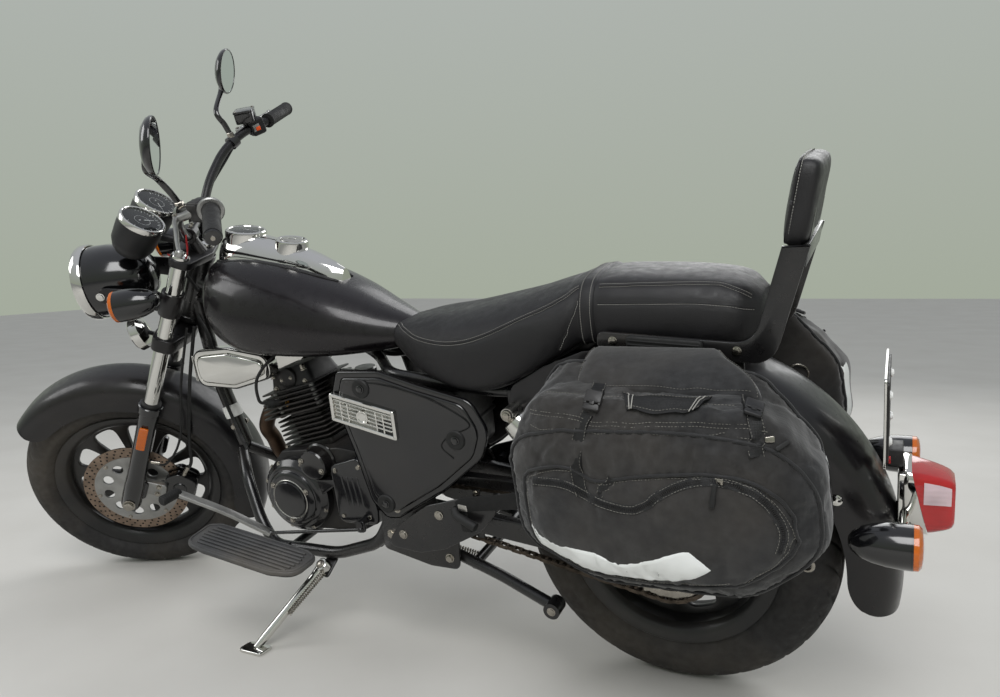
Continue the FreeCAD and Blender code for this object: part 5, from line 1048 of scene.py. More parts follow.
def readBack(made):
    # The evaluated mesh of a helper object, in millimetres.
    shape = made.evaluated_get(bpy.context.evaluated_depsgraph_get()).to_mesh()
    verts = np.empty(len(shape.vertices) * 3)
    shape.vertices.foreach_get("co", verts)
    sizes = np.empty(len(shape.polygons), int)
    shape.polygons.foreach_get("loop_total", sizes)
    corners = np.empty(len(shape.loops), int)
    shape.loops.foreach_get("vertex_index", corners)
    starts = np.concatenate([[0], np.cumsum(sizes)[:-1]])
    blocks = [corners[starts[sizes == n][:, None] + np.arange(n)] for n in (3, 4) if (sizes == n).any()]
    return verts.reshape(-1, 3) * 1000, blocks


def toSeams(verts, seams):
    # Distance of every point from the nearest seam.
    near = np.full(len(verts), 1e9)
    for seam in seams:
        for spot in np.asarray(seam)[::2]:
            near = np.minimum(near, ((verts - spot) ** 2).sum(1))
    return np.sqrt(near)


def stuffed(surface, seams, pressure, slack, cap, voxel, count=20, width=5.0, floor=None):
    # A fabric skin blown up by a cloth run with its seams held; no point moves further than the cap.
    start = tempMesh(surface)
    remesh = start.modifiers.new("remesh", "REMESH")
    remesh.mode, remesh.voxel_size = "VOXEL", voxel * 0.001
    verts, blocks = readBack(start)
    bpy.data.objects.remove(start)
    made = tempMesh((verts, blocks))
    near = toSeams(verts, seams)
    weight = np.clip(1.4 - near / width, 0, 1)
    if floor is not None:
        weight = np.maximum(weight, floor(verts))
    group = made.vertex_groups.new(name="held")
    for level in range(1, 11):
        chosen = np.nonzero(np.round(weight * 10) == level)[0]
        group.add(chosen.tolist(), level / 10, "REPLACE")
    cloth = made.modifiers.new("cloth", "CLOTH")
    fabric = cloth.settings
    fabric.vertex_group_mass = "held"
    fabric.quality, fabric.mass = clothStiffness["quality"], clothStiffness["mass"]
    fabric.tension_stiffness = fabric.compression_stiffness = clothStiffness["tension"]
    fabric.shear_stiffness, fabric.bending_stiffness = clothStiffness["shear"], clothStiffness["bending"]
    fabric.use_pressure, fabric.uniform_pressure_force = True, pressure
    fabric.shrink_min = -slack
    fabric.effector_weights.gravity = 0.0
    cloth.collision_settings.use_collision = False
    cloth.point_cache.frame_start, cloth.point_cache.frame_end = 1, count
    scene = bpy.context.scene
    for number in range(1, count + 1):
        scene.frame_set(number)
    after, _ = readBack(made)
    scene.frame_set(1)
    bpy.data.objects.remove(made)
    shift = after - verts
    long = np.linalg.norm(shift, axis=1, keepdims=True)
    shift *= np.tanh(long / cap) * cap / np.maximum(long, 1e-6)
    return verts + shift, blocks


class Drape:
    # Points laid on a finished skin: the nearest place to each point, lifted along its normal.

    def __init__(self, surface):
        verts, blocks = surface
        self.tree = BVHTree.FromPolygons(verts.tolist(), [f for block in blocks for f in block.tolist()])

    def on(self, points, lift=0.0):
        points = np.asarray(points, float)
        flat = points.reshape(-1, 3)
        hits = [self.tree.find_nearest(Vector(p)) for p in flat]
        spots = np.array([h[0] for h in hits]).reshape(points.shape)
        normals = np.array([h[1] for h in hits]).reshape(points.shape)
        return spots + normals * np.broadcast_to(lift, points.shape[:-1])[..., None], normals

    def smooth(self, line, lift, count, wrap=False):
        # A path draped at a few points only, then eased, so that it doesn't follow every fold.
        few = max(5, int(np.linalg.norm(np.diff(line, axis=0), axis=1).sum() / 17))
        where = np.linspace(0, len(line) - 1, few + wrap)[:few].astype(int)
        spots, normals = self.on(line[where], lift)
        return eased(spots, count, wrap), unit(eased(normals, count, wrap))

    def seam(self, spots, y, lift=0.6, count=160, wrap=False):
        line = eased(spots, count, wrap)
        path = np.column_stack([line[:, 0], np.full(len(line), float(y)), line[:, 1]])
        return self.smooth(path, lift, count, wrap)

    def ribbon(self, path, width, lift=1.8):
        # A strap of webbing along a path, its edges turned down on to the skin.
        path, normals = self.smooth(path, 0.0, len(path))
        along = unit(np.gradient(path, axis=0) + 1e-9)
        side = unit(np.cross(along, normals))
        shares = np.array([-1.0, -1.0, -0.9, -0.4, 0, 0.4, 0.9, 1.0, 1.0])
        lifts = np.array([-4.0, lift * 0.8, lift, lift, lift, lift, lift, lift * 0.8, -4.0])
        spots = path[:, None] + side[:, None] * (shares * width / 2)[:, None]
        return spots + normals[:, None] * lifts[:, None], normals


# Body work

def onSkin(table, u, v, lift=0.0):
    # Points and outward normals on a table of points at shares of its rows and columns.
    rows, cols = table.shape[:2]
    u, v = np.broadcast_arrays(np.asarray(u, float) * (rows - 1), np.asarray(v, float) * (cols - 1))
    i, j = np.clip(u.astype(int), 0, rows - 2), np.clip(v.astype(int), 0, cols - 2)
    f, g = (u - i)[..., None], (v - j)[..., None]
    a, b, c, d = table[i, j], table[i + 1, j], table[i, j + 1], table[i + 1, j + 1]
    points = a * (1 - f) * (1 - g) + b * f * (1 - g) + c * (1 - f) * g + d * f * g
    normal = unit(np.cross((b - a) * (1 - g) + (d - c) * g, (c - a) * (1 - f) + (d - b) * f) + 1e-9)
    middle = table.reshape(-1, 3).mean(0)
    normal *= np.sign(((points - middle) * normal).sum(-1, keepdims=True))
    return points + normal * np.broadcast_to(lift, u.shape)[..., None], normal


def ripples(p, size, seed=0.0):
    # Soft folds: a few crossing waves whose phase wanders, between about -1 and 1.
    x, y, z = (p[..., i] / size for i in range(3))
    first = np.sin(1.7 * x + 2.3 * z + 1.3 * np.sin(0.9 * z - 0.6 * x + seed) + seed)
    second = np.sin(2.9 * z - 1.1 * x + 0.9 * y + 1.7 * np.sin(0.7 * x + 0.4 * z + 2 * seed))
    third = np.sin(4.1 * x + 1.9 * y + 3.1 * z + 2.1 * np.sin(1.3 * x - 0.8 * z + 3 * seed))
    return 0.5 * first + 0.32 * second + 0.18 * third


tankSections = np.array([(528, 700, 752, 44), (600, 692, 786, 84), (700, 686, 836, 124),
                         (820, 686, 882, 146), (930, 694, 906, 148), (1012, 726, 906, 126),
                         (1052, 764, 888, 88)], float)
backboneLine = np.array([(640, 716), (880, 742), (1040, 800), (1148, 846)], float)


def tankTable():
    # A rounded arch at every station, drawn in at the ends, with the tunnel for the backbone below.
    rows = eased(tankSections, 60)
    draw = np.array([[-2.5, 9], [-1.2, 4], [0, 0]])
    front = [rows[-1] + (6.5 - abs(d) * 1.2, s, -s, -s) for d, s in draw[::-1][1:]]
    rows = np.concatenate([rows[:1] + (-3, 6, -6, -6), rows, np.array(front)])
    shares = np.array([(0.62, 0.0), (0.84, 0.045), (0.95, 0.15), (1.0, 0.33), (0.965, 0.53), (0.85, 0.74),
                       (0.6, 0.91), (0.3, 0.985), (0.0, 1.0)])
    arch = eased(shares, 34)
    arch[:, 0] = np.maximum(arch[:, 0], 0)
    arch = np.concatenate([arch, (arch[::-1] * (-1, 1))[1:]])
    x, low, top, half = (rows[:, i:i + 1] for i in range(4))
    points = np.stack([np.broadcast_to(x, (len(rows), len(arch))), half * arch[:, 0],
                       low + (top - low) * arch[:, 1]], -1)
    side = 26.0
    roof = np.clip(np.interp(x[:, 0], backboneLine[:, 0], backboneLine[:, 1]) + side, low[:, 0] + 1,
                   top[:, 0] - 5)
    y = np.minimum(side, half[:, 0] * 0.55)
    notch = np.stack([np.stack([x[:, 0], s * y, z], -1) for s, z in ((-1, low[:, 0]), (-1, roof), (1, roof),
                                                                     (1, low[:, 0]))], 1)
    return np.concatenate([points, notch], 1), points


def tankPieces():
    whole, arch = tankTable()
    piece("fuelTank", "frame", "tankPaint", capped(whole), hides=["fuel_tank"], crease=50)
    rows = eased([(704, 20, 862), (736, 33, 880), (790, 45, 904), (860, 53, 927), (930, 60, 946),
                  (985, 60, 954), (1016, 50, 950), (1028, 38, 942)], 50)
    t = np.linspace(0, math.pi, 25)
    x, half, top = (rows[:, i:i + 1] for i in range(3))
    crest = 1 - abs(np.cos(t)) ** 2.6
    points = np.stack([np.broadcast_to(x, (50, 25)), half * np.cos(t),
                       top - 52 + (52 + 0 * x) * crest ** 0.8], -1)
    ends = np.stack([points[-1] + (3, 0, -6), (points[-1] - (0, 0, 900)) * (1, 0.8, 1) + (5, 0, 882)])
    points = np.concatenate([points, ends])
    piece("tankConsole", "frame", "chrome", capped(points), hides=["tank_console"])
    seamX = np.linspace(708, 1022, 70)
    halfAt = np.interp(seamX, rows[:, 0], rows[:, 1]) * 1.05 + 3
    share = np.interp(seamX, tankSections[:, 0], tankSections[:, 3])
    tankTop = np.interp(seamX, arch[:, 0, 0], arch[:, :, 2].max(1))
    fall = np.interp(halfAt / share, [0, 0.3, 0.6, 0.85], [0, 0.015, 0.09, 0.26])
    height = np.interp(seamX, tankSections[:, 0], tankSections[:, 2] - tankSections[:, 1])
    seam = np.stack([seamX, halfAt, tankTop - fall * height + 0.5], -1)
    loop = np.concatenate([seam, (seam * (1, -1, 1))[::-1]])
    piece("consoleGasket", "frame", "softRubber", swept(loop, circle(3.2, 10), (0, 0, 1)))
    size = {"gauge": (966, 0, 959.0), "gaugeTilt": (-0.2, 0, 1), "filler": (838, 0, 929.0),
            "fillerTilt": (-0.22, 0, 1)}
    centre, axis = np.array(size["gauge"]), unit(size["gaugeTilt"])
    pot = lathe([(0, -40), (46, -40), (47, -6), (46, -1), (43, 1.5), (40, 1), (38.5, -1), (38.5, -7)],
                centre, axis, 72)
    piece("tankGaugeBezel", "frame", "chrome", pot)
    piece("tankGaugeDial", "frame", "dial", lathe([(0, -5), (38.6, -5)], centre, axis, 48))
    piece("tankGaugePane", "frame", "glass", lathe([(0, 1.2), (24, 0.6), (38.4, -0.8)], centre, axis, 48))
    place = frames([centre - axis * 4.6], axis, (1, 0, 0))[0]
    turns = np.radians(np.linspace(-60, 60, 9))
    tick = block(28, 34, -0.1, 0.1, -0.7, 0.7, 0.05)
    tick = (tick[0][:, [0, 2, 1]], tick[1])
    marks = join(*[moved(tick, turnMatrix((0, 0, 1), math.degrees(a) + 180)) for a in turns],
                 moved(plate([(-6, -1.4), (-6, 1.4), (26, 0.5), (26, -0.5)], 0.8, 1.6, 0.3, 2, plane="xy"),
                       turnMatrix((0, 0, 1), 200)))
    piece("tankGaugeMarks", "frame", "whiteMark", moved(marks, place))
    centre, axis = np.array(size["filler"]), unit(size["fillerTilt"])
    ring = lathe([(26, 1), (28, 2.5), (33, 3), (36, 1), (37, -3), (37, -34), (26, -34)], centre, axis, 72,
                 wrap=True)
    lid = lathe([(0, 4.5), (8, 4.4), (22, 3.6), (25.5, 2.4), (26.2, 0), (26.2, -6), (0, -6)], centre, axis,
                60)
    piece("fillerRing", "frame", "chrome", ring)
    piece("fillerCap", "frame", "brushed", lid)
    keyCover = moved(block(-9, 9, -4, 4, 4, 5.6, 0.7), frames([centre], axis, (1, 0, 0))[0])
    piece("fillerKeyCover", "frame", "chrome", keyCover)


seatSections = np.array([(556, 706, 756, 70), (480, 664, 772, 112), (400, 640, 782, 140),
                         (320, 640, 796, 150), (240, 668, 812, 142), (160, 712, 836, 124),
                         (110, 730, 852, 114), (-40, 730, 850, 108), (-140, 728, 838, 96),
                         (-182, 738, 806, 66)], float)


def seatTable():
    # Arches through the stations; the dish dips, the shoulders swell, and soft dents lie beside the strap.
    rows = eased(seatSections, 150)
    inFront = rows[:1] + (5, 10, -12, -16)
    behind = [rows[-1] + (-5, 8, -12, -14), rows[-1] + (-7, 20, -28, -34)]
    rows = np.concatenate([inFront + (3, 12, -12, -24), inFront, rows, np.array(behind)])
    shares = np.array([(0.74, -0.01), (0.9, 0.03), (0.975, 0.16), (1.0, 0.4), (0.965, 0.62), (0.87, 0.8),
                       (0.7, 0.915), (0.45, 0.965), (0.2, 0.985), (0.0, 0.985)])
    arch = eased(shares, 44)
    arch = np.concatenate([arch, (arch[::-1] * (-1, 1))[1:]])
    x, low, top, half = (rows[:, i:i + 1] for i in range(4))
    points = np.stack([np.broadcast_to(x, (len(rows), len(arch))), half * arch[:, 0],
                       low + (top - low) * arch[:, 1]], -1)
    # Two narrow dents beside the strap and a wide one under it.
    dent = np.exp(-((x - 134) / 9) ** 2) + np.exp(-((x - 88) / 9) ** 2)
    dent = dent + 0.8 * np.exp(-((x - 111) / 16) ** 2)
    middle = np.stack([x[:, 0], 0 * x[:, 0], (low + top)[:, 0] / 2], -1)[:, None]
    points = middle + (points - middle) * (1 - 0.022 * dent)[..., None]
    dish = np.exp(-((x - 420) / 120) ** 2) * np.exp(-(arch[:, 0] / 0.6) ** 2) * (arch[:, 1] > 0.8)
    points[..., 2] -= 7 * dish
    points += ripples(points, 46)[..., None] * (0, 0.8, 0.5)
    return points


def skinAt(table, x, z):
    # Row and column shares of the left flank of the skin at places given as x and z.
    rows, cols = table.shape[:2]
    found = []
    for px, pz in zip(x, z):
        row = int(np.abs(table[:, cols // 2, 0] - px).argmin())
        flank = table[row, :cols // 2, 2]
        found.append((row / (rows - 1), np.interp(pz, flank, np.arange(len(flank))) / (cols - 1)))
    return np.array(found)


def seamOn(table, spots, count=160):
    # A smooth line on the skin through rough spots of x and z.
    shares = skinAt(table, *eased(spots, 12).T)
    shares = eased(shares, count)
    return onSkin(table, shares[:, 0], shares[:, 1])[0]


seatSeams = {
    "rider": [(548, 752), (530, 750), (477, 737), (395, 734), (320, 748), (241, 779), (173, 806), (128, 832)],
    "pillion": [(92, 834), (0, 835), (-90, 833), (-134, 826), (-166, 808)],
    "panel": [(167, 722), (152, 750), (138, 784), (128, 812)],
    "side": [(92, 806), (-9, 806), (-86, 804), (-136, 798), (-172, 788)],
}


def seatPieces():
    table = seatTable()
    raw = capped(table)
    paths = {name: seamOn(table, spots) for name, spots in seatSeams.items()}
    lean = {k: float(np.interp(-k, -table[:, 43, 0], np.linspace(0, 1, len(table)))) for k in (126, 96)}
    v = np.linspace(0.012, 0.988, 140)
    across = [onSkin(table, lean[k], v)[0] for k in (126, 96)]
    held = [p for path in paths.values() for p in (path, path * (1, -1, 1))] + across
    skin = stuffed(raw, held, **seatCloth,
                   floor=lambda p: (p[:, 2] < np.interp(p[:, 0], seatSections[::-1, 0],
                                                        seatSections[::-1, 1]) + 14) * 1.0)
    near = toSeams(skin[0], held)
    shell = piece("seatCushion", "frame", "leather",
                  (skin[0] - unit(skin[0] - (180, 0, 700)) * (1.4 * np.exp(-(near / 5) ** 2))[:, None],
                   skin[1]), hides=["seat"], crease=70)
    drape = Drape(skin)
    threads, welts = [], []
    for name, path in paths.items():
        path, normal = drape.on(path, 0.4)
        double = name in ("rider", "pillion")
        shift = unit(np.cross(np.gradient(path, axis=0), normal))
        for d in (-3.4, 3.4) if double else (2.4,):
            threads.append(stitches(path + shift * d, normal, **seatThread))
        welts.append(swept(path - normal * 1.1, circle(1.9 if double else 1.1, 8), (0, 1, 0)))
    piece("seatWelts", "frame", "leather", both(join(*welts)))
    edges = np.interp([0, 0.08, 0.2, 0.5, 0.8, 0.92, 1], [0, 1], [lean[126], lean[96]])
    lifts = np.array([-3, 2.0, 2.8, 3.0, 2.8, 2.0, -3])[:, None]
    band = drape.on(onSkin(table, edges[:, None], v[None])[0], lifts)[0]
    piece("seatStrap", "frame", "leather", grid(band), crease=60)
    bandThreads = []
    for row in (2, 4):
        normal = drape.on(band[row])[1]
        bandThreads.append(stitches(band[row] + normal * 0.2, normal, **seatThread))
    piece("seatStitches", "frame", "thread", join(both(join(*threads)), *bandThreads))
    edge = onSkin(table, np.linspace(0.02, 0.97, 160), 0.016, 0.4)[0]
    piece("seatHem", "frame", "plastic", both(swept(edge, circle(3.0, 8), (0, 1, 0))))


def backrestPieces():
    size = {"base": (-236, 0, 892.0), "top": (-262, 0, 1030.0), "half": 108, "thick": 21.5, "middle": 69,
            "reach": 70}
    base, top = np.array(size["base"]), np.array(size["top"])
    rise = unit(top - base)
    out = np.array((rise[2], 0, -rise[0]))
    tall, a = np.meshgrid(np.linspace(-1, 1, 46), np.arange(96) * turnFull / 96, indexing="ij")
    belt = (1 - abs(tall) ** 6.0) ** (1 / 3.4)
    c, n = np.cos(a), np.sin(a)
    ring = (abs(c) ** 5.5 + abs(n) ** 5.5) ** (-1 / 5.5)
    across = size["half"] * c * ring * (0.72 + 0.28 * belt) * (1 - 0.03 * tall)
    depth = size["thick"] * n * ring * belt
    crown = 3.5 * (1 - (across / 112) ** 2) * (1 - tall ** 2) * (n > 0.5)
    height = size["middle"] + size["reach"] * tall
    points = base + rise * height[..., None] + out * (depth + crown)[..., None]
    points = points + np.array((0, 1, 0)) * across[..., None]
    points += ripples(points, 30, 1.0)[..., None] * 0.5 * out
    t = np.linspace(0, turnFull, 200)[:-1]
    soft = (abs(np.cos(t)) ** 7 + abs(np.sin(t)) ** 7) ** (-1 / 7)
    loop = [base + rise * (size["middle"] + 66 * np.sin(t) * soft)[:, None] + out * d + np.array((0, 1, 0))
            * (103 * np.cos(t) * soft)[:, None] for d in (14.5, 10.5)]
    held = [loop[0] + (loop[0] - loop[0].mean(0)) * 0.03, loop[0] - out * 28]
    skin = stuffed(capped(points), held, **padCloth, floor=lambda p: ((p - base) @ out < -12) * 1.0)
    pad = piece("backrestPad", "frame", "leather", skin, hides=["backrest_pad"], crease=70)
    welt = np.concatenate([loop[0], loop[0][:2]])
    piece("padWelt", "frame", "leather", swept(welt + (welt - welt.mean(0)) * 0.02, circle(2.4, 10), out))
    line = loop[1] + (loop[1] - loop[1].mean(0)) * 0.052
    piece("padStitches", "frame", "thread", stitches(line, unit(line - line.mean(0)), 4.6, 3.4, 0.55))
    bar = softCorners([(90, 728, 14), (90, 760, 14), (-176, 742, 42), (-222, 900, 0), (-264, 900, 0),
                       (-206, 706, 48)], 8)
    backs = []
    for low, high, near, far, half in ((-24, 14, -19.3, -24.3, 121), (10, 62, -17.3, -20.8, 84)):
        corners = [base + rise * h + out * d for h, d in ((low, near), (high, near), (high, far),
                                                          (low, far))]
        backs.append(plate(softCorners([(p[0], p[2], 1) for p in corners]), -half, half, 1))
    piece("backrestBars", "frame", "frameBlack", join(both(plate(bar, 119.5, 128.5, 2.2)), *backs),
          hides=["backrest_bars"])
    grip = plate(softCorners([(34, 728, 8), (34, 756, 8), (-96, 748, 8), (-96, 720, 8)]), 128, 140, 3.5, 5)
    ribs = [plate(softCorners([(30, 733 + k, 1), (30, 736 + k, 1), (-92, 728 + k, 1), (-92, 725 + k, 1)]),
                  139, 142, 0.8) for k in (0, 7, 14)]
    piece("railPads", "frame", "softRubber", both(join(grip, *ribs)))
    bolts = studs([(60, 128.5, 744), (-150, 128.5, 730)], (0, 1, 0), 8, 5)
    piece("railBolts", "frame", "boltSteel", both(bolts))


def rearFenderPieces():
    size = {"radius": 404.0, "half": 96.0, "rim": 318.0, "start": 55.0, "sweep": 134.0}
    shell = moved(fenderShell(**size), shifted(rearWheel["axle"]))
    piece("rearFender", "frame", "satin", shell, hides=["rear_fender"])
    spots = [(171, 95.5, 660), (-299, 95.5, 463), (-120, 95.5, 640)]
    piece("fenderChromeBolts", "frame", "chrome", both(studs(spots, (0, 1, 0), 10, 8)))


def railCoverPieces():
    # The satin stays that fill the gap between seat, rail and bag, with their chrome bolts.
    outline = softCorners([(282, 606, 14), (268, 650, 26), (200, 690, 40), (120, 722, 20), (30, 728, 10),
                           (30, 690, 10), (180, 640, 40), (246, 596, 14)], 8)
    piece("railCovers", "frame", "satin", both(plate(outline, 121, 124.4, 1.5, dome=1.5)))
    piece("railCoverBolts", "frame", "chrome", both(studs([(182, 124.6, 668)], (0, 1, 0), 9, 9)))


def tailPieces():
    rows = [(-398, 44, 404, 502), (-404, 47, 396, 503), (-414, 49, 388, 502), (-424, 50, 386, 500)]
    corner = rectangle(-1, 1, 0, 1, 0.3, 6)
    slant = np.interp(corner[:, 1], (0, 1), (-13, 13))
    skin = np.stack([np.column_stack([x + slant * np.clip((-398 - x) / 26, 0, 1), corner[:, 0] * h,
                                      lo + (hi - lo) * corner[:, 1]]) for x, h, lo, hi in rows])
    plug = block(-410, -390, -44, 44, 404, 496, 3)
    arm = rod((-402, 40, 425), (-398, 155, 432), 8)
    piece("tailLampBase", "frame", "chrome", join(capped(skin), plug, both(arm)), hides=["tail_lamp"])
    rows = eased([(-424.3, 48, 389, 498), (-436, 45, 390, 495), (-456, 40, 393, 489),
                  (-470, 35.5, 397, 482), (-476, 30, 402, 476)], 26)
    lens = np.stack([np.column_stack([x + slant * np.clip((x + 476) / 51.7, 0, 1), corner[:, 0] * h,
                                      lo + (hi - lo) * corner[:, 1]]) for x, h, lo, hi in rows])
    piece("tailLens", "frame", "redLens", capped(lens), hides=["tail_lens"])
    window = np.array([[(x, h * (0.7 + 0.3 * math.sqrt(1 - (max(0, v - 0.7) / 0.3) ** 2)) + 0.5,
                         lo + (hi - lo) * v) for v in np.linspace(0.52, 0.88, 12)]
                       for x, h, lo, hi in rows[3:20]])
    piece("tailLensWindows", "frame", "paleLens", both(grid(window)))
    blinkers("rear", blinker["rear"], (-1, 0, 0), "frame", upright)
    sheet = plate(rectangle(-90, 90, 520, 676, 8), -2, 2, 0.8)
    turn = np.array([[0, 1, 0, -370], [1, 0, 0, 0], [0, 0, 1, 0], [0, 0, 0, 1]], float)
    piece("plateHolder", "frame", "chrome", moved(sheet, turn), hides=["plate_bracket"])
    backing = moved(plate(rectangle(-84, 84, 530, 668, 8), -6, -2, 1), turn)
    stem = block(-398, -368, -24, 24, 500.3, 530, 2)
    piece("plateBacking", "frame", "plastic", join(backing, stem))
    bolts = studs([(-376, s * 60, z) for z in (640, 560) for s in (1, -1)], (-1, 0, 0), 8, 5)
    piece("plateBolts", "frame", "whiteMark", bolts)
    reflector = moved(plate(rectangle(-28, 28, 505, 519, 3), -9, -5, 1), turn)
    piece("rearReflector", "frame", "redLens", reflector)


def sideCoverPieces():
    outline = softCorners([(664, 672, 16), (684, 620, 14), (650, 500, 40), (622, 380, 26), (590, 342, 22),
                           (556, 346, 22), (436, 420, 60), (340, 500, 60), (318, 560, 50), (352, 622, 44),
                           (470, 650, 40), (560, 676, 30)], 8)
    size = {"middle": (520, 540), "slats": 5, "slatStart": 10.5, "slatPitch": 8.6}
    shell = plate(outline, 135.3, 144, 7, 7)
    middle = outline + (size["middle"] - outline) * 0.1
    raised = plate(middle, 140, 148, 6, 7)
    bulge = plate(middle + (size["middle"] - middle) * 0.06, 146, 148.4, 2.0, 5, dome=3.0)
    piece("sideCovers", "frame", "coverBlack", both(join(shell, raised, bulge)), hides=["side_covers"])
    groove = eased([(590, 148.2, 652), (540, 149.2, 648), (463, 150, 632), (388, 149.5, 600),
                    (356, 148.6, 572), (404, 150.2, 548), (424, 150, 524), (400, 149.4, 500)], 70)
    piece("coverGrooves", "frame", "shadow", both(swept(groove, circle(1.6, 8), (0, 1, 0))))
    spots = [(601, 150.2, 638), (391, 149.8, 540), (581, 149.6, 380)]
    grommet = lathe([(0, 1), (10, 1.4), (15, 3.2), (19, 3), (21, 0.6), (21, -2)], axis=(0, 0, 1), flats=40)
    piece("coverGrommets", "frame", "softRubber", both(copies(grommet, frames(spots, (0, 1, 0)))))
    piece("coverBolts", "frame", "gloss", both(studs([(x, y + 1, z) for x, y, z in spots], (0, 1, 0), 9,
                                                     6)))
    frameOutline = softCorners([(680, 628, 6), (524, 594, 6), (524, 530, 6), (682, 566, 6)], 5)
    outer = inset(frameOutline, 0.2)
    inner = inset(frameOutline, 8)
    rings = [(outer, 148.3), (outer, 156.5), (inset(outer, 1.2), 157.7), (inset(inner, -1.2), 157.7),
             (inner, 156.6), (inner, 151)]
    points = np.stack([np.column_stack([r[:, 0], np.full(len(r), y), r[:, 1]]) for r, y in rings])
    slats = []
    for k in range(size["slats"]):
        z = size["slatStart"] + size["slatPitch"] * k
        corners = [(671, 566 + z, 1.6), (671, 570.5 + z, 1.6), (534, 540.5 + z, 1.6), (534, 536 + z, 1.6)]
        slats.append(plate(softCorners(corners), 150, 155.6, 1.6))
    back = plate(inner, 148.5, 151, 0.3, 2)
    piece("ventFrames", "frame", "chrome", both(join(grid(points, wrapV=True), *slats)),
          hides=["vent_grilles"])
    piece("ventBacks", "frame", "brushed", both(back))
    boss = lathe([(0, 4.2), (9, 4), (11, 5.4), (14, 5.4), (15.5, 0)], (603, 152, 577), (0, 1, 0), 40)
    studsAt = [plate(rectangle(x - 1.5, x + 1.5, z - 22, z + 20, 1), 150, 156, 0.8)
               for x, z in ((655, 588), (638, 585), (570, 570), (553, 566))]
    piece("ventBosses", "frame", "chrome", both(join(boss, *studsAt)))


tankPieces()
seatPieces()
backrestPieces()
rearFenderPieces()
railCoverPieces()
tailPieces()
sideCoverPieces()
print("stage: body work")


# Engine, exhaust and intake

boreTurn = shifted((830, 0, 452)) @ turnMatrix((0, 1, 0), 15)


def slab(x0, x1, half, low, high, corner=12.0, edge=1.2):
    # A level plate with rounded corners, as one fin or flange of the cylinder.
    corners = rectangle(x0, x1, -half, half, corner, 6)
    return plate(corners, low, high, edge, 3, plane="xy")


def cylinderPieces():
    size = {"fins": 6, "pitch": 11, "thick": 3.2, "barrelLow": 22, "headLow": 93, "barrelHalf": 74,
            "headHalf": 98}
    core = [slab(-50, 50, 48, 0, 90, 20), slab(-62, 62, 60, 0, 14, 10, 2),
            slab(-66, 62, 56, 90, 150, 20, 2)]
    fins = []
    for k in range(size["fins"]):
        low, half = size["barrelLow"] + size["pitch"] * k, size["barrelHalf"] - 0.6 * k
        fins.append(slab(-half, half, 72, low, low + size["thick"], 14))
    for k in range(size["fins"]):
        low, half = size["headLow"] + size["pitch"] * k, size["headHalf"] - 3 * k
        fins.append(slab(-half, half, 86 - 1.5 * k, low, low + size["thick"], 20))
    cover = np.stack([np.column_stack([c[:, 0], c[:, 1], np.full(len(c), z)])
                      for c, z in ((rectangle(a, b, -h, h, r, 6), z)
                                   for a, b, h, r, z in ((-66, 62, 56, 16, 149), (-66, 62, 56, 16, 158),
                                                         (-65, 61, 55, 16, 160), (-61, 57, 51, 16, 178),
                                                         (-59, 55, 49, 16, 190), (-57, 53, 47, 15, 194.5),
                                                         (-52, 48, 43, 14, 196)))])
    port = rod((50, 0, 118.6), (103, 0, 112.1), 25.5, 32)
    stub = rod((-50, 0, 124), (-112, 0, 128), 24, 32)
    piece("cylinderFins", "frame", "engineBlack", join(*core, *fins, capped(cover), port, stub),
          upright @ boreTurn, ["cylinder"])
    posts = join(*[rod((x, y, 90), (x, y, 149), 7, 14) for x in (-60, 56) for y in (-52, 52)])
    piece("headPosts", "frame", "castGrey", posts, upright @ boreTurn)
    covers = [lathe([(0, 9), (18, 8.6), (24, 6), (26, 2), (26, 0)], (0, s * 52, 172), (0, s, 0), 40)
              for s in (1, -1)]
    bolts = hexBolts([(x, y, 180) for x in (-50, 46) for y in (-48, 48)], (0, 0, 1), 6, 14)
    sideBolts = hexBolts([(x, s * 56, z) for s in (1, -1) for x, z in ((-48, 155), (44, 155))], (0, 1, 0),
                         5, 4)
    piece("camCaps", "frame", "engineBlack", join(*covers), upright @ boreTurn)
    capBolts = studs([(x, s * 60.5, 172) for s in (1, -1) for x in (-14, 14)], (0, 1, 0), 4.5, 3)
    piece("coverBoltsBright", "frame", "boltSteel", join(bolts, sideBolts, capBolts), upright @ boreTurn)
    plug = join(rod((30, 62, 122), (42, 92, 132), 8, 16), rod((40, 88, 130.6), (46, 100, 135), 11, 16))
    piece("sparkCap", "frame", "softRubber", plug, upright @ boreTurn)
    lead = eased([(46, 100, 135), (52, 112, 150), (30, 112, 200), (-20, 80, 236), (-60, 30, 246)], 60)
    piece("sparkLead", "frame", "softRubber", swept(lead, circle(3.6, 10), (1, 0, 0)), upright @ boreTurn)
    piece("plugHex", "frame", "brass", hexBolts([(27, 57, 120)], (0.35, 0.9, 0.3), 9, 8),
          upright @ boreTurn)


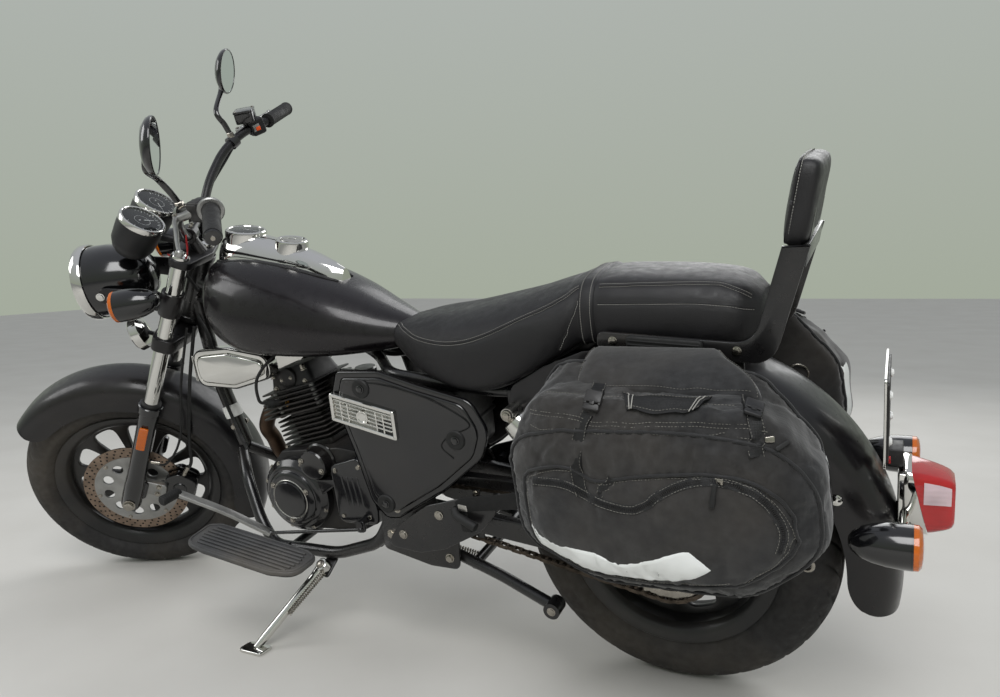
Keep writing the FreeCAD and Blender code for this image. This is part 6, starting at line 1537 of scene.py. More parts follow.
def crankcasePieces():
    outline = softCorners([(950, 300, 40), (948, 400, 40), (905, 448, 16), (742, 470, 4), (640, 462, 20),
                           (590, 430, 20), (590, 330, 20), (700, 268, 30), (890, 250, 40)], 7)
    case = join(plate(outline, -88, 88, 5, 5), block(880, 920, -30, 30, 224, 262, 3))
    caseJoint = plate(inset(outline, -2.2), -3, 3, 1)
    ribs = [plate(softCorners([(x0, z0, 3), (x1, z1, 3), (x1 + 5, z1 - 3, 3), (x0 + 5, z0 - 3, 3)]), -84,
                  84, 1.5) for x0, z0, x1, z1 in ((636, 462, 600, 432), (706, 466, 690, 440))]
    piece("crankcaseShell", "frame", "engineBlack", join(case, caseJoint, *ribs), hides=["crankcase"])
    bolts = hexBolts([(x, y, z) for x, z in ((924, 438), (622, 446)) for y in (-40, 40)], (0, 0, 1), 6, 5)
    sides = hexBolts([(x, s * 88, z) for s in (1, -1) for x, z in ((940, 404), (934, 300), (606, 418),
                                                                   (606, 342))], (0, 1, 0), 5.5, 5)
    piece("crankcaseBolts", "frame", "boltSteel", join(bolts, sides))


def coverPieces():
    size = {"left": (862, 88.3, 350), "cap": (790, 88.3, 436), "clutch": (812, -88.3, 362),
            "boltRing": 83.5}
    centre = size["left"]
    body = lathe([(90, 0), (90, 19), (88, 22), (82, 25.5), (78, 31), (76, 32.5), (68, 33.5), (66, 35.5),
                  (66, 38.5), (64, 40.4), (60, 42.5), (56, 44), (44, 44.4), (44, 46.5), (42, 48),
                  (20, 48.6), (0, 48.6)], centre, (0, 1, 0), 88)
    lug = plate(softCorners([(806, 398, 12), (716, 404, 8), (794, 352, 12)]), 88.3, 114, 3)
    cap = lathe([(42, 0), (42, 4), (38, 7), (36, 14), (35, 32), (32.5, 35.5), (28, 36.5), (0, 36.5)],
                size["cap"], (0, 1, 0), 64)
    sprocketCover = plate(softCorners([(742, 440, 20), (664, 466, 16), (646, 440, 20), (628, 340, 26),
                                       (632, 306, 18), (740, 300, 26)], 7), 97, 122, 6, 6, dome=3)
    slots = [plate(softCorners([(652 + k, 350, 3), (657 + k, 350, 3), (665 + k, 420, 3),
                                (660 + k, 420, 3)]), 121, 125.6, 1.5) for k in (6, 20, 34, 48)]
    piece("leftCovers", "frame", "coverBlack", join(body, lug, cap, sprocketCover, *slots),
          hides=["engine_covers"])
    clutch = lathe([(102, 0), (102, -20), (100, -23), (92, -29), (88, -33), (82, -35.5), (40, -37.4),
                    (38, -39.5), (0, -40)], size["clutch"], (0, 1, 0), 88)
    tail = plate(softCorners([(760, 430, 24), (668, 430, 24), (664, 310, 24), (740, 290, 24)], 7), -108,
                 -88.3, 5, 5)
    filler = lathe([(15, 0), (15, 6), (12, 9), (12, 14), (0, 15)], (866, -118, 300), (0, -1, 0), 32)
    piece("rightCovers", "frame", "coverBlack", join(clutch, tail, filler))
    a = np.radians([20, 65, 110, 155, 200, 245, 290, 335])
    reach = size["boltRing"]
    rim = [(862 + reach * math.cos(t), 88.3 + 21, 350 + reach * math.sin(t)) for t in a]
    bright = [(862 + 54 * math.cos(t), 88.3 + 43.2, 350 + 54 * math.sin(t))
              for t in np.radians([35, 155, 275])]
    capBolts = [(790 + s * 27, 124.5, 436 + s * 10) for s in (1, -1)]
    others = [(722, 121.5, 322), (650, 121.5, 326), (662, 121.5, 444), (726, 121.5, 430)]
    right = [(812 + 95 * math.cos(t), -107, 362 + 95 * math.sin(t)) for t in a]
    bolts = join(hexBolts(rim + others, (0, 1, 0), 5.2, 4.5), hexBolts(right, (0, -1, 0), 5.2, 4.5))
    piece("coverBoltsSmall", "frame", "boltSteel", join(bolts, studs(bright + capBolts, (0, 1, 0), 7, 5)))
    ring = lathe([(45, 43.5), (47.5, 45.4), (50, 43.5)], centre, (0, 1, 0), 80)
    piece("coverRing", "frame", "brushed", ring)
    piece("oilPlug", "frame", "brass", hexBolts([(880, 0, 224.5)], (0, 0, -1), 10, 8))


def intakePieces():
    box = plate(softCorners([(560, 452, 24), (560, 624, 24), (420, 624, 24), (420, 452, 24)], 7), -84, 84,
                10, 6)
    lidRim = plate(softCorners([(563, 520, 6), (563, 530, 6), (417, 530, 6), (417, 520, 6)]), -87, 87, 2)
    bosses = both(plate(softCorners([(500, 520, 8), (500, 560, 8), (440, 560, 8), (440, 520, 8)]), 82,
                        134.4, 3))
    duct = swept(eased([(650, 0, 600), (610, 0, 597), (556, 0, 587)], 30), circle(30, 28),
                 swell=1 + 0.05 * np.sin(np.arange(30) * 1.4))
    piece("airbox", "frame", "plastic", join(box, lidRim, bosses, duct), hides=["intake"])
    end = (boreTurn @ np.array((-112, 0, 128, 1)))[:3]
    body = swept(eased(np.array([end + (3, 0, -0.5), (end + np.array((650, 0, 600))) / 2, (648, 0, 600)]),
                       24), circle(25, 28))
    bowl = lathe([(0, 0), (17, 0), (20, 3), (21, 8), (21, 46)], (692, 0, 558), (0, 0, 1), 40)
    top = lathe([(26, 0), (26, 14), (23, 18), (0, 18.5)], (692, 0, 618), (0, 0, 1), 40)
    piece("carburettor", "frame", "castGrey", join(body, bowl, top))
    clamps = join(*[lathe([(26, -4), (27.6, -4), (27.6, 4), (26, 4)], c, (1, 0, 0.02), 32, wrap=True)
                    for c in ((716, 0, 601), (660, 0, 600))])
    piece("intakeClamps", "frame", "boltSteel", clamps)


def exhaustPieces():
    size = {"pipe": 19, "muffler": 43, "band": 44.6, "start": (670, -218, 246), "axis": (-1, 0, 0.045)}
    start, outer = size["start"], size["muffler"]
    port = (boreTurn @ np.array((104, 0, 112, 1)))[:3]
    lead = (boreTurn @ np.array((134, 0, 108.5, 1)))[:3]
    route = eased([port, lead, (1022, -4, 470), (1024, -22, 430), (1020, -46, 372), (985, -112, 300),
                   (900, -156, 266), (760, -196, 250), (668, -218, 246)], 110)
    pipe = swept(route, circle(size["pipe"], 28))
    flange = moved(plate(rectangle(-36, 36, -16, 16, 10, 6), 104, 111, 1.5, plane="xy"),
                   np.array(Matrix.Rotation(math.radians(90), 4, "Y")))
    piece("headerPipe", "frame", "headerBrown", pipe, hides=["exhaust"])
    flange = (flange[0] + (0, 0, 112), flange[1])
    piece("headerFlange", "frame", "headerBrown", flange, upright @ boreTurn)
    axis = unit(size["axis"])
    profile = [(size["pipe"], 0), (24, 1), (27, 8), (outer - 2, 56), (outer, 62), (outer, 636),
               (outer - 2, 644), (33, 676), (30, 680), (27, 680), (25.5, 660), (25, 560)]
    piece("muffler", "frame", "satin", lathe(profile, start, axis, 64))
    rings = join(*[lathe([(outer, d), (size["band"], d + 1), (size["band"], d + 17), (outer, d + 18)],
                         start, axis, 64) for d in (66, 612)])
    piece("mufflerBands", "frame", "chrome", rings)
    hanger = block(530, 556, -182, -166.3, 250, 312, 2)
    shield = lathe([(46.5, 150), (48, 152), (48, 470), (46.5, 472)], start, axis, 24, start=150, sweep=120)
    piece("exhaustHanger", "frame", "frameBlack", hanger)
    piece("heatShield", "frame", "gloss", shield)


def podPieces():
    outline = softCorners([(1120, 600, 34), (1124, 690, 34), (1010, 700, 60), (892, 684, 34),
                           (888, 630, 30), (1000, 598, 60)], 10)
    shell = plate(outline, 58.5, 92, 5, 5)
    dome = plate(softCorners([(1104, 614, 26), (1108, 678, 26), (1010, 688, 40), (906, 672, 20),
                              (904, 638, 18), (1000, 610, 40)], 10), 90, 100.5, 7, 7, dome=3.4)
    piece("chromePods", "frame", "chrome", both(join(shell, dome)), hides=["chrome_pods"])
    seam = inset(outline, 3.2)
    line = np.column_stack([seam[:, 0], np.full(len(seam), 91.4), seam[:, 1]])
    piece("podSeams", "frame", "shadow", both(swept(np.concatenate([line, line[:2]]), circle(1.4, 8),
                                                    (0, 1, 0))))
    bracket = block(1096, 1152, -59, 59, 640, 660, 2)
    piece("podBracket", "frame", "frameBlack", bracket)
    fins = join(*[plate(softCorners([(1122 + k, 612, 1), (1124 + k, 612, 1), (1125 + k, 676, 1),
                                     (1123 + k, 676, 1)]), 62, 88, 0.6) for k in (1, 5)])
    piece("podFins", "frame", "chrome", both(fins))


# Frame, swingarm and shocks

def tubes(routes, mirrored=True):
    # Several bent bars, on both sides of the frame where mirrored.
    made = [tube(path, radius, reach, flats=20) for path, radius, reach in routes]
    return both(join(*made)) if mirrored else join(*made)


def framePieces():
    size = {"backbone": 21, "downTube": 18, "cradle": 14, "rail": 12}
    middle = tubes([([(1148, 0, 846), (1040, 0, 800), (880, 0, 742), (640, 0, 716)], size["backbone"], 60),
                    ([(1164, 0, 818), (1150, 0, 600), (1098, 0, 420)], size["downTube"], 60)], False)
    sides = tubes([([(1104, 12, 404), (1050, 66, 352), (1003, 96, 262), (950, 118, 214), (760, 118, 218),
                     (640, 118, 262), (600, 118, 325), (594, 118, 430)], size["cradle"], 30),
                   ([(700, 9, 700), (640, 11, 668), (560, 96, 655), (330, 96, 628), (210, 108.3, 636),
                     (50, 108.3, 645), (-70, 108.3, 640), (-166, 108.3, 602)], size["rail"], 34),
                   ([(595, 118, 416), (532, 96, 560), (474, 96, 647)], size["rail"], 20)])
    crosses = join(rod((300, -96, 632), (300, 96, 632), 10), rod((900, -118, 213), (900, 118, 213), 11),
                   rod((640, -118, 262), (640, 118, 262), 11))
    plates = plate(softCorners([(615, 262, 14), (605, 440, 16), (540, 470, 16), (470, 400, 20),
                                (424, 300, 20), (430, 236, 16), (500, 236, 16)], 6), 128, 135, 2)
    tabs = [plate(rectangle(x - 12, x + 12, z0, z1, 5), 113.7, 119.7, 1.2)
            for x, z0, z1 in ((60, 640, 746), (-148, 606, 712))]
    ear = block(250, 282, 96, 120.7, 588, 640, 3)
    head = lathe([(27, 531), (29, 533), (29, 545), (27, 547), (27, 703), (29, 705), (29, 717), (27, 719)],
                 (-33, 0, 0), (0, 0, 1), 48)
    stop = block(-9, 13, -9, 9, 531, 557, 2)
    cushions = join(*[block(x - 15, x + 15, -25.7, 25.7, z - 12, z + 10, 3)
                      for x, z in ((660, 718), (990, 782))])
    piece("frameTubes", "frame", "frameBlack", join(middle, sides, crosses, both(join(plates, ear, *tabs))),
          hides=["frame_main"])
    onHead = upright @ forkPlace
    piece("steeringHead", "frame", "frameBlack", join(head, stop), onHead)
    piece("tankCushions", "frame", "softRubber", cushions)
    clamp = join(*[lathe([(18.4, -16), (21.5, -15), (22.5, -8), (22.5, 8), (21.5, 15), (18.4, 16)],
                         (1123, 0, 505), (0.29, 0, 1), 40)])
    piece("downTubeClamp", "frame", "whiteMark", clamp)
    bolts = hexBolts([(590, 135, 300), (580, 135, 420), (450, 135, 262)], (0, 1, 0), 8, 7)
    bolts = join(bolts, hexBolts([(1108, 17, 470)], (0, 1, 0), 7, 10))
    pivot = studs([(560, 135, 366)], (0, 1, 0), 15, 10, 32)
    piece("frameBolts", "frame", "boltSteel", both(join(bolts, pivot)))
    wires = [eased(p, 60) for p in ([(1150, 24, 760), (1120, 30, 700), (1130, 24, 600), (1108, 22, 500),
                                     (1060, 40, 420)], [(1140, 20, 800), (1080, 30, 780), (980, 34, 742),
                                                        (860, 34, 706), (740, 40, 676)],
                                    [(610, 60, 640), (596, 80, 560), (600, 96, 480), (640, 98, 440)])]
    piece("harness", "frame", "softRubber", join(*[swept(w, circle(4.2, 10), (0, 1, 0)) for w in wires]))


def swingarmPieces():
    outline = softCorners([(-34, 323.5, 12), (-34, 291.5, 12), (60, 284.5, 40), (570, 343, 20),
                           (570, 389, 20), (60, 330.5, 40)], 7)
    arms = plate(outline, 97.2, 120.8, 5, 5)
    lugs = plate(softCorners([(24, 319.5, 5), (56, 319.5, 5), (54, 339.7, 8), (26, 339.7, 8)]), 117, 156, 2)
    rods = join(rod((560, -127.7, 366), (560, 127.7, 366), 12, 28),
                rod((400, -97, 328), (400, 97, 328), 18, 28), rod((0, -137, 307.5), (0, 137, 307.5), 9),
                rod((0, 88.5, 307.5), (0, 97.2, 307.5), 13), rod((0, -97.2, 307.5), (0, -75.5, 307.5), 13))
    posts = join(*[block(x0, x1, 96, 102, 300, 410, 1.5) for x0, x1 in ((60, 76), (380, 396))])
    skirt = plate(softCorners([(470, 440, 2), (470, 420, 6), (10, 396, 6), (-60, 396, 5), (-60, 412, 5),
                               (10, 426, 6)]), 96, 98.4, 0.8)
    top = plate(softCorners([(470, 440.4, 0.6), (470, 437.6, 0.6), (10, 423.6, 0.6), (10, 426.4, 0.6)]), 76,
                97.6, 0.6)
    piece("swingarmBeams", "frame", "frameBlack", join(both(join(arms, lugs)), rods), hides=["swingarm"])
    piece("chainGuard", "frame", "frameBlack", join(posts, skirt, top))
    nuts = join(hexBolts([(0, 121, 307.5)], (0, 1, 0), 15, 12),
                hexBolts([(0, -121, 307.5)], (0, -1, 0), 15, 12),
                hexBolts([(388, 102, 404), (68, 102, 404)], (0, 1, 0), 5, 4))
    blocks = both(plate(rectangle(-30, 26, 296, 319, 2), 120, 123, 1))
    screws = both(join(rod((-34, 127, 307.5), (-56, 127, 307.5), 3.4, 12)))
    piece("axleHardware", "frame", "boltSteel", join(nuts, blocks, screws))


def shockPieces():
    size = {"top": (264, 152, 606.0), "foot": (40, 152, 352.0), "coil": 21.5, "turns": 9.0, "wire": 4.6}
    top, foot = np.array(size["top"]), np.array(size["foot"])
    axis = unit(top - foot)
    length = np.linalg.norm(top - foot)
    body = lathe([(8, 8), (14, 10), (14, length - 98), (12, length - 95), (7, length - 95),
                  (7, length - 68)], foot, axis, 40)
    collar = lathe([(14, 26), (30, 28), (30, 34), (24, 36), (14, 36)], foot, axis, 48)
    eyes = join(rod(foot - (0, 13, 0), foot + (0, 13, 0), 13, 28),
                rod(top - (0, 31, 0), top + (0, 13, 0), 13, 28))
    piece("shockBodies", "frame", "brushed", both(join(body, eyes)), hides=["shocks"])
    cap = lathe([(24, length - 72), (29, length - 70), (30, length - 60), (29, length - 30),
                 (27, length - 16), (18, length - 10), (8, length - 8)], foot, axis, 48)
    piece("shockCaps", "frame", "chrome", both(join(cap, collar)))
    rubber = join(*[lathe([(6, 13.2), (11, 13.2), (11, 14.2), (6, 14.2)], p, (0, 1, 0), 28)
                    for p in (foot, top)])
    piece("shockBushes", "frame", "softRubber", both(rubber))
    nuts = studs([foot + (0, 14, 0), top + (0, 14, 0)], (0, 1, 0), 10, 9, 28)
    piece("shockNuts", "frame", "boltSteel", both(nuts))
    wire = helix(foot + axis * 38, foot + axis * (length - 74), size["coil"], size["turns"], size["wire"],
                 flats=12, perTurn=28)
    piece("shockCoils", "frame", "chrome", both(wire), hides=["shock_springs"])


def rearSprocketPieces():
    count = chain["drivenTeeth"]
    root = chain["pitch"] / (2 * math.sin(math.pi / count)) - chain["roller"] / 2
    a = np.arange(count * 16) / 16 * turnFull / count
    phase = abs((a * count / turnFull) % 1 - 0.5) * 2
    outer = root + 7.2 * np.clip(1.25 - phase * 1.55, 0, 1) ** 0.8
    shape = np.stack([np.cos(a), 0 * a, np.sin(a)], -1)
    carrier = lathe([(36, -10.5), (36, 0), (44, 0), (46, -2.5)], (0, 0, 0), (0, 1, 0), 48)
    holes = [(58 * math.cos(t), 58 * math.sin(t)) for t in np.arange(5) * turnFull / 5]
    ringOuter = grid(np.stack([shape * outer[:, None] * k + (0, y, 0)
                               for k, y in ((1, -1.2), (0.985, -2.5), (0.9, -2.5), (0.82, -2.5))]
                              + [shape * (root - 16) + (0, -2.5, 0), shape * (root - 16) + (0, 2.5, 0)]
                              + [shape * outer[:, None] * k + (0, y, 0)
                                 for k, y in ((0.9, 2.5), (0.985, 2.5), (1, 1.2))]), wrapU=True, wrapV=True)
    inner = lathe([(37, -2.5), (46, -2.5), (46, 2.5), (37, 2.5)], (0, 0, 0), (0, 1, 0), 64, wrap=True)
    arms = spun(block(42, root - 14, -2.5, 2.5, -9, 9, 1), 5, phase=36)
    place = shifted((chain["driven"][0], chain["y"], chain["driven"][1]))
    body = join(ringOuter, inner, arms, carrier)
    piece("rearSprocket", "rear_wheel", "boltSteel", moved(body, place), hides=["rear_sprocket"])
    nuts = hexBolts([(x * 0.72, 2.6, z * 0.72) for x, z in holes], (0, 1, 0), 7, 7)
    piece("sprocketNuts", "rear_wheel", "boltSteel", moved(nuts, place))


# Rests, levers and stands

def restPieces():
    size = {"tilt": -8, "middle": (810, 0, 0), "ribs": 7, "ribPitch": 11, "ribStart": 252}
    tilt = turnMatrix((0, 1, 0), size["tilt"], size["middle"])
    place = shifted((50, 0, 300)) @ tilt
    outline = softCorners([(960, 250, 22), (955, 330, 40), (900, 336, 40), (720, 336, 60), (662, 318, 40),
                           (660, 246, 24), (690, 234, 20), (930, 234, 20)], 8)
    base = plate(outline, -1.5, 9, 3.5, 5, plane="xy")
    rim = inset(outline, 5)
    line = np.column_stack([rim, np.full(len(rim), 9.6)])
    welt = swept(np.concatenate([line, line[:2]]), circle(2.2, 10), (0, 0, 1))
    ribs = []
    for k in range(size["ribs"]):
        y = size["ribStart"] + size["ribPitch"] * k
        x0, x1 = 676 + abs(y - 285) * 0.3, 940 - abs(y - 280) * 0.35
        ribs.append(plate(rectangle(x0, x1, y - 3, y + 3, 2.8), 8, 13.6, 2, 4, plane="xy"))
    piece("footBoards", "frame", "boardRubber", both(moved(join(base, welt, *ribs), place)),
          hides=["foot_rests"])
    under = moved(plate(inset(outline, 3), -4.5, -1, 1.2, plane="xy"), place)
    arm = tube([(900, 124, 214), (900, 158, 214), (884, 204, 232), (872, 262, 294), (872, 262, 306)], 10,
               26)
    clamp = rod((900, 118, 214), (900, 142, 214), 15, 24)
    plates = plate(softCorners([(586, 290, 20), (546, 344, 44), (470, 396, 60), (392, 420, 24),
                                (296, 414, 18), (352, 350, 80), (440, 300, 40), (500, 284, 30)], 8), 160,
                   166, 2.4, 5, dome=2.0)
    posts = join(rod((536, 135, 322), (536, 161, 322), 9), rod((446, 135, 372), (446, 161, 372), 9))
    piece("restMounts", "frame", "frameBlack", both(join(under, arm, clamp, plates, posts)))
    heads = studs([(536, 166.8, 323), (442, 167.4, 379)], (0, 1, 0), 10, 6)
    screws = hexBolts([(900, 142, 214)], (0, 1, 0), 8, 6)
    piece("restBolts", "frame", "boltSteel", both(join(heads, screws)))
    peg = tube([(404, 166, 396), (396, 176, 388), (350, 184, 372)], 9, 10)
    strap = plate(softCorners([(400, 415, 2), (378, 415, 2), (368, 350, 2), (390, 350, 2)]), 166, 169, 1)
    piece("pillionPegs", "frame", "softRubber", both(peg))
    piece("bagStrapLow", "frame", "webbing", strap)
    band = plate(softCorners([(392, 424, 3), (392, 394, 3), (206, 424, 3), (206, 462, 3)]), 169, 171.5, 1)
    piece("bagBand", "frame", "webbing", band)
    piece("strapClip", "frame", "brushed",
          plate(softCorners([(393, 412, 3), (373, 410, 3), (371, 396, 3), (391, 398, 3)]), 168.6, 172, 1))


def leverPieces():
    hinge, toePad = (664, 146, 306), (1100, 240, 392)
    shaft = join(rod((664, 122.3, 318), (664, 150, 318), 9), rod(hinge, (930, 146, 262), 4, 14))
    crank = plate(softCorners([(676, 326, 9), (676, 298, 9), (652, 298, 9), (652, 326, 9)]), 140, 146, 1.5)
    flat = rectangle(-9, 9, -5, 5, 2, 4)
    toe = swept(bent([(930, 146, 262), (1010, 190, 330), toePad], 30), flat)
    ends = join(*[lathe([(0, 6), (5, 5), (7, 2), (7, -2), (5, -5), (0, -6)], p, (0, 1, 0), 20)
                  for p in (hinge, (930, 146, 262))])
    brake = join(rod((930, -124, 216), (930, -150, 216), 10),
                 tube([(930, -144, 216), (1010, -196, 320), (1100, -250, 392)], 8, 30))
    piece("gearLinkage", "frame", "frameBlack", join(shaft, crank, ends, brake), hides=["foot_controls"])
    piece("gearLever", "frame", "castGrey", toe)
    rubber = lathe([(0, -28), (8, -28), (11, -25), (11, 22), (9, 26), (0, 26)], (1100, 260, 392), (0, 1, 0),
                   28)
    rings = join(*[lathe([(11, -1), (12.2, -0.6), (12.2, 0.6), (11, 1)], (1100, y, 392), (0, 1, 0), 28)
                   for y in range(240, 284, 6)])
    pad = block(1078, 1126, -286, -236, 388, 400, 3)
    lines = join(*[block(1082, 1122, y, y + 4, 399, 402, 1) for y in range(-282, -240, 8)])
    piece("pedalRubbers", "frame", "softRubber", join(rubber, rings, pad, lines))
    coil = helix((930, -134, 226), (880, -134, 262), 6, 12, 1.1)
    piece("pedalSpring", "frame", "boltSteel", coil)


def standPieces():
    hinge = joint("side_stand_fold")
    toUpright = np.linalg.inv(upright)
    size = {"pivot": (790, 146, 196.0), "foot": (0.234, 0.1615, 0.006), "leg": 10}
    pivot = np.array(size["pivot"])
    axis = unit(toUpright[:3, :3] @ np.asarray(hinge["axis"], float))
    foot = (toUpright @ np.array((*size["foot"], 1)))[:3]
    away = unit(foot - pivot)
    leg = swept(eased(np.array([pivot + away * 9, pivot + away * 60, foot - away * 50, foot]), 40),
                circle(size["leg"], 24), axis, swell=np.interp(np.arange(40), [0, 6, 30, 39],
                                                               [1.25, 1.0, 1.0, 0.85]))
    eye = lathe([(8, -10.3), (14.5, -10.3), (16, -9), (16, 9), (14.5, 10.3), (8, 10.3)], pivot, axis, 40)
    scale = np.diag([0.001, 0.001, 0.001, 1])
    soleOutline = softCorners([(204, 141.5, 8), (268, 141.5, 14), (268, 185.5, 14), (204, 185.5, 8)], 6)
    sole = moved(plate(soleOutline, 0.4, 7.6, 2.2, plane="xy"), toUpright @ scale)
    piece("sideStandLeg", "side_stand", "chrome", join(leg, eye, sole), hides=["side_stand"])
    piece("standBolt", "side_stand", "boltSteel", studs([pivot + axis * 10.5], [axis], 10, 6, 28))
    plateOut = plate(softCorners([(-20, -18, 8), (20, -18, 8), (16, 34, 8), (-16, 34, 8)]), -16.8, -11.4,
                     1.5)
    side = unit(np.cross(axis, (0, 0, 1)))
    rows = np.column_stack([side, axis, unit(np.cross(side, axis))])
    place = np.eye(4)
    place[:3, :3], place[:3, 3] = rows * np.sign(np.linalg.det(rows)), pivot
    piece("standBracket", "frame", "frameBlack", join(moved(plateOut, place),
                                                      rod(pivot - axis * 12, pivot + axis * 9, 6)))
    high, low = pivot + away * 14 + (-17, 4, 0), pivot + away * 128 + (-12, 2, 0)
    ends = join(rod(high, pivot + away * 8, 2.2, 10), rod(low, pivot + away * 132, 2.2, 10))
    piece("standSpring", "side_stand", "boltSteel", join(helix(low, high, 5.6, 22, 1.4, perTurn=14), ends))
    leg = tube([(462, 106, 262), (342, 116, 228), (210, 152, 200)], 12, 26)
    sole = rod((212, 134, 199), (212, 170, 199), 17, 28)
    hub = rod((462, 98, 262), (462, 127.4, 262), 15, 28)
    piece("centreStandLegs", "centre_stand", "frameBlack", join(both(join(leg, sole, hub)),
                                                                rod((402, -118, 245), (402, 118, 245), 11)),
          hides=["centre_stand"])
    caps = studs([(212, 170, 199)], (0, 1, 0), 9, 3)
    piece("centreStandCaps", "centre_stand", "boltSteel", both(caps))
    coil = helix((396, 84, 246), (486, 84, 262), 6, 16, 1.5, perTurn=16)
    piece("centreStandSpring", "frame", "boltSteel", coil)


cylinderPieces()
crankcasePieces()
coverPieces()
intakePieces()
exhaustPieces()
podPieces()
print("stage: engine")
framePieces()
swingarmPieces()
shockPieces()
rearSprocketPieces()
print("stage: frame")
restPieces()
leverPieces()
standPieces()
print("stage: rests and stands")


# Bags

bagLines = {
    "back": [(140, 728, 50), (196, 600, 80), (186, 440, 80), (60, 378, 90), (-190, 384, 90), (-296, 480, 90),
             (-284, 610, 80), (-196, 716, 50)],
    "middle": [(150, 700, 50), (200, 600, 80), (190, 440, 80), (60, 374, 90), (-196, 380, 90), (-304, 480, 90),
               (-292, 600, 80), (-200, 690, 50)],
    "face": [(110, 640, 40), (150, 570, 60), (144, 460, 60), (40, 410, 60), (-176, 414, 60), (-258, 490, 60),
             (-246, 580, 60), (-170, 640, 40)],
}
pocketLine = [(170, 559), (151, 578), (103, 591), (70, 588), (35, 573), (-17, 583), (-107, 597),
              (-170, 599), (-211, 589), (-244, 566), (-266, 531), (-270, 508), (-256, 478), (-219, 440),
              (-155, 412), (-61, 392), (40, 388), (124, 404), (160, 434), (175, 491)]
rimLine = [(207, 563), (199, 595), (176, 622), (120, 640), (40, 646), (-80, 650), (-190, 644), (-245, 622),
           (-283, 579), (-296, 530), (-292, 484), (-262, 436), (-200, 396), (-70, 376), (60, 376),
           (140, 404), (190, 452), (204, 510)]


def bagShape():
    # Rings from the back outline to the face, then shrinking rings across both ends.
    outline = {k: softCorners(v, 9) for k, v in bagLines.items()}
    back, middle, face = outline["back"], outline["middle"], outline["face"]
    rows = [(186, inset(back, 6)), (190, inset(back, 1.5)), (198, back), (244, middle), (288, middle),
            (302, middle * 0.86 + face * 0.14), (316, middle * 0.42 + face * 0.58), (326, face),
            (331, inset(face, 8))]
    flat = np.array([np.column_stack([r[:, 0], np.full(len(r), y), r[:, 1]]).ravel() for y, r in rows])
    rings = eased(flat, 44).reshape(44, -1, 3)
    ends = []
    for ring, bulge in ((rings[0], -1.0), (rings[-1], 5.0)):
        centre = ring.mean(0)
        ends.append([centre + (ring - centre) * (s, 1, s) + (0, bulge * (1 - s ** 2), 0)
                     for s in (0.86, 0.68, 0.48, 0.28, 0.1)])
    table = np.concatenate([np.array(ends[0][::-1]), rings, np.array(ends[1])])
    return capped(table)


def buckle(place):
    # A side release clip: two halves, two prongs and the bar for the strap.
    low = plate(softCorners([(-14, -17, 4), (14, -17, 4), (14, 4, 3), (-14, 4, 3)]), 0, 7, 2, plane="xy")
    high = plate(softCorners([(-12, 5, 2), (12, 5, 2), (14, 17, 4), (-14, 17, 4)]), 0, 6, 2, plane="xy")
    tongue = plate(rectangle(-4, 4, 0, 8, 1), 2, 7.6, 1, plane="xy")
    prongs = [plate(softCorners([(s * 9, -2, 1), (s * 13.4, -2, 1), (s * 13.4, 7, 1), (s * 9, 7, 1)][::s]),
                    1, 6.4, 1, plane="xy") for s in (1, -1)]
    return moved(join(low, high, tongue, *prongs), place)


def ringOf(centre, axis, radius, wire):
    # A closed ring of round wire.
    a = np.arange(14) * turnFull / 14
    profile = np.column_stack([radius + wire * np.cos(a), wire * np.sin(a)])
    return lathe(profile, centre, axis, 40, wrap=True)


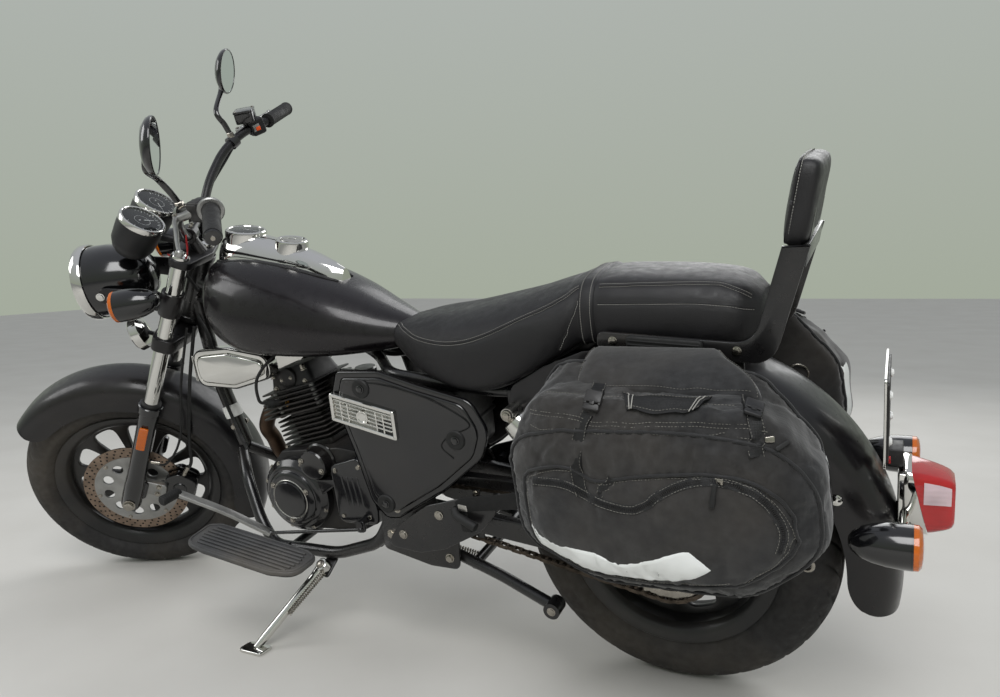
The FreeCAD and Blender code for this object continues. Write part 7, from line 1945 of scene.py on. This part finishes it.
def bagPieces():
    raw = bagShape()
    first = Drape(raw)
    pocket = first.seam(pocketLine, 330, 0, 200, True)[0]
    rim = first.seam(rimLine, 304, 0, 220, True)[0]
    backRim = first.seam([(x, z) for x, z, _ in bagLines["back"]], 196, 0, 120, True)[0]
    panels = [first.seam(s, y, 0, 90)[0] for s, y in (([(150, 672), (112, 668), (66, 662), (30, 656),
                                                        (-63, 661), (-137, 664), (-220, 664)], 300),
                                                      ([(128, 702), (60, 694), (-60, 692), (-170, 694)],
                                                       280))]
    seams = [pocket, rim, backRim, *panels]
    skin = stuffed(raw, seams, **bagCloth, floor=lambda p: (p[:, 1] < 192) * 1.0)
    away = unit(skin[0] - (-50, 240, 540))
    near = toSeams(skin[0], seams)
    x, y, z = skin[0].T
    free = np.clip(near / 24, 0, 1) * np.clip((y - 196) / 20, 0, 1)
    folds = ripples(skin[0], 34, 2.0)
    recess = np.exp(-((z - 612) / 34) ** 2) * np.exp(-((x + 20) / 120) ** 4) * (y > 280)
    creases = np.sin(x / 9.5 + 2.4 * np.sin(z / 31 + 1) + 0.8 * np.sin(x / 23)) * recess
    sag = np.exp(-((z - 440) / 46) ** 2) * (y > 250)
    size = {"folds": 3.0, "creases": 3.0, "recess": 6.0, "sag": 3.0, "seam": 1.8}
    shift = size["folds"] * folds * free + size["creases"] * creases * free - size["recess"] * recess
    shift = shift + size["sag"] * sag - size["seam"] * np.exp(-(near / 5) ** 2)
    skin = (skin[0] + away * shift[:, None], skin[1])
    drape = Drape(skin)
    for name, shape, solid in (("bagLeft", skin, "saddlebag_left"),
                               ("bagRight", mirror(skin), "saddlebag_right")):
        bag = piece(name, "frame", "bagFabric", shape, hides=[solid], crease=70)

    def piping(spots, y, radius):
        path = drape.seam(spots, y, radius * 0.35, 220, True)[0]
        for _ in range(3):
            path = (np.roll(path, 1, 0) + 2 * path + np.roll(path, -1, 0)) / 4
        return swept(np.concatenate([path, path[:2]]), circle(radius, 10))

    trims = [piping(pocketLine, 330, 2.8), piping(rimLine, 304, 3.0),
             piping([(x, z) for x, z, _ in bagLines["back"]], 200, 3.0)]
    piece("bagPiping", "frame", "bagTrim", both(join(*trims)))

    threads = []

    def sewn(spots, y, gap=None, wrap=False):
        path, normal = drape.seam(spots, y, 0.9, 160, wrap)
        shift = unit(np.cross(np.gradient(path, axis=0) + 1e-9, normal))
        for d in ((-gap / 2, gap / 2) if gap else (0,)):
            threads.append(stitches(path + shift * d, normal, **bagThread))

    sewn([(150, 672), (112, 668), (66, 662), (30, 656), (-63, 661), (-137, 664), (-220, 664)], 300, 6)
    sewn([(144, 652), (73, 644), (12, 640), (-65, 643), (-138, 649), (-200, 650)], 300)
    sewn([(128, 702), (60, 694), (-60, 692), (-170, 694)], 280)
    sewn([(x * 0.955 - 2, 500 + (z - 500) * 0.93) for x, z in pocketLine], 331, None, True)
    zipLine = [(147, 562), (88, 562), (40, 543), (-15, 533), (-46, 545), (-85, 572), (-125, 588),
               (-165, 590), (-200, 580), (-228, 556), (-244, 520), (-238, 486)]
    path, normal = drape.seam(zipLine, 332, 0.2, 180)
    side = unit(np.cross(np.gradient(path, axis=0) + 1e-9, normal))
    tape = np.stack([drape.on(path + side * d, h)[0] for d, h in ((-8, -1), (-7.6, 0.9), (-2, 1.2),
                                                                  (0, 1.0), (2, 1.2), (7.6, 0.9), (8, -1))],
                    1)
    piece("bagZipTape", "frame", "bagTrim", both(grid(tape)), crease=70)
    tooth = rod((0, -2.6, 0.3), (0, 2.6, 0.3), 1.0, 6)
    spots, ahead = alongPath(path, 3.0, 1.5)
    near = ((path[None] - spots[:, None]) ** 2).sum(-1).argmin(1)
    teeth = copies(tooth, frames(spots + normal[near] * 1.4, normal[near], ahead))
    piece("bagZipTeeth", "frame", "plastic", both(teeth))
    for d in (-6, 6):
        threads.append(stitches(path + side * d + normal * 1.0, normal, **bagThread))

    def at(x, z, y, lift=0.0, ahead=(0, 0, 1)):
        spot, out = drape.on(np.array([[x, y, z]], float), lift)
        return frames(spot, out, ahead)[0]

    pulls = [(plate(softCorners([(-3.5, -18, 3), (3.5, -18, 3), (4.5, 20, 4), (-4.5, 20, 4)]), 2, 6, 1.6,
                    plane="xy"), at(-152, 572, 332, ahead=(1, 0, 0.15))),
             (plate(softCorners([(-3, -12, 2), (3, -12, 2), (3.5, 12, 3), (-3.5, 12, 3)]), 2, 5, 1.2,
                    plane="xy"), at(-240, 642, 300, ahead=(0.5, 0, 0.9)))]
    slider = plate(softCorners([(-5, -7, 2), (5, -7, 2), (4, 7, 2), (-4, 7, 2)]), 0.5, 4, 1.2, plane="xy")
    piece("bagZipPulls", "frame", "softRubber", both(join(*[moved(s, p) for s, p in pulls])))
    piece("bagZipSliders", "frame", "boltSteel",
          both(join(moved(slider, at(-157, 592, 332)), moved(slider, at(-222, 650, 300)))))

    rows = []
    upper = eased([(171, 478), (150, 462), (118, 453), (60, 452), (36, 449), (10, 438), (-22, 445),
                   (-110, 477)], 60)
    lower = eased([(168, 446), (140, 424), (100, 408), (50, 398), (0, 397), (-50, 404), (-100, 420),
                   (-142, 448)], 60)
    for s in np.linspace(0, 1, 14):
        flat = upper * (1 - s) + lower * s
        rows.append(np.column_stack([flat[:, 0], np.full(60, 332.0), flat[:, 1]]))
    lift = np.full((14, 60), 1.3)
    lift[0] = lift[-1] = -0.6
    lift[:, 0] = lift[:, -1] = -0.6
    panel, _ = drape.on(np.array(rows), lift)
    piece("bagPanel", "frame", "whiteBand", both(grid(panel)), crease=50)

    webs = []

    def strap(points, width):
        line = eased(points, 50)
        web, normals = drape.ribbon(line, width)
        webs.append(grid(web))
        for column in (2, 6):
            threads.append(stitches(web[:, column] + normals * 0.3, normals, **webThread))

    strap([(52, 236, 716), (46, 262, 706), (42, 286, 694)], 22)
    strap([(44, 296, 672), (56, 306, 652), (64, 318, 620), (66, 328, 588), (62, 332, 562), (58, 332, 548)],
          21)
    strap([(-190, 240, 716), (-196, 262, 706), (-199, 284, 694)], 22)
    strap([(-200, 292, 682), (-203, 300, 664), (-206, 310, 644), (-207, 318, 628)], 22)
    top = np.linspace((2, 268, 708), (-136, 268, 710), 7)
    low = np.linspace((-10, 296, 676), (-124, 296, 680), 7)
    patch = np.stack([drape.on(top * (1 - t) + low * t, h)[0]
                      for t, h in ((0, 2.5), (0.35, 5.5), (0.7, 7.5), (1, 7.5))])
    patch = np.stack([eased(patch[:, k], 16) for k in range(7)], 1)
    patch = np.stack([eased(row, 60) for row in patch])
    backSide = patch - (0, 3.2, 2.4)
    ring = np.concatenate([patch, backSide[::-1]])
    webs.append(capped(np.transpose(ring, (1, 0, 2))))
    for row in (1, 14):
        threads.append(stitches(patch[row] + (0, 0.4, 0.4), (0, 0.7, 0.7), **webThread))
    strap([(8, 330, 580), (20, 332, 560), (26, 332, 548)], 14)
    strap([(-258, 262, 470), (-262, 258, 448), (-260, 250, 436)], 18)
    piece("bagWebbing", "frame", "webbing", both(join(*webs)), crease=60)
    marks = [swept(eased(patch[:, column] + (0, 0.5, 0.5), 20), circle(0.9, 8), (1, 0, 0))
             for column in (4, 7, 52, 55)]
    piece("bagHandleMarks", "frame", "thread", both(join(*marks)))
    clips = [buckle(at(42, 686, 292, 2.5, ahead=(1, 0, 0.1))),
             buckle(at(-200, 692, 288, 2.5, ahead=(1, 0, -0.05)))]
    piece("bagBuckles", "frame", "plastic", both(join(*clips)))
    rings = [ringOf(at(-209, 592, 188, 3)[:3, 3], (0.15, 1, 0.15), 20, 2.0),
             ringOf(at(-262, 428, 250, 6)[:3, 3], (0.3, 1, -0.2), 13, 3.0)]
    piece("bagRings", "frame", "boltSteel", both(join(*rings)))
    y, z = np.meshgrid(np.linspace(206, 240, 8), np.linspace(604, 474, 18))
    patchEnd, _ = drape.on(np.stack([np.full(y.shape, -300.0), y, z], -1), 1.2)
    piece("bagEndPanels", "frame", "whiteBand", both(grid(patchEnd)), crease=50)

    depth = eased([(142.5, 733, 88, -126), (146, 739, 90, -130), (160, 741, 92, -136), (184, 738, 93, -150),
                   (204, 731, 94, -172), (224, 721, 94, -192), (242, 708, 92, -204), (252, 698, 88, -206)],
                  46)
    share = np.linspace(0, 1, 50)
    rows = []
    for y, z, x0, x1 in depth:
        crown = np.minimum(1, np.minimum(share, 1 - share) / 0.06) ** 0.5
        wave = np.sin(share * 21 + y * 0.05 + 1.5 * np.sin(share * 9))
        crease = 2.2 * wave * np.sin(math.pi * share) * (y - 138) / 110
        over = np.column_stack([x0 + (x1 - x0) * share, np.full(50, y), z - 12 + 12 * crown + crease * 0.8])
        rows.append(np.concatenate([over, [(x1, y, z - 20), (x0, y, z - 20)]]))
    rows = np.array(rows)
    piece("bagYoke", "frame", "bagFabric", both(capped(rows)), crease=60)
    front = plate(softCorners([(86, 702, 6), (90, 736, 6), (-128, 736, 6), (-122, 702, 6)]), 142.4, 148, 2,
                  dome=1)
    piece("bagYokeFront", "frame", "bagFabric", both(front), crease=60)
    edge, far, out = rows[::3, 1] + (0, 0, 1.5), rows[::3, 48] + (0, 0, 1.5), rows[-4, 2:48] + (0, 0, 1.2)
    for line in (edge, far, out):
        threads.append(stitches(eased(line, 60), (0, 0.4, 0.9), **webThread))
    piece("bagStitches", "frame", "bagThread", both(join(*threads)))


bagPieces()
print("stage: bags")


# Camera, light and floor

lamps = {
    "keyLamp": ((-1.4, 2.6, 3.4), (0, 0, 0.5), 2.2, 100),  # place, aim, size in metres and watts
    "frontLamp": ((2.8, 1.6, 2.4), (0.4, 0, 0.6), 1.6, 26),
    "backLamp": ((-0.4, -3.0, 2.6), (0, 0, 0.7), 2.4, 44),
}


def cameraAndStage():
    # The photograph's view, a pale floor and backdrop, and broad soft lamps.
    size = {"place": (-1.0263, 1.4755, 0.8583), "yaw": 26.7, "pitch": 6.49, "roll": -1.4, "focal": 817.16,
            "centre": (489.2, 350.7), "frame": (1000, 697)}
    yaw, pitch, roll = (math.radians(size[k]) for k in ("yaw", "pitch", "roll"))
    ahead = np.array([math.sin(yaw) * math.cos(pitch), -math.cos(yaw) * math.cos(pitch), -math.sin(pitch)])
    right = unit(np.cross(ahead, (0, 0, 1)))
    up = np.cross(right, ahead)
    right, up = right * math.cos(roll) + up * math.sin(roll), up * math.cos(roll) - right * math.sin(roll)
    camera = bpy.data.objects.new("camera", bpy.data.cameras.new("camera"))
    bpy.context.scene.collection.objects.link(camera)
    place = np.eye(4)
    place[:3, :3], place[:3, 3] = np.column_stack([right, up, -ahead]), size["place"]
    camera.matrix_world = Matrix(place.tolist())
    wide, high = size["frame"]
    camera.data.sensor_width = 36.0
    camera.data.lens = size["focal"] * 36 / wide
    camera.data.shift_x = (wide / 2 - size["centre"][0]) / wide
    camera.data.shift_y = (size["centre"][1] - high / 2) / wide
    camera.data.clip_start, camera.data.clip_end = 0.02, 60
    bpy.context.scene.camera = camera

    floor = bpy.data.objects.new("floor", bpy.data.meshes.new("floor"))
    reach = 14.0
    floor.data.from_pydata([(-reach, -reach, 0), (reach, -reach, 0), (reach, reach, 0), (-reach, reach, 0)],
                           [], [(0, 1, 2, 3)])
    bpy.context.scene.collection.objects.link(floor)
    made = bpy.data.materials.new("floorStone")
    made.use_nodes = True
    tree = made.node_tree
    where = node(tree, "ShaderNodeTexCoord").outputs["Object"]
    cloud = node(tree, "ShaderNodeTexNoise", {"Vector": where, "Scale": 3.0, "Detail": 8.0}).outputs["Fac"]
    tone = node(tree, "ShaderNodeMix", {"Factor": cloud}, data_type="RGBA")
    tone.inputs[6].default_value = (*linear("c2bfb9"), 1)
    tone.inputs[7].default_value = (*linear("d2d0cb"), 1)
    tree.links.new(tone.outputs[2], tree.nodes["Principled BSDF"].inputs["Base Color"])
    tree.nodes["Principled BSDF"].inputs["Roughness"].default_value = 0.85
    floor.data.materials.append(made)

    world = bpy.data.worlds.new("studio")
    bpy.context.scene.world = world
    world.use_nodes = True
    tree = world.node_tree
    back = tree.nodes["Background"]
    direction = node(tree, "ShaderNodeTexCoord").outputs["Generated"]
    height = node(tree, "ShaderNodeSeparateXYZ", {0: direction}).outputs["Z"]
    sky = node(tree, "ShaderNodeMix", {"Factor": ranged(tree, height, 0.0, 1.0, -0.1, 0.9)},
               data_type="RGBA")
    sky.inputs[6].default_value = (*linear("cfd8c4"), 1)
    sky.inputs[7].default_value = (*linear("f2f6ff"), 1)
    tree.links.new(sky.outputs[2], back.inputs["Color"])
    back.inputs["Strength"].default_value = 0.58

    for name, (at, aim, wide, power) in lamps.items():
        lamp = bpy.data.objects.new(name, bpy.data.lights.new(name, "AREA"))
        lamp.data.size, lamp.data.energy = wide, power
        lamp.location = at
        lamp.rotation_euler = (Vector(aim) - Vector(at)).to_track_quat("-Z", "Y").to_euler()
        bpy.context.scene.collection.objects.link(lamp)
    bpy.context.scene.view_settings.view_transform = "Standard"


cameraAndStage()
print("stage: camera and light")
